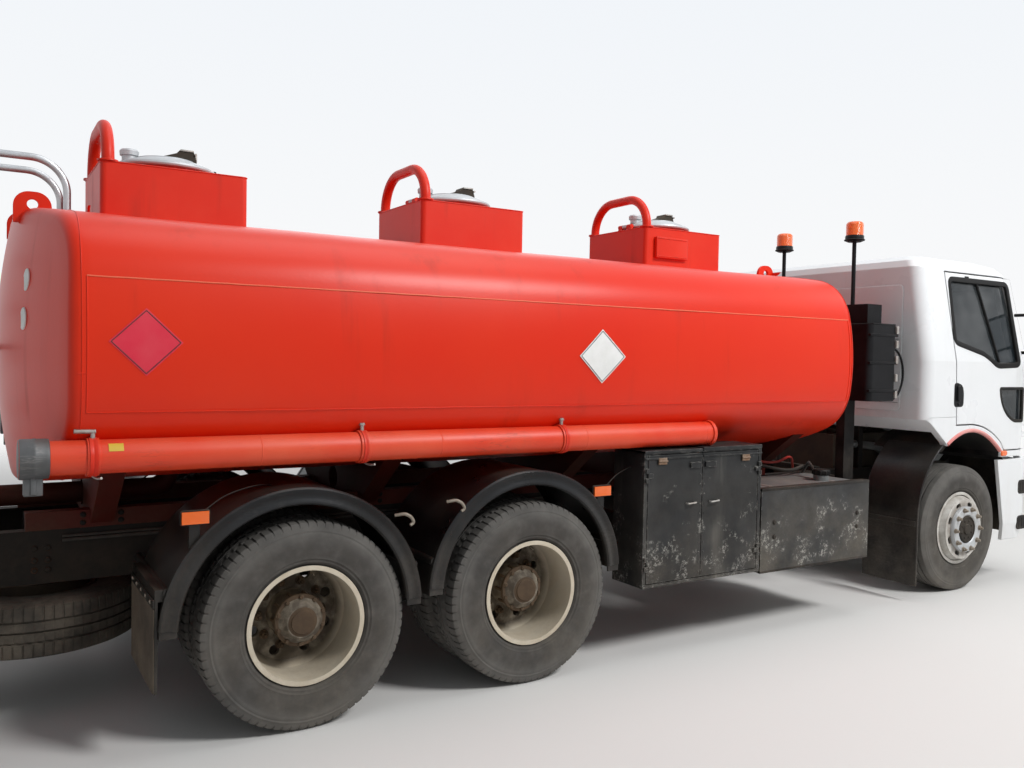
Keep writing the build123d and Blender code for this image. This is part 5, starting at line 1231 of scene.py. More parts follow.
@dataclass
class Hatches:
    """What is fixed to the three hatch boxes, and the fittings of their lids."""

    middles: tuple[tuple[str, float], ...] = (("rear", -3.044), ("middle", -1.196), ("front", 0.626))
    half: tuple[float, float] = (0.38, 0.355)
    top: float = 2.85
    lid_top: float = 2.9065
    dome: float = 0.062
    lid_radius: float = 0.265
    arch_y: float = 0.3165
    plate: Extent = (0.33, 0.64, 2.625, 2.78)
    bolt_ring: float = 0.302
    bolt_reach: float = 0.296

    def dome_height(self, reach: Array | float) -> Array:
        """Height of the lid's skin: z0 + sqrt(R^2 - r^2) - (R - dome), R the sphere through rim and crown."""
        radius = (self.lid_radius**2 + self.dome**2) / (2 * self.dome)
        return self.lid_top + np.sqrt(radius**2 - np.asarray(reach) ** 2) - (radius - self.dome)

    def box_trim(self, x: float, shell: TankShell, sketch: Sketch) -> None:
        """Edge fold round the box's top, weld round its foot and feet of the tube arch."""
        a, b = self.half
        ring = rounded_rectangle(2 * a, 2 * b, 0.03, 6)
        dense = split(ring)
        rise = shell.centre_z + shell.crown_z + np.sqrt(shell.crown_r**2 - dense[:, 1] ** 2)
        sketch.tube(points(x + dense[:, 0], dense[:, 1], rise), 0.0055, 6, closed=True)
        sketch.tube(points(x + ring[:, 0], ring[:, 1], self.top - 0.0035), 0.0038, 8, closed=True)
        for sign in (1, -1):
            foot = (x - a + 0.04, sign * self.arch_y, self.top)
            sketch.turned([[0.0325, 0.014], [0.041, 0.01], [0.052, 0.009], [0.053, 0.0], [0.0, 0.0]], foot,
                          (0, 0, 1), 24)

    def lid_trim(self, name: str, x: float, paint: Paintbox) -> None:
        """Rolled rim, latch with its wedge and pin, and vent cap on one lid."""
        body = f"lid_{name}"
        rim, dark = Sketch(), Sketch()
        a = turns(72)
        for radius, z, r in ((self.lid_radius - 0.001, 2.893, 0.0125),
                             (0.16, float(self.dome_height(0.16)), 0.004)):
            rim.tube(points(x + radius * np.cos(a), radius * np.sin(a), z), r, 8, closed=True)
        vent = [[0.0, -0.01], [0.04, -0.01], [0.04, 0.018], [0.05, 0.02], [0.052, 0.044], [0.044, 0.054],
                [0.0, 0.058]]
        rim.turned(vent, (x - 0.19, 0.0, float(self.dome_height(0.19))), (0, 0, 1), 32)
        rim.made(f"lid_rim_{name}", paint.get("lid_metal"), body, "lid_grey")
        seat = float(self.dome_height(0.11)) - 0.008
        wedge = [(-0.03, 0.0), (0.165, 0.0), (0.165, 0.02), (0.15, 0.064), (0.07, 0.066), (0.058, 0.05),
                 (-0.03, 0.018)]
        dark.prism(np.array(wedge), (x, 0.05, seat), (0, -1, 0), 0.1, 0.004, (1, 0, 0))
        dark.block((x + 0.238, -0.026, 2.884), (x + 0.3, 0.026, 2.912), 0.004)
        dark.hexes([[x + 0.272, 0, 2.912]], (0, 0, 1), 0.016, 0.014, 0.004)
        dark.made(f"lid_clamp_{name}", paint.get("chassis_casting"), body, "lid_grey")
        latch = Sketch()
        latch.block((x + 0.074, -0.058, seat + 0.062), (x + 0.148, 0.058, seat + 0.072), 0.003)
        latch.tube([[x + 0.158, -0.06, seat + 0.05], [x + 0.158, 0.06, seat + 0.05]], 0.007, 10)
        latch.block((x + 0.15, -0.014, seat + 0.012), (x + 0.176, 0.014, seat + 0.056), 0.004)
        latch.made(f"lid_latch_{name}", paint.get("strap_steel"), body, "lid_grey")

    def build(self, paint: Paintbox, shell: TankShell) -> None:
        """Make the trims, the bare raised plate on the front box, the lids' fittings and the cover bolts."""
        trim = Sketch()
        for name, x in self.middles:
            self.box_trim(x, shell, trim)
            self.lid_trim(name, x, paint)
        x0, x1, z0, z1 = self.plate
        y = -self.half[1]
        trim.block((x0, y - 0.03, z0), (x1, y - 0.001, z1), 0.004)
        for z in (z0 + 0.012, z1 - 0.012):
            trim.tube([[x0 + 0.015, y - 0.0305, z], [x1 - 0.015, y - 0.0305, z]], 0.003, 6)
        trim.made("hatch_trim", paint.get("hatch_paint"), "chassis", "tank_red")
        bolts = Sketch()
        for _, x in self.middles:
            a = turns(16, 0.2)
            along, across = self.bolt_ring * np.cos(a), self.bolt_ring * np.sin(a)
            ring = points(x + along, across, self.top)[np.abs(along) < self.bolt_reach]
            bolts.hexes(ring, (0, 0, 1), 0.011, 0.01, 0.003)
        bolts.made("hatch_bolts", paint.get("nut_steel"), "chassis", "tank_red")


@dataclass
class HoseTubes:
    """Grey end caps, straps, tee handles and hooks of the two hose tubes."""

    y: float = 1.17
    z: float = 1.393
    rear: float = -3.719
    front: float = 0.107
    radius: float = 0.075
    straps: Values = (-3.545, -2.295, -1.055)

    def around(self, x: Array, radius: Array, turn: Array) -> Array:
        """Points round the tube's axis: (x, -y + r cos a, z + r sin a) on the right-hand side."""
        return points(x, -self.y + radius * np.cos(turn), self.z + radius * np.sin(turn))

    def build(self, paint: Paintbox) -> None:
        """Make the fittings on both sides."""
        axis_y = -self.y
        cap = Sketch()
        profile = [[0.0, -0.1135], [0.07, -0.1135], [0.083, -0.111], [0.0865, -0.104], [0.0865, -0.06],
                   [0.0885, -0.056], [0.0885, -0.046], [0.0865, -0.042], [0.0865, -0.006],
                   [0.084, 0.004], [0.078, 0.006], [0.078, -0.02], [0.0, -0.02]]
        cap.turned(profile, (self.rear, axis_y, self.z), (1, 0, 0), 48)
        cap.block((self.rear - 0.092, axis_y - 0.027, self.z - 0.156),
                  (self.rear - 0.018, axis_y + 0.027, self.z - 0.08), 0.006)
        cap.block((self.rear - 0.066, axis_y - 0.034, self.z - 0.15),
                  (self.rear - 0.044, axis_y + 0.034, self.z - 0.04), 0.004)
        cap.mirrored().made("hose_end_caps", paint.get("tube_cap_metal"), "chassis", "tank_red")
        bands = Sketch()
        painted = Sketch()
        for x in self.straps:
            wide = 0.018 if x == self.straps[0] else 0.013
            ring = [[0.0745, -wide], [0.0862, 0.001 - wide], [0.0862, -0.004], [0.0845, 0.0], [0.0862, 0.004],
                    [0.0862, wide - 0.001], [0.0745, wide]]
            painted.turned(ring, (x, axis_y, self.z), (1, 0, 0), 48, wrap=True)
            post = [[x, axis_y - 0.01, self.z + 0.08], [x, axis_y - 0.01, self.z + 0.112]]
            bands.tube(post, 0.01, 10)
        x = self.straps[0]
        handle = [[x - 0.075, axis_y - 0.01, self.z + 0.114], [x + 0.012, axis_y - 0.01, self.z + 0.112]]
        bands.tube(handle, 0.0105, 12)
        for x in self.straps[1:]:
            bands.hexes([[x, axis_y - 0.01, self.z + 0.11]], (0, 0, 1), 0.014, 0.012, 0.003)
        bands.mirrored().made("hose_straps", paint.get("strap_steel"), "chassis", "tank_red")
        painted.mirrored().made("painted_straps", paint.get("hatch_paint"), "chassis", "tank_red")
        hooks = Sketch()
        t = np.radians(np.linspace(250, 330, 12))
        for x in (self.straps[0] + 0.02, self.straps[1] + 0.05):
            hooks.tube(self.around(x + 0.02 * np.sin(2 * t), 0.108 - 0.012 * t / 5, t), 0.006, 8)
        hooks.mirrored().made("hose_hooks", paint.get("strap_steel"), "chassis", "tank_red")
        tag = Sketch()
        turn = np.radians(np.linspace(128, 158, 7))[:, None]
        ends = np.array([-3.487, -3.487, -3.426, -3.426])
        lift = np.array([0.0754, 0.0764, 0.0764, 0.0754])
        tag.grid(self.around(ends, lift, turn), wrap_v=True)
        tag.made("bare_yellow_tag", paint.get("bare_tag"), "chassis", "tank_red")
        ribs = Sketch()
        for x in np.linspace(self.rear + 0.9, self.front - 0.05, 4):
            ribs.turned([[0.0748, -0.004], [0.0765, 0.0], [0.0748, 0.004]], (x, axis_y, self.z), (1, 0, 0),
                        48)
        ribs.mirrored().made("hose_tube_joints", paint.get("tube_paint"), "chassis", "tank_red")


@dataclass
class SideGear:
    """Lockers, guard, fuel tank, batteries and air tanks beside the frame."""

    face: float = 1.25
    cabinet: Extent = (-0.475, 0.545, 0.45, 1.3)
    split: float = 0.009
    guard: Extent = (0.56, 1.695, 0.43, 1.0)
    fuel: Extent = (-1.19, -0.6, 0.45, 0.99)
    fuel_corner: float = 0.09
    fuel_straps: tuple[float, float] = (0.8, 1.46)
    filler: Point = (1.415, -1.04, 1.036)
    catches: Pairs = ((-0.334, 1.215), (0.391, 1.208))
    guard_bolts: Values = (0.69, 1.565)
    battery_straps: Values = (0.86, 1.135, 1.41)
    battery_handles: Values = (0.9, 1.37)
    air_tank_y: Values = (0.62, 0.88)
    air_tank_z: float = 0.72
    air_tank_bands: Values = (-0.265, 0.315)
    pipe_z: Pairs = ((0.895, 0.009), (0.915, 0.007))

    def cabinet_trim(self, paint: Paintbox) -> None:
        """Lip strips and catches of the locker, and the grips and rivets of its doors."""
        x0, x1, z0, z1 = self.cabinet
        y = -self.face
        trim, steel = Sketch(), Sketch()
        for a, b, rise in ((x0, self.split - 0.004, 0.003), (self.split + 0.004, x1, 0.01)):
            trim.block((a, y - 0.006, z1 - 0.014), (b, y + 0.27, z1 + rise), 0.003)
            trim.block((a, y - 0.008, z1 - 0.052), (b, y - 0.001, z1 - 0.04), 0.003)
        trim.block((x0, y - 0.004, z0), (x1, y + 0.01, z0 + 0.012), 0.003)
        trim.made("cabinet_lip", paint.get("locker_paint"), "chassis", "frame_black")
        for x, z in self.catches:
            steel.block((x - 0.034, y - 0.012, z), (x + 0.034, y - 0.001, z + 0.042), 0.003)
            steel.tube([[x - 0.036, y - 0.012, z + 0.021], [x + 0.036, y - 0.012, z + 0.021]], 0.0055, 8)
        steel.made("cabinet_catches", paint.get("rusty_steel"), "chassis", "frame_black")
        for name, x, sign in (("rear", self.split - 0.1, -1), ("front", self.split + 0.1, 1)):
            grip = Sketch()
            path = rounded_route([(x - 0.035, y - 0.001, 0.958), (x - 0.035, y - 0.024, 0.958),
                                  (x + 0.035, y - 0.024, 0.962), (x + 0.035, y - 0.001, 0.962)], 0.012)
            grip.tube(path, 0.0055, 8)
            z = np.linspace(z0 + 0.06, z1 - 0.1, 12)
            rivets = Sketch().hexes(points(self.split + sign * 0.018, y, z), (0, -1, 0), 0.006, 0.003)
            rivets.made(f"cabinet_rivets_{name}", paint.get("locker_paint"), f"cabinet_door_{name}",
                        "frame_black")
            grip.made(f"cabinet_grip_{name}", paint.get("strap_steel"), f"cabinet_door_{name}", "frame_black")

    def fuel_trim(self, paint: Paintbox) -> None:
        """Straps and cap of the fuel tank, and the guard's lip and bolts."""
        y0, y1, z0, z1 = self.fuel
        straps, cap = Sketch(), Sketch()
        outline = rounded_rectangle(y1 - y0, z1 - z0, self.fuel_corner, 10)
        middle = np.array([(y0 + y1) / 2, (z0 + z1) / 2])
        for x in self.fuel_straps:
            rows = []
            for dx, grow in ((-0.021, 0.001), (-0.02, 0.004), (0.02, 0.004), (0.021, 0.001)):
                ring = middle + outline * (1 + grow / 0.28)
                rows.append(points(x + dx, ring[:, 0], ring[:, 1]))
            straps.grid(np.stack(rows), wrap_v=True, wrap_u=True)
            straps.hexes([[x, y0 - 0.004, z1 - 0.13], [x, y0 - 0.004, z1 - 0.16]], (0, -1, 0), 0.011, 0.01)
        straps.made("fuel_straps", paint.get("strap_steel"), "chassis", "fuel_grey")
        profile = [[0.0, -0.004], [0.058, -0.004], [0.062, 0.002], [0.062, 0.03], [0.056, 0.038],
                   [0.03, 0.041], [0.0, 0.041]]
        cap.turned(profile, self.filler, (0, 0, 1), 40)
        for a in turns(10):
            x, y, z = np.array(self.filler) + [0.06 * math.cos(a), 0.06 * math.sin(a), 0]
            cap.block((x - 0.006, y - 0.006, z + 0.002), (x + 0.006, y + 0.006, z + 0.028), 0.002)
        cap.made("fuel_cap", paint.get("black_plastic"), "chassis", "fuel_grey")
        x0, x1, g0, g1 = self.guard
        guard = Sketch()
        y = -self.face
        guard.block((x0, y - 0.003, g1 - 0.012), (x1, y + 0.062, g1 + 0.006), 0.003)
        guard.block((x0, y - 0.002, g0 - 0.002), (x1, y + 0.02, g0 + 0.014), 0.003)
        for x in self.guard_bolts:
            guard.hexes([[x, y, z] for z in (0.67, 0.77)], (0, -1, 0), 0.014, 0.009, 0.003)
        guard.made("guard_lip", paint.get("black_plastic"), "chassis", "frame_black")

    def left_trim(self, paint: Paintbox) -> None:
        """Lid, handle and straps of the battery box, and bands and drain valves of the air tanks."""
        trim, bands = Sketch(), Sketch()
        trim.block((0.62, 0.63, 0.94), (1.65, 1.212, 0.992), 0.012)
        for x in self.battery_straps:
            trim.block((x - 0.018, 1.199, 0.56), (x + 0.018, 1.208, 0.94), 0.003)
        trim.made("battery_lid", paint.get("black_plastic"), "chassis", "frame_black")
        for x in self.battery_handles:
            path = rounded_route([(x, 1.2, 0.9), (x, 1.232, 0.9), (x, 1.232, 0.82), (x, 1.2, 0.82)], 0.014)
            bands.tube(path, 0.006, 8)
        ring = [[0.1225, -0.02], [0.126, -0.019], [0.126, 0.019], [0.1225, 0.02]]
        for y in self.air_tank_y:
            for x in self.air_tank_bands:
                bands.turned(ring, (x, y, self.air_tank_z), (1, 0, 0), 40, wrap=True)
            bands.turned([[0.0, 0.0], [0.014, 0.0], [0.014, 0.02], [0.006, 0.024], [0.006, 0.04], [0, 0.04]],
                         (0.02, y, 0.6), (0, 0, -1), 12)
        bands.made("left_bands", paint.get("strap_steel"), "chassis", "frame_black")

    def lines(self, paint: Paintbox) -> None:
        """Fixed hoses and pipes: over the fuel tank, along the rails and to the air tanks."""
        black, red = Sketch(), Sketch()
        runs = (([(0.62, -0.5, 1.06), (1.05, -0.62, 1.1), (1.35, -0.8, 1.03), (1.62, -0.72, 1.06),
                  (1.76, -0.48, 0.98)], 0.013),
                ([(1.415, -1.0, 1.03), (1.5, -0.86, 1.1), (1.66, -0.72, 1.08), (1.8, -0.5, 0.9)], 0.011),
                ([(0.52, 0.46, 0.8), (0.58, 0.56, 0.79), (0.6, 0.62, 0.72), (0.516, 0.62, 0.72)], 0.009),
                ([(-0.9, 0.437, 0.86), (0.3, 0.437, 0.86), (1.4, 0.437, 0.87), (1.9, 0.437, 0.84)], 0.01))
        for run, radius in runs:
            black.tube(rounded_route(run, 0.12, 7), radius, 10)
        for side in (1, -1):
            for z, r in self.pipe_z:
                black.tube([[-3.6, side * 0.434, z], [-1.0, side * 0.434, z], [1.7, side * 0.434, z]], r, 8)
        red.tube(rounded_route([(0.6, -0.46, 1.1), (0.95, -0.66, 1.14), (1.3, -0.7, 1.08), (1.6, -0.6, 1.13),
                                (1.78, -0.46, 1.0)], 0.14, 7), 0.01, 10)
        black.made("black_lines", paint.get("air_hose"), "chassis", "black_plastic")
        red.made("red_line", paint.get("red_hose"), "chassis", "black_plastic")

    def build(self, paint: Paintbox) -> None:
        """Make all the side gear's trim."""
        self.cabinet_trim(paint)
        self.fuel_trim(paint)
        self.left_trim(paint)
        self.lines(paint)


@dataclass
class Running:
    """Bolts, leaf lines, brake chambers, mudguard beads, lamps and lugs below and behind the tank."""

    rail_y: float = 0.425
    arches: tuple[Point, ...] = ((-2.63, 0.56, 0.65), (-1.297, 0.592, 0.633))
    arch_face: float = 1.25
    skirt: float = 0.078
    markers: Pairs = ((-3.124, 1.103), (-0.791, 1.078))
    cross_members: Values = (-4.115, -3.695, -2.265, -1.595, -0.265, 1.135, 3.975)
    rail_bolt_z: Values = (0.75, 0.8, 0.86)
    saddles: Values = (-3.415, -1.955, -0.565, 0.235, 1.335)
    outlet: Point = (-3.945, 0.077, 1.075)
    front_leaves: Values = (0.35, 0.44)
    rear_leaves: Values = (0.475, 0.56)
    u_bolts: tuple[Values, ...] = (
        (2.93, 0.45, 0.6, 0.34, 0.45), (3.048, 0.45, 0.6, 0.34, 0.45),
        (-1.985, 0.53, 0.74, 0.466, 0.569), (-1.863, 0.53, 0.74, 0.466, 0.569))
    cover_ring: float = 0.175
    front_arch: Point = (3.02, 0.64, 0.715)
    wire_hooks: tuple[Point, ...] = ((-2.13, 1.035, 0.045), (-1.83, 1.085, 0.045))
    tail_lamps: Values = (-1.095, -0.99, -0.885)
    lugs: Values = (-3.496, 1.53)
    discs: Pairs = ((-0.74, 2.18), (-0.74, 2.0))
    belt_wheels: tuple[Point, ...] = ((0.0, 0.86, 0.11), (-0.16, 1.04, 0.06), (0.15, 1.06, 0.075))

    def frame_trim(self, paint: Paintbox) -> None:
        """Rows of rail bolts, saddle bolts and outlet flange bolts."""
        bolts = Sketch()
        for cross in self.cross_members:
            for dx in (-0.03, 0.03):
                bolts.hexes([[cross + dx, self.rail_y, z] for z in self.rail_bolt_z], (0, 1, 0), 0.013, 0.01,
                            0.003)
        for x in self.saddles:
            for dx in (-0.09, 0.09):
                bolts.hexes([[x + dx, self.rail_y, z] for z in (0.975, 1.015)], (0, 1, 0), 0.012, 0.01, 0.003)
        bolts.mirrored()
        a = turns(8, 0.3)
        x, ring, z = self.outlet
        flange = points(x, ring * np.cos(a), z + ring * np.sin(a))
        bolts.hexes(flange, (-1, 0, 0), 0.011, 0.01, 0.003)
        bolts.made("frame_bolts", paint.get("frame_paint"), "chassis", "frame_black")

    def spring_trim(self, paint: Paintbox) -> None:
        """Edges of the leaves, clamps, U-bolts and brake chambers."""
        leaves, steel = Sketch(), Sketch()
        for y in self.front_leaves:
            for k in np.linspace(0.12, 0.88, 5):
                t = np.linspace(-0.7, 0.7, 25)
                middle, end = 0.4903 + 0.07 * k, 0.586 + 0.024 * k
                z = middle + (end - middle) * (t / 0.775) ** 2
                leaves.tube(points(2.99 + t, y, z), 0.0022, 5)
        for y in self.rear_leaves:
            for k in np.linspace(0.1, 0.9, 7):
                reach = 0.7 - 0.42 * k
                t = np.linspace(-reach, reach, 25)
                z = 0.606 + (0.112 - 0.074 * (t / 0.719) ** 2) * k
                leaves.tube(points(-1.924 + t, y, z), 0.0022, 5)
        leaves.mirrored().made("leaf_edges", paint.get("frame_paint"), "chassis", "frame_black")
        for x, low, high, y0, y1 in self.u_bolts:
            path = rounded_route([(x, y0, low), (x, y0, high), (x, y1, high), (x, y1, low)], 0.02, 5)
            steel.tube(path, 0.011, 10)
        chamber = [[0.0, -0.1], [0.072, -0.1], [0.084, -0.085], [0.086, -0.02], [0.094, -0.012], [0.094, 0.0],
                   [0.086, 0.008], [0.08, 0.07], [0.06, 0.09], [0.0, 0.092]]
        for x, turn in ((AXLES["middle"], 1), (AXLES["rear"], -1)):
            centre = (x + turn * 0.235, 0.3, 0.61)
            steel.turned(chamber, centre, (turn, 0, 0.25), 32)
            steel.block((x + turn * 0.02, 0.262, 0.56), (x + turn * 0.22, 0.338, 0.606), 0.006)
        steel.mirrored()
        for x in (AXLES["middle"], AXLES["rear"]):
            a = turns(12)
            for turn in (1, -1):
                cover = points(x + turn * 0.09, self.cover_ring * np.cos(a),
                               AXLE_Z + self.cover_ring * np.sin(a))
                steel.hexes(cover, (turn, 0, 0), 0.01, 0.009)
        steel.made("axle_fittings", paint.get("chassis_casting"), "chassis", "cast")

    def guard_trim(self, paint: Paintbox) -> None:
        """Folded faces of the mudguards, the front mudguard's folds, flap bolts, flaps and wire hooks."""
        beads, bolts = Sketch(), Sketch()
        fold = np.array([[-0.004, -0.022], [-0.004, 0.004], [0.004, 0.013], [0.016, 0.013], [0.026, 0.006],
                         [self.skirt - 0.026, 0.006], [self.skirt - 0.016, 0.013],
                         [self.skirt - 0.004, 0.013], [self.skirt + 0.004, 0.004],
                         [self.skirt + 0.004, -0.022]])
        for x, z, radius in self.arches:
            a = np.radians(np.linspace(3.5, 176.5, 73))[:, None]
            r = radius - self.skirt + fold[:, 0]
            face = points(x + r * np.cos(a), -self.arch_face - fold[:, 1], z + r * np.sin(a))
            beads.grid(face, wrap_v=True, cap_start=True, cap_end=True)
        x, z, radius = self.front_arch
        ring = arc((x, z), radius - 0.007, 124, 180, 20)
        beads.tube(np.concatenate([points(ring[:, 0], -1.243, ring[:, 1]), [[2.312, -1.243, 0.135]]]), 0.008,
                   8)
        beads.block((2.298, -1.235, 0.6), (2.306, -0.77, 0.64), 0.003)
        beads.block((-3.303, -1.228, 0.7), (-3.294, -0.622, 0.742), 0.003)
        beads.mirrored().made("mudguard_beads", paint.get("mudguard_plastic"), "chassis", "black_plastic")
        for y in np.linspace(0.68, 1.17, 5):
            bolts.hexes([[-3.303, -y, 0.722]], (-1, 0, 0), 0.008, 0.006, 0.003)
        for x, z, out in self.wire_hooks:
            hook = [(x, -1.235, z), (x + out, -1.258, z + 0.01), (x + out * 1.8, -1.26, z - 0.008),
                    (x + out * 2.2, -1.26, z - 0.04), (x + out * 1.7, -1.26, z - 0.052)]
            bolts.tube(rounded_route(hook, 0.015), 0.009, 8)
        bolts.mirrored().made("mudguard_bolts", paint.get("nut_steel"), "chassis", "black_plastic")
        flaps = Sketch()
        flaps.prism(rounded_rectangle(0.614, 0.388, 0.012), (-3.2965, -0.925, 0.506), (-1, 0, 0), 0.004,
                    0.001, (0, 1, 0))
        flaps.mirrored().made("mudflap_faces", paint.get("flap_rubber"), "chassis", "black_plastic")

    def lamp_trim(self, paint: Paintbox) -> None:
        """Marker and tail lamp housings, the blank plate, gussets beside the lugs, discs on the rear head."""
        housing, plate, gusset = Sketch(), Sketch(), Sketch()
        for x, z in self.markers:
            housing.prism(rounded_rectangle(0.134, 0.07, 0.01), (x, -1.2275, z), (0, -1, 0), 0.012, 0.002,
                          (1, 0, 0))
            wire = rounded_route([(x + 0.05, -1.22, z + 0.03), (x + 0.14, -1.2, z + 0.09),
                                  (x + 0.3, -1.14, z + 0.12), (x + 0.42, -1.02, z + 0.1)], 0.08)
            housing.tube(wire, 0.003, 6)
        housing.block((-4.262, -1.155, 0.512), (-4.215, -0.825, 0.658), 0.01)
        for y in self.tail_lamps:
            ring = [[0.04, 0.0], [0.046, 0.001], [0.047, 0.005], [0.042, 0.007], [0.039, 0.004]]
            housing.turned(ring, (-4.314, y, 0.585), (-1, 0, 0), 32, wrap=True)
        housing.mirrored()
        housing.block((-4.268, -0.3, 0.545), (-4.246, 0.3, 0.685), 0.008)
        housing.block((-4.262, -0.05, 0.69), (-4.225, 0.05, 0.72), 0.006)
        housing.made("lamp_housings", paint.get("black_plastic"), "chassis", "black_plastic")
        plate.prism(rounded_rectangle(0.52, 0.112, 0.01), (-4.268, 0.0, 0.615), (-1, 0, 0), 0.003, 0.001,
                    (0, 1, 0))
        plate.made("blank_rear_plate", paint.get("placard_white"), "chassis", "tank_red")
        for x in self.lugs:
            outline = np.array([[0.0, -0.012], [0.085, -0.012], [0.0, 0.05]])
            gusset.prism(outline, (x, -0.41, 2.575), (1, 0, 0), 0.012, 0.002, (0, -1, 0))
        gusset.mirrored().made("lug_gussets", paint.get("hatch_paint"), "chassis", "tank_red")
        discs = Sketch()
        for y, z in self.discs:
            x = self.head_x(y, z)
            discs.turned([[0.0, -0.004], [0.052, -0.004], [0.053, 0.0], [0.051, 0.0025], [0.0, 0.0025]],
                         (x, y, z), (-1, 0.2 * y, 0.2 * (z - 1.87)), 36)
        discs.mirrored().made("blank_discs", paint.get("placard_white"), "chassis", "tank_red")

    def head_x(self, y: float, z: float) -> float:
        """Where the rear head's skin lies: tip + R - sqrt(R^2 - y^2 - (z - centre)^2)."""
        shell = TankShell()
        reach = y**2 + (z - shell.centre_z) ** 2
        bulge = shell.bulges[0]
        dish_r = shell.dish_r(bulge)
        return shell.rear - bulge + dish_r - math.sqrt(dish_r**2 - reach)

    def engine_trim(self, paint: Paintbox) -> None:
        """Ribs, pan, belt wheels and pipes on the engine block, seen when the cab is tilted."""
        ribs, pipes = Sketch(), Sketch()
        for x in np.linspace(2.53, 3.33, 6):
            ribs.block((x - 0.05, -0.16, 1.235), (x + 0.05, 0.16, 1.275), 0.012)
            ribs.block((x - 0.012, -0.338, 0.62), (x + 0.012, -0.322, 1.18), 0.004)
            ribs.block((x - 0.012, 0.322, 0.62), (x + 0.012, 0.338, 1.18), 0.004)
        for y, z, r in self.belt_wheels:
            ribs.turned([[0, 0], [r, 0], [r, 0.012], [r - 0.01, 0.02], [r, 0.028], [r, 0.04],
                         [0.3 * r, 0.044], [0, 0.044]], (3.404, y, z), (1, 0, 0), 40)
        for y in (-0.22, 0.22):
            pipes.tube(rounded_route([(2.55, y, 1.17), (2.55, y * 1.75, 1.17), (3.0, y * 1.75, 1.12),
                                      (3.38, y * 1.7, 0.8)], 0.09), 0.035, 14)
        ribs.made("engine_covers", paint.get("chassis_casting"), "chassis", "cast")
        pipes.made("engine_pipes", paint.get("tube_cap_metal"), "chassis", "cast")

    def build(self, paint: Paintbox) -> None:
        """Make every fitting of the running gear."""
        self.frame_trim(paint)
        self.spring_trim(paint)
        self.guard_trim(paint)
        self.lamp_trim(paint)
        self.engine_trim(paint)


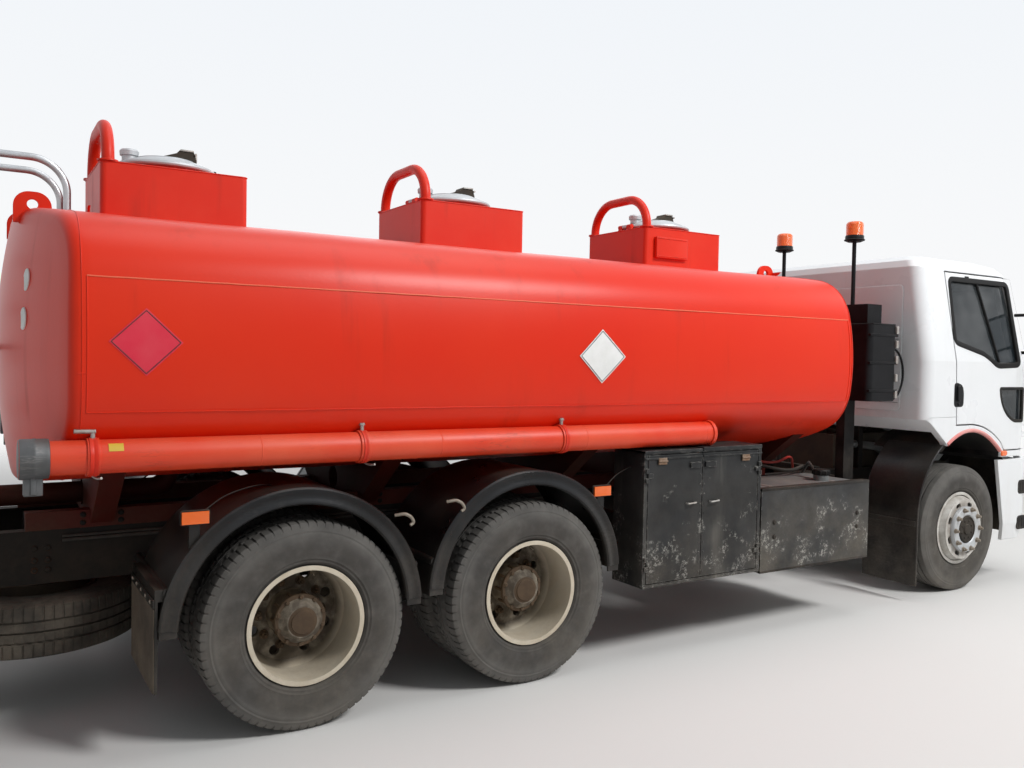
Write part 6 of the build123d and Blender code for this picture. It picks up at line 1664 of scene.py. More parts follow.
@dataclass
class Cab:
    """Everything added to the cab: window rubbers, handles, seams, lamps, wipers, lining and fittings."""

    sections: tuple[Point, ...] = ((1.1, 1.25, 4.255), (1.9, 1.25, 4.255), (2.65, 1.14, 4.005),
                                   (2.705, 1.1, 3.925))
    bow: float = 2.0
    rear: float = 2.375
    window: Pairs = ((2.77, 2.57), (2.765, 2.055), (3.165, 1.966), (3.35, 1.868), (3.675, 1.88),
                     (3.607, 2.57))
    kerb_arc: Pairs = ((3.635, 1.4), (3.47, 1.5), (3.397, 1.68))
    kerb_corner: Pairs = ((3.747, 1.68), (3.747, 1.4))
    arch: Pairs = ((2.665, 1.22), (3.047, 1.322), (3.425, 1.141))
    door: Pairs = ((3.665, 2.62), (2.72, 2.62), (2.785, 1.39), (2.935, 1.39), (3.08, 1.377), (3.215, 1.348),
                   (3.335, 1.295), (3.435, 1.225), (3.48, 1.16), (3.795, 1.16), (3.795, 1.88))
    seal: Pairs = ((0.006, -0.03), (0.006, -0.013), (0.0035, -0.009), (0.0006, -0.013), (0.0006, -0.03))
    screen: Extent = (1.905, 2.56, 1.06, 0.975)
    handle: Extent = (2.722, 2.868, 1.53, 1.728)
    intake: Extent = (1.82, 2.155, -1.13, -0.7)
    bumper_front: float = 4.325
    half_width: float = 1.25
    wiper_places: Pairs = ((-0.62, 0.58), (0.1, 0.58), (0.72, 0.4))
    dials: Values = (0.53, 0.64, 0.75)
    vents: Values = (-0.9, -0.5, 0.1, 0.97)
    wheel_hub: Point = (3.605, 0.64, 2.01)
    wheel_lean: float = 35
    wheel_radii: tuple[float, float] = (0.212, 0.019)
    mirror_y: float = 1.385
    mirror_plates: Pairs = ((2.085, 2.355), (1.95, 2.065))
    mirror_arms: Values = (1.99, 2.32)
    headlamps: Values = (-0.76, -0.915)
    bumper_grooves: Values = (0.6, 0.9)
    fog_lamps: Values = (-0.7, 0.7)
    step_panels: Pairs = ((0.455, 0.575), (0.765, 0.885))
    masts: Pairs = ((2.035, -0.8), (2.135, 0.0))
    intake_ribs: Values = (1.66, 1.875, 2.09)
    intake_clips: Values = (1.63, 1.76, 1.9, 2.02, 2.13)
    seat_x: float = 3.155
    seat_y: float = 0.64
    floor: float = 1.3803
    cushions: tuple[tuple[str, float, float, Point, float, int, float], ...] = (
        ("cushion", 0.005, 0.285, (0.49, 0.478, 0.12), 2.0, 4, 0.1),
        ("back", -0.27, 0.625, (0.66, 0.458, 0.105), -80.0, 5, 0.08),
        ("headrest", -0.335, 0.96, (0.16, 0.258, 0.088), -80.0, 0, 0.1))

    def flank(self, z: Array | float) -> Array:
        """Half width of the cab at a height, straight between its plan sections."""
        rows = np.array(self.sections)
        return np.interp(z, rows[:, 0], rows[:, 1])

    def front(self, y: Array | float, z: Array | float) -> Array:
        """Bowed front at a place: x = front(z) - R + sqrt(R^2 - y^2)."""
        rows = np.array(self.sections)
        return np.interp(z, rows[:, 0], rows[:, 2]) - self.bow + np.sqrt(self.bow**2 - np.asarray(y) ** 2)

    @staticmethod
    def dense(corners: Sequence[Sequence[float]], bend: float, step: float = 0.04) -> Array:
        """Closed outline whose corners are rounded and whose straight runs are split into short steps."""
        p = np.asarray(corners, float)
        threes = zip(np.roll(p, 1, 0), p, np.roll(p, -1, 0))
        curve = np.concatenate([bent(*three, bend, 6) for three in threes])
        out = []
        for a, b in zip(curve, np.roll(curve, -1, 0)):
            count = max(1, int(np.linalg.norm(b - a) / step))
            out.append(a + (b - a) * np.arange(count)[:, None] / count)
        return np.concatenate(out)

    def band(self, sketch: Sketch, outline: Array, place: Place, profile: Sequence[tuple[float, float]],
             share: Array | float = 1.0) -> None:
        """Strip along a closed outline.

        Args:
            sketch: where it goes.
            outline: rows of (a, b) on the surface.
            place: turns columns a, b and a lift above the skin into points.
            profile: rows of (reach beyond the outline, height above the skin) round the strip.
            share: how much of its reach and lift the strip has at each point of the outline.
        """
        edge = unit(np.roll(outline, -1, 0) - np.roll(outline, 1, 0))
        normal = np.column_stack([edge[:, 1], -edge[:, 0]])
        normal = normal if anticlockwise(outline) else -normal
        columns = []
        for reach, height in profile:
            moved = outline + normal * (reach * np.broadcast_to(share, len(outline)))[:, None]
            columns.append(place(moved[:, 0], moved[:, 1], height * share))
        sketch.grid(np.stack(columns, axis=1), wrap_u=True, wrap_v=True)

    @staticmethod
    def rubber(outward: float, inward: float, lift: float = 0.004) -> Pairs:
        """Profile of a window rubber, by its reach beyond and within the outline and its lift."""
        return ((outward, -0.003), (outward, lift * 0.6), (outward - 0.004, lift),
                (0.004 - inward, lift * 0.8), (-inward, 0.0), (-inward, -0.018))

    def on_flank(self, sign: int) -> Place:
        """Place function for one flank: x and z on the skin, lifted outwards."""
        return lambda x, z, lift: points(x, sign * (self.flank(z) + lift), z)

    def on_front(self, y: Array, z: Array, lift: Array | float) -> Array:
        """Place function for the bowed front: y and z on the skin, lifted forwards."""
        return points(self.front(y, z) + lift, y, z)

    @staticmethod
    def upright(sketch: Sketch, outline: Array, y: float, outwards: float, depth: float,
                bevel: float) -> None:
        """Plate from an outline of (x, z), standing at y and carried towards +Y or -Y."""
        sketch.prism(np.asarray(outline) * [-outwards, 1.0], (0, y, 0), (0, outwards, 0), depth, bevel,
                     (-outwards, 0, 0))

    def doors(self, paint: Paintbox) -> None:
        """Window rubbers, divider bars, handles, trims and inner cards of both doors."""
        for side in Side:
            sign, body = side.value, f"door_{side.word}"
            rubber, parts, card = Sketch(), Sketch(), Sketch()
            self.band(rubber, self.dense(self.window, 0.05), self.on_flank(sign), self.rubber(0.022, 0.02))
            edge = self.dense(self.door, 0.012)
            ahead = np.interp(edge[:, 1], (1.88, 2.62), (3.795, 3.665)) - edge[:, 0]
            self.band(rubber, edge, self.on_flank(sign), self.seal, np.clip(ahead / 0.14, 0.04, 1.0))
            if side is Side.RIGHT:
                self.band(rubber, self.kerb_curve(), self.on_flank(sign), self.rubber(0.012, 0.014))
            z = np.linspace(1.9, 2.56, 14)
            rubber.tube(points(3.385 - (z - 1.9) * 0.33, sign * (self.flank(z) - 0.012), z), 0.011, 8)
            rubber.made(f"window_rubber_{side.word}", paint.get("seal_rubber"), body, "black_plastic")
            x0, x1, z0, z1 = self.handle
            y = sign * self.half_width
            middle = ((x0 + x1) / 2, (z0 + z1) / 2)
            pocket = np.array([[-0.06, -0.098], [0.07, -0.098], [0.073, 0.02], [0.055, 0.075], [0.0, 0.098],
                               [-0.06, 0.098]]) + middle
            self.upright(parts, self.dense(pocket, 0.035, 0.02), y - sign * 0.012, sign, 0.016, 0.004)
            flap = rounded_rectangle(0.052, 0.128, 0.022)
            parts.prism(flap, (middle[0] - 0.006, y + sign * 0.003, middle[1] + 0.012), (0, sign, 0), 0.016,
                        0.006, (1, 0, 0))
            parts.turned([[0.0, 0.0], [0.013, 0.0], [0.013, 0.006], [0.01, 0.009], [0.0, 0.009]],
                         (middle[0], y + sign * 0.003, z0 + 0.024), (0, sign, 0), 20)
            lamp = rounded_rectangle(0.055, 0.016, 0.006)
            parts.prism(lamp, (3.02, sign * (float(self.flank(2.596)) - 0.004), 2.596), (0, sign, 0), 0.008,
                        0.002, (1, 0, 0))
            parts.made(f"door_handle_{side.word}", paint.get("black_plastic"), body, "black_plastic")
            step = [(3.72, 1.8)] if side is Side.LEFT else [(3.72, 1.44), (3.4, 1.7), (3.4, 1.8)]
            inner = [(2.83, 1.46), (3.3, 1.46), (3.48, 1.3), (3.7, 1.3), *step, (3.3, 1.82), (3.12, 1.92),
                     (2.83, 1.98)]
            self.upright(card, self.dense(inner, 0.04), sign * 1.1945, -sign, 0.012, 0.004)
            rest = [(2.9, sign * 1.18, 1.66), (2.9, sign * 1.13, 1.68), (3.26, sign * 1.13, 1.7),
                    (3.26, sign * 1.18, 1.7)]
            card.tube(rounded_route(rest, 0.04), 0.022, 12)
            card.made(f"door_card_{side.word}", paint.get("cab_inside"), body, "dash_plastic")

    def kerb_curve(self) -> Array:
        """Outline of the low kerb window: an arc through three points, then its straight corners.

        The arc's centre is as far from the first point as from the two others: 2 (b - a) centre = b^2 - a^2.
        """
        a, b, c = (np.array(p) for p in self.kerb_arc)
        centre = np.linalg.solve(2 * np.array([b - a, c - a]), [b @ b - a @ a, c @ c - a @ a])
        turn = [math.atan2(*(p - centre)[::-1]) for p in (a, c)]
        turn[1] += TAU if turn[1] - turn[0] > math.pi else 0.0
        sweep = np.linspace(turn[0], turn[1] if turn[1] < turn[0] else turn[1] - TAU, 14)
        curve = centre + np.linalg.norm(a - centre) * np.column_stack([np.cos(sweep), np.sin(sweep)])
        return self.dense([*curve, *self.kerb_corner], 0.012)

    def arch_line(self, t: Array) -> tuple[Array, Array]:
        """Wheel arch's x and z: the parabola through its three points, t from -1 to 1 along it."""
        (x0, z0), (x1, z1), (x2, z2) = self.arch
        return x1 + t * (x2 - x0) / 2, z1 - (z1 - (z0 + z2) / 2) * t**2 + (z2 - z0) / 2 * t

    def shell_trim(self, paint: Paintbox) -> None:
        """Screen rubber, arch lips and liners, rear wall panel, seams, grab rails, kerb mirror and wipers."""
        rubber, body, dark, lip = Sketch(), Sketch(), Sketch(), Sketch()
        z0, z1, low, high = self.screen
        outline = self.dense([(-low, z0), (low, z0), (high, z1), (-high, z1)], 0.05)
        self.band(rubber, outline, self.on_front, self.rubber(0.014, 0.03))
        rubber.made("screen_rubber", paint.get("seal_rubber"), "cab", "black_plastic")
        for sign in (1, -1):
            x, z = self.arch_line(np.linspace(-1, 1, 31))
            lip.tube(points(x, sign * 1.246, z + 0.012), 0.016, 10)
            body.tube(points(np.array([2.4, 2.7, 2.8]), sign * 1.2505, 1.452), 0.002, 5)
            grab = rounded_route([(3.86, sign * 1.215, 1.46), (3.86, sign * 1.262, 1.46),
                                  (3.86, sign * 1.262, 1.84), (3.86, sign * 1.215, 1.84)], 0.03)
            dark.tube(grab, 0.011, 12)
        x = self.rear
        body.prism(rounded_rectangle(2.04, 1.02, 0.04), (x + 0.002, 0, 2.0), (-1, 0, 0), 0.008, 0.005,
                   (0, 1, 0))
        for z in (1.56, 2.07):
            body.tube([[x - 0.006, -1.0, z], [x - 0.006, 1.0, z]], 0.003, 6)
        body.made("cab_body_trim", paint.get("cab_paint"), "cab", "cab_white")
        lip.made("arch_lips", paint.get("arch_lip_pink"), "cab", "cab_white")
        for sign in (1, -1):
            x, z = self.arch_line(np.linspace(-1.16, 1.2, 33))
            sheet = np.stack([points(x, sign * y, z - 0.007 + lift)
                              for y, lift in ((1.238, 0.0), (1.238, 0.003), (0.62, 0.003), (0.62, 0.0))],
                             axis=1)
            dark.grid(sheet, wrap_v=True, cap_start=True, cap_end=True)
            dark.block((3.4195, sign * 0.62, 1.0985), (3.4255, sign * 1.236, 1.15), 0.001)
        stub = rounded_route([(3.87, -1.24, 1.86), (3.91, -1.3, 1.87), (3.93, -1.32, 1.84)], 0.03)
        dark.tube(stub, 0.01, 10)
        head = np.array([(-0.055, -0.075), (0.055, -0.075), (0.065, 0.0), (0.04, 0.075),
                         (-0.04, 0.075)]) + [3.93, 1.775]
        self.upright(dark, self.dense(head, 0.03, 0.02), -1.335, -1, 0.045, 0.016)
        dark.made("grab_rails", paint.get("black_plastic"), "cab", "black_plastic")
        wipers = Sketch()
        for y, reach in self.wiper_places:
            hub = (float(self.front(y, 1.872)) - 0.004, y, 1.872)
            wipers.turned([[0.0, 0.0], [0.022, 0.0], [0.022, 0.014], [0.014, 0.022], [0.0, 0.022]], hub,
                          (1, 0, 0.3), 20)
            t = np.linspace(0, 1, 10)
            ay, az = y + reach * 0.86 * t, 1.878 + 0.09 * t
            wipers.tube(self.on_front(ay, az, 0.024), 0.006, 8)
            by, bz = y + 0.1 + reach * t, 1.905 + 0.1 * t
            wipers.tube(self.on_front(by, bz, 0.01), 0.0075, 6)
        wipers.made("wipers", paint.get("black_plastic"), "cab", "black_plastic")

    def lining(self, paint: Paintbox) -> None:
        """Dark lining of the rear wall, roof and floor, and the sun blinds."""
        lining = Sketch()
        wall = self.dense([(-1.1, 1.52), (1.1, 1.52), (1.1, 1.9), (1.02, 2.5), (-1.02, 2.5), (-1.1, 1.9)],
                          0.06)
        lining.prism(wall, (self.rear + 0.062, 0, 0), (1, 0, 0), 0.008, 0.003, (0, 1, 0))
        roof = rounded_rectangle(1.1, 1.8, 0.1)
        lining.prism(roof, (3.16, 0.0, 2.668), (0, 0, -1), 0.01, 0.004, (1, 0, 0))
        lining.prism(rounded_rectangle(0.78, 2.1, 0.03), (3.07, 0.0, 1.3795), (0, 0, 1), 0.006, 0.002,
                     (1, 0, 0))
        for y in (-0.55, 0.55):
            lining.prism(rounded_rectangle(0.17, 0.66, 0.03), (3.66, y, 2.56), (0.35, 0, -1), 0.014, 0.005,
                         (1, 0, 0.3))
        lining.made("cab_lining", paint.get("cab_inside"), "cab", "dash_plastic")

    def dash(self, paint: Paintbox) -> None:
        """Instrument hood with dials, switch banks, vents, steering wheel grip, its levers and gear lever."""
        dark, pale = Sketch(), Sketch()
        hood = [(3.96, 1.865), (3.735, 1.78), (3.712, 1.8), (3.745, 1.955), (3.8, 1.99), (3.9, 1.985),
                (3.96, 1.9)]
        self.upright(dark, self.dense(hood, 0.02), 0.43, 1, 0.42, 0.008)
        face = np.array([-0.982, 0.0, 0.19])
        for y in self.dials:
            centre = np.array([3.7265, y, 1.878])
            dark.turned([[0.046, 0.0], [0.052, 0.0], [0.052, 0.01], [0.046, 0.012]], centre, face, 32,
                        wrap=True)
            pale.turned([[0.0, -0.002], [0.045, -0.002], [0.045, 0.002], [0.0, 0.002]], centre, face, 32)
            dark.prism([[-0.002, 0.0], [0.002, 0.0], [0.0006, 0.034], [-0.0006, 0.034]],
                       centre + unit(face) * 0.002, face, 0.002, 0.0, (0, 1, 0.4))
        for y in self.vents:
            for k in range(5):
                dark.block((3.734, y - 0.07, 1.7 + 0.018 * k), (3.748, y + 0.07, 1.708 + 0.018 * k), 0.002)
        for k in range(6):
            dark.block((3.736, 0.2 + 0.038 * k, 1.69), (3.748, 0.228 + 0.038 * k, 1.735), 0.003)
        hub, lean = np.array(self.wheel_hub), math.radians(self.wheel_lean)
        axis = np.array([-math.sin(lean), 0.0, math.cos(lean)])
        dark.turned([[0.0, 0.008], [0.072, 0.008], [0.076, 0.016], [0.06, 0.032], [0.0, 0.04]], hub, axis, 36)
        large, small = self.wheel_radii
        ring = [[large + small * math.cos(a), small * math.sin(a)] for a in np.linspace(0, TAU, 12, False)]
        dark.turned(ring, hub, axis, 72, wrap=True)
        for sign in (1, -1):
            lever = hub - axis * 0.09
            dark.tube(np.array([lever + [0, sign * 0.03, 0], lever + [-0.01, sign * 0.17, 0.02]]), 0.008, 8)
        dark.tube(rounded_route([(3.5, 0.18, 1.38), (3.47, 0.18, 1.62), (3.44, 0.2, 1.7)], 0.06), 0.012, 10)
        dark.turned([[0.0, -0.02], [0.02, -0.02], [0.028, 0.01], [0.024, 0.035], [0.0, 0.045]],
                    (3.44, 0.2, 1.7), (0, 0, 1), 20)
        dark.made("dash_fittings", paint.get("dash_plastic"), "cab", "dash_plastic")
        pale.made("dial_faces", paint.get("placard_white"), "cab", "dash_plastic")

    def mirror_trim(self, paint: Paintbox) -> None:
        """Glass, rims and arm clamps of both mirrors."""
        glass, rims = Sketch(), Sketch()
        for z0, z1 in self.mirror_plates:
            plate = rounded_rectangle(0.178, z1 - z0, 0.02)
            glass.prism(plate, (3.8405, -self.mirror_y, (z0 + z1) / 2), (-1, 0, 0), 0.004, 0.0015, (0, 1, 0))
            ring = self.dense(rounded_rectangle(0.184, z1 - z0 + 0.006, 0.022), 0.001)
            rims.tube(points(3.838, ring[:, 0] - self.mirror_y, ring[:, 1] + (z0 + z1) / 2), 0.0045, 6,
                      closed=True)
        for z in self.mirror_arms:
            rims.turned([[0.014, -0.02], [0.02, -0.018], [0.02, 0.018], [0.014, 0.02]], (3.885, -1.245, z),
                        (0, 1, 0), 20, wrap=True)
        glass.mirrored().made("mirror_faces", paint.get("mirror_face"), "cab", "black_plastic")
        rims.mirrored().made("mirror_rims", paint.get("black_plastic"), "cab", "black_plastic")

    def bumper_trim(self, paint: Paintbox) -> None:
        """Lamp bowls, fog lamps, grooves, step treads, the amber side lamps and the blank front plate."""
        bowls, dark, amber, plate = Sketch(), Sketch(), Sketch(), Sketch()
        bowl = [[0.01, -0.045], [0.04, -0.034], [0.062, -0.01], [0.066, 0.0], [0.07, 0.0], [0.068, -0.016],
                [0.044, -0.042], [0.01, -0.053]]
        for y in self.headlamps:
            x = self.bumper_front - self.bow + math.sqrt(self.bow**2 - y**2) - 0.02
            bowls.turned(bowl, (x, y, 0.735), (1, 0.3 * y, 0), 36, wrap=True)
            bowls.turned([[0.0, -0.046], [0.011, -0.046], [0.011, -0.02], [0.0, -0.012]], (x, y, 0.735),
                         (1, 0.3 * y, 0), 16)
        bowls.mirrored().made("lamp_bowls", paint.get("lamp_reflector"), "chassis", "lamp_glass")
        for z in self.bumper_grooves:
            y = np.linspace(-1.04, 1.04, 41)
            dark.tube(points(self.bumper_x(y, z) - 0.006, y, z), 0.006, 6)
        for y in self.fog_lamps:
            x = float(self.bumper_x(y, 0.56))
            dark.turned([[0.0, 0.0], [0.062, 0.0], [0.068, 0.004], [0.068, 0.012], [0.058, 0.016],
                         [0.052, 0.006], [0.0, 0.006]], (x - 0.004, y, 0.56), (1, 0.3 * y, 0), 36)
        for z in np.linspace(0.535, 0.645, 5):
            y = np.linspace(-0.42, 0.42, 15)
            dark.tube(points(self.bumper_x(y, z) - 0.016, y, z), 0.006, 6)
        for sign in (1, -1):
            for z0, z1 in self.step_panels:
                panel = rounded_rectangle(0.3, z1 - z0, 0.03)
                dark.prism(panel, (3.875, sign * 1.238, (z0 + z1) / 2), (0, sign, 0), 0.009, 0.003, (1, 0, 0))
                for k in range(6):
                    x = 3.765 + 0.044 * k
                    dark.block((x - 0.006, sign * 1.246, z0 + 0.02), (x + 0.006, sign * 1.2495, z1 - 0.02),
                               0.002)
            dark.block((3.7, sign * 0.62, 0.43), (3.708, sign * 1.212, 1.045), 0.003)
        dark.made("bumper_fittings", paint.get("black_plastic"), "chassis", "black_plastic")
        amber.prism(rounded_rectangle(0.085, 0.045, 0.015), (3.475, -1.245, 1.13), (0, -1, 0), 0.018, 0.007,
                    (1, 0, 0))
        amber.mirrored().made("side_repeaters", paint.get("amber_lens"), "cab", "amber")
        plate.prism(rounded_rectangle(0.52, 0.112, 0.01), (float(self.bumper_x(0, 0.46)) + 0.0015, 0, 0.455),
                    (1, 0, 0), 0.003, 0.001, (0, 1, 0))
        plate.made("blank_front_plate", paint.get("placard_white"), "chassis", "cab_white")

    def bumper_x(self, y: Array | float, z: float) -> Array:
        """Front of the bumper: its own bow, set back by up to 40 mm below z = 0.52."""
        front = self.bumper_front - 0.04 * np.clip((0.52 - z) / 0.14, 0, 1)
        return front - self.bow + np.sqrt(self.bow**2 - np.asarray(y) ** 2)

    def beacons(self, paint: Paintbox) -> None:
        """Stepped base and reflector of each beacon, and the intake's ribs, clips and hoop."""
        base, bulb, clips = Sketch(), Sketch(), Sketch()
        profile = [[0.016, -0.012], [0.05, -0.012], [0.078, 0.000], [0.08, 0.006], [0.072, 0.012],
                   [0.072, 0.034], [0.068, 0.04], [0.04, 0.04], [0.016, 0.038]]
        for x, y in self.masts:
            base.turned(profile, (x, y, 2.85), (0, 0, 1), 36, wrap=True)
            bulb.turned([[0.0, 0.0], [0.03, 0.0], [0.034, 0.05], [0.012, 0.07], [0.01, 0.085], [0.0, 0.087]],
                        (x, y, 2.884), (0, 0, 1), 20)
        x0, x1, y0, y1 = self.intake
        for z in self.intake_ribs:
            base.block((x0 - 0.002, y0 - 0.006, z - 0.01), (x1 + 0.002, y0 + 0.02, z + 0.01), 0.003)
        base.block((x0 + 0.03, y0 - 0.003, 2.166), (x1 - 0.03, y1 - 0.03, 2.178), 0.004)
        for z in self.intake_clips:
            clips.block((2.132, -1.14, z - 0.03), (2.16, -1.105, z + 0.03), 0.004)
            clips.tube([[2.161, -1.125, z - 0.024], [2.161, -1.125, z + 0.024]], 0.005, 6)
        a = np.linspace(-0.46 * math.pi, 0.46 * math.pi, 25)
        base.tube(points(2.15 + 0.15 * np.cos(a), -1.085, 1.79 + 0.2 * np.sin(a)), 0.009, 8)
        base.made("beacon_bases", paint.get("black_plastic"), "chassis", "black_plastic")
        bulb.made("beacon_reflectors", paint.get("lamp_reflector"), "chassis", "amber")
        clips.made("intake_clips", paint.get("strap_steel"), "chassis", "black_plastic")

    def pad(self, sketch: Sketch, centre: Sequence[float], size: Sequence[float], lean: float,
            channels: int, crown: float) -> None:
        """Crowned pad with sewn channels.

        A box with rounded sides, |a|^6 + |b|^6 = 1 in plan, closed over with thickness (1 - s^4)^(1/2),
        where s runs from the middle to the seam. The face side is raised by the crown and pressed in along
        the channels.

        Args:
            sketch: where it goes.
            centre: middle of the pad.
            size: length along the face, width across the truck, thickness.
            lean: turn about Y in degrees; at zero the face looks up.
            channels: sewn lines across the face.
            crown: height of the crown over the seams.
        """
        rings = 26
        s = np.concatenate([np.linspace(0, 1, rings), np.linspace(1, 0, rings)[1:]])[:, None]
        face = np.concatenate([np.ones(rings), -np.ones(rings - 1)])[:, None]
        a = turns(64)[None, :]
        grow = (np.abs(np.cos(a)) ** 6 + np.abs(np.sin(a)) ** 6) ** (-1 / 6)
        u, v = s * grow * np.cos(a), s * grow * np.sin(a)
        edge = np.sqrt(np.clip(1 - s**6, 0, 1))
        press = np.zeros_like(u)
        for k in range(channels):
            at = -0.62 + 1.24 * k / max(channels - 1, 1)
            press += np.exp(-(((u - at) / 0.035) ** 2)) * (np.abs(v) < 0.86)
        side_seams = np.exp(-(((np.abs(v) - 0.72) / 0.035) ** 2)) * (np.abs(u) < 0.9)
        top = edge * (0.5 + crown * (1 - np.clip(u**2, 0, 1)) * (1 - np.clip(v**2, 0, 1)) - 0.07 * press
                      - 0.06 * side_seams)
        t = np.where(face > 0, top, -0.5 * edge)
        pull = 1 - 0.02 * (1 - np.abs(t))
        local = points(u * size[0] / 2 * pull, v * size[1] / 2 * pull, t * size[2])
        angle = math.radians(lean)
        x = local[..., 0] * math.cos(angle) - local[..., 2] * math.sin(angle)
        z = local[..., 0] * math.sin(angle) + local[..., 2] * math.cos(angle)
        sketch.grid(np.asarray(centre) + points(x, local[..., 1], z), wrap_v=True)

    def seats(self, paint: Paintbox) -> None:
        """Both seats as padded cushions, backs and headrests on firm bases, in place of the solid seats."""
        base = Sketch()
        for side in Side:
            y = side.value * self.seat_y
            base.block((self.seat_x - 0.18, y - 0.17, self.floor),
                       (self.seat_x + 0.18, y + 0.17, self.floor + 0.205), 0.02)
            base.block((self.seat_x - 0.225, y - 0.215, self.floor + 0.2),
                       (self.seat_x + 0.235, y + 0.215, self.floor + 0.235), 0.012)
            for sign in (1, -1):
                base.tube([[self.seat_x - 0.345, y + sign * 0.06, 2.2],
                           [self.seat_x - 0.325, y + sign * 0.06, 2.32]], 0.007, 8)
            for kind, dx, dz, size, lean, channels, crown in self.cushions:
                pad = Sketch()
                self.pad(pad, (self.seat_x + dx, y, self.floor + dz), size, lean, channels, crown)
                piece = pad.made(f"seat_{kind}_{side.word}", paint.get("seat_cloth"), "cab", "seat_fabric",
                                 60.0)
        base.made("seat_bases", paint.get("dash_plastic"), "cab", "seat_fabric", 35.0, ["seats"])

    def build(self, paint: Paintbox) -> None:
        """Make everything on and in the cab."""
        self.doors(paint)
        self.shell_trim(paint)
        self.lining(paint)
        self.dash(paint)
        self.mirror_trim(paint)
        self.bumper_trim(paint)
        self.beacons(paint)
        self.seats(paint)


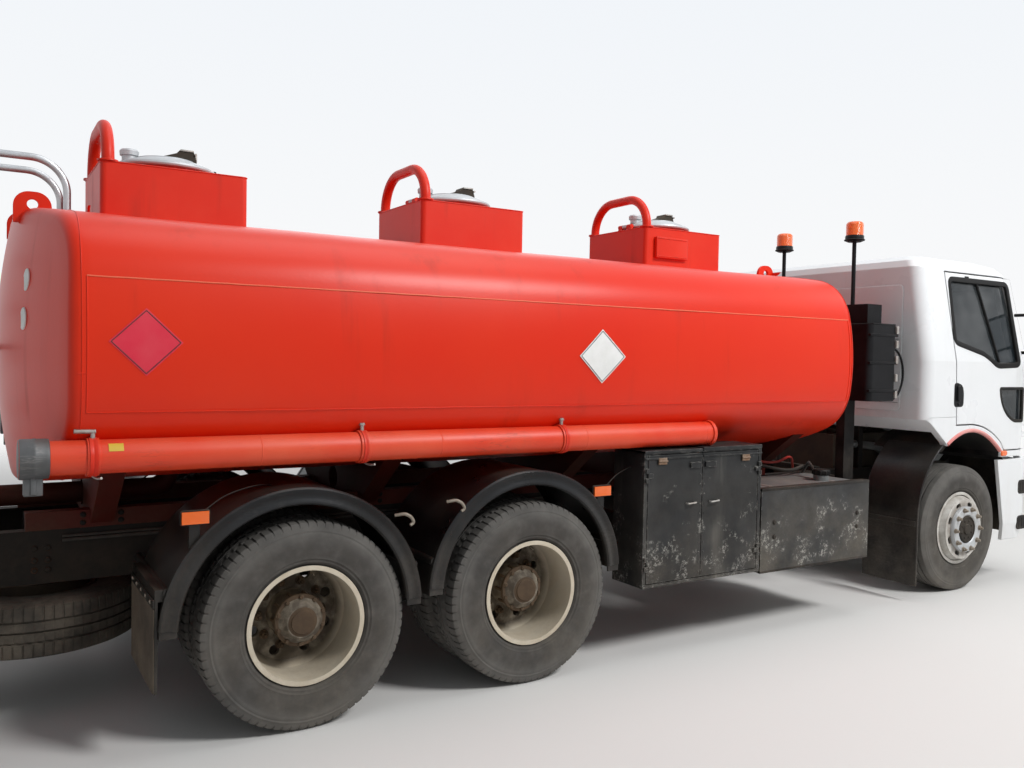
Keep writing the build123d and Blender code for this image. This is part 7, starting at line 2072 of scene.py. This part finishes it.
class Studio:
    """Floor, soft light and the camera at the photograph's viewing angle."""

    lens = 31.0
    eye = (-4.01, -5.406, 1.861)
    yaw = 31.71
    pitch = -1.7
    roll = 1.08
    ambient = 0.26
    floor_fade = (7.0, 16.0)
    lamps = (("key", (4.0, -9.0, 10.0), 3.5, 1180.0), ("front", (11.0, -2.0, 6.0), 6.0, 140.0),
             ("far", (3.0, 11.0, 8.0), 10.0, 220.0), ("top", (1.0, -1.0, 12.0), 8.0, 340.0))
    lamps_aim = (0.0, 0.0, 0.8)

    def camera(self) -> None:
        """Make the camera: it looks along (sin a cos p, cos a cos p, sin p), then rolls about that line."""
        data = bpy.data.cameras.new("camera")
        data.sensor_width = 36.0
        data.lens = self.lens
        data.clip_end = 200.0
        a, p, r = (math.radians(v) for v in (self.yaw, self.pitch, self.roll))
        forward = Vector((math.sin(a) * math.cos(p), math.cos(a) * math.cos(p), math.sin(p)))
        right = Vector((math.cos(a), -math.sin(a), 0.0))
        up = right.cross(forward)
        right, up = right * math.cos(r) + up * math.sin(r), up * math.cos(r) - right * math.sin(r)
        turn = Matrix((right, up, -forward)).transposed()
        camera = bpy.data.objects.new("camera", data)
        camera.matrix_world = Matrix.Translation(Vector(self.eye)) @ turn.to_4x4()
        bpy.context.scene.collection.objects.link(camera)
        bpy.context.scene.camera = camera

    def floor(self) -> None:
        """Pale round floor that fades into the backdrop away from the truck."""
        sketch = Sketch()
        sketch.turned([[0.0, 0.0], [60.0, 0.0]], (0, 0, -0.0005), (0, 0, 1), 64)
        mesh = bpy.data.meshes.new("studio_floor")
        mesh.from_pydata(np.concatenate(sketch.points).tolist(), [], sketch.faces)
        floor = bpy.data.objects.new("studio_floor", mesh)
        bpy.context.scene.collection.objects.link(floor)
        material = bpy.data.materials.new("studio_floor")
        material.use_nodes = True
        surface = material.node_tree.nodes["Principled BSDF"]
        surface.inputs["Base Color"].default_value = (0.74, 0.73, 0.71, 1.0)
        surface.inputs["Roughness"].default_value = 0.95
        w = Wiring(material.node_tree)
        away = w.node("VectorMath", {0: w.node("TexCoord").outputs["Object"]}, operation="LENGTH")
        shown = w.ramp(away.outputs["Value"], *self.floor_fade, 1.0, 0.0)
        w.tree.links.new(shown, surface.inputs["Alpha"])
        mesh.materials.append(material)

    def light(self) -> None:
        """Large soft lamps and a pale world that is white to the camera, to gloss and to glass."""
        for name, place, size, power in self.lamps:
            data = bpy.data.lights.new(name, "AREA")
            data.shape, data.size, data.energy = "DISK", size, power
            lamp = bpy.data.objects.new(name, data)
            towards = (Vector(self.lamps_aim) - Vector(place)).to_track_quat("-Z", "Y")
            lamp.matrix_world = Matrix.Translation(Vector(place)) @ towards.to_matrix().to_4x4()
            bpy.context.scene.collection.objects.link(lamp)
        world = bpy.data.worlds.new("studio")
        bpy.context.scene.world = world
        world.use_nodes = True
        world.node_tree.nodes.clear()
        w = Wiring(world.node_tree)
        path = w.node("LightPath").outputs
        seen = w.math("MAXIMUM", path["Is Camera Ray"],
                      w.math("MAXIMUM", path["Is Glossy Ray"], path["Is Transmission Ray"]))
        height = w.node("SeparateXYZ", {0: w.node("TexCoord").outputs["Generated"]}).outputs[2]
        sky = w.mix(w.ramp(height, -0.1, 0.6), (0.96, 0.96, 0.96), (0.86, 0.9, 0.95))
        strength = w.math("ADD", w.times(seen, 1.0 - self.ambient), self.ambient)
        background = w.node("Background", {"Color": sky, "Strength": strength})
        out = w.node("OutputWorld")
        w.tree.links.new(background.outputs[0], out.inputs[0])

    def build(self) -> None:
        """Set the stage and the plain view transform."""
        bpy.context.scene.view_settings.view_transform = "Standard"
        self.camera()
        self.floor()
        self.light()


NODE_FINISHES = {
    "saddle_red_shaded": ("saddles", "outlet_pipe"),
    "tank_paint": ("lifting_lugs",),
    "hatch_paint": ("hatch_box_rear", "hatch_box_middle", "hatch_box_front"),
    "tube_paint": ("hose_tubes",),
    "frame_paint": ("frame", "springs", "battery_box"),
    "chassis_casting": ("drive_axles", "engine", "front_axle", "knuckle_left", "knuckle_right", "track_rod"),
    "locker_paint": ("cabinet", "cabinet_door_rear", "cabinet_door_front"),
    "guard_paint": ("fuel_guard",),
    "mudguard_plastic": ("mudguards_left", "mudguards_right"),
    "black_plastic": ("air_intake", "beacon_masts", "grille", "mirrors"),
    "cab_paint": ("cab_shell", "door_left", "door_right", "bumper"),
    "lid_metal": ("lid_rear", "lid_middle", "lid_front"),
    "ladder_steel": ("rear_ladder",),
    "fuel_grey": ("fuel_tank", "air_tanks"),
    "amber_lens": ("amber_lamps",),
    "red_lens": ("tail_lamps",),
    "lamp_glass": ("headlamps",),
    "cab_glass": ("windscreen", "door_glass_left", "door_glass_right"),
    "seat_cloth": ("seats",),
    "dash_plastic": ("dashboard",),
}


def corners(box: tuple[Vector, Vector]) -> list[list[float]]:
    """A box as plain lists of numbers."""
    return [[float(v) for v in corner] for corner in box]


def main() -> None:
    """Load the frame, dress it and build the pieces round it in order."""
    logging.basicConfig(level=logging.INFO, format="%(name)s: %(message)s")
    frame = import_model()
    nodes = frame["nodes"]
    paint = Paintbox()
    Studio().build()
    for finish, names in NODE_FINISHES.items():
        for name in names:
            dress(nodes[name], paint.get(finish))
    wheels = Wheels()
    wheels.tyres(paint)
    wheels.rims(paint, nodes)
    shell = TankShell()
    shell.build(paint)
    Hatches().build(paint, shell)
    HoseTubes().build(paint)
    SideGear().build(paint)
    Running().build(paint)
    Cab().build(paint)


if __name__ == "__main__":
    main()
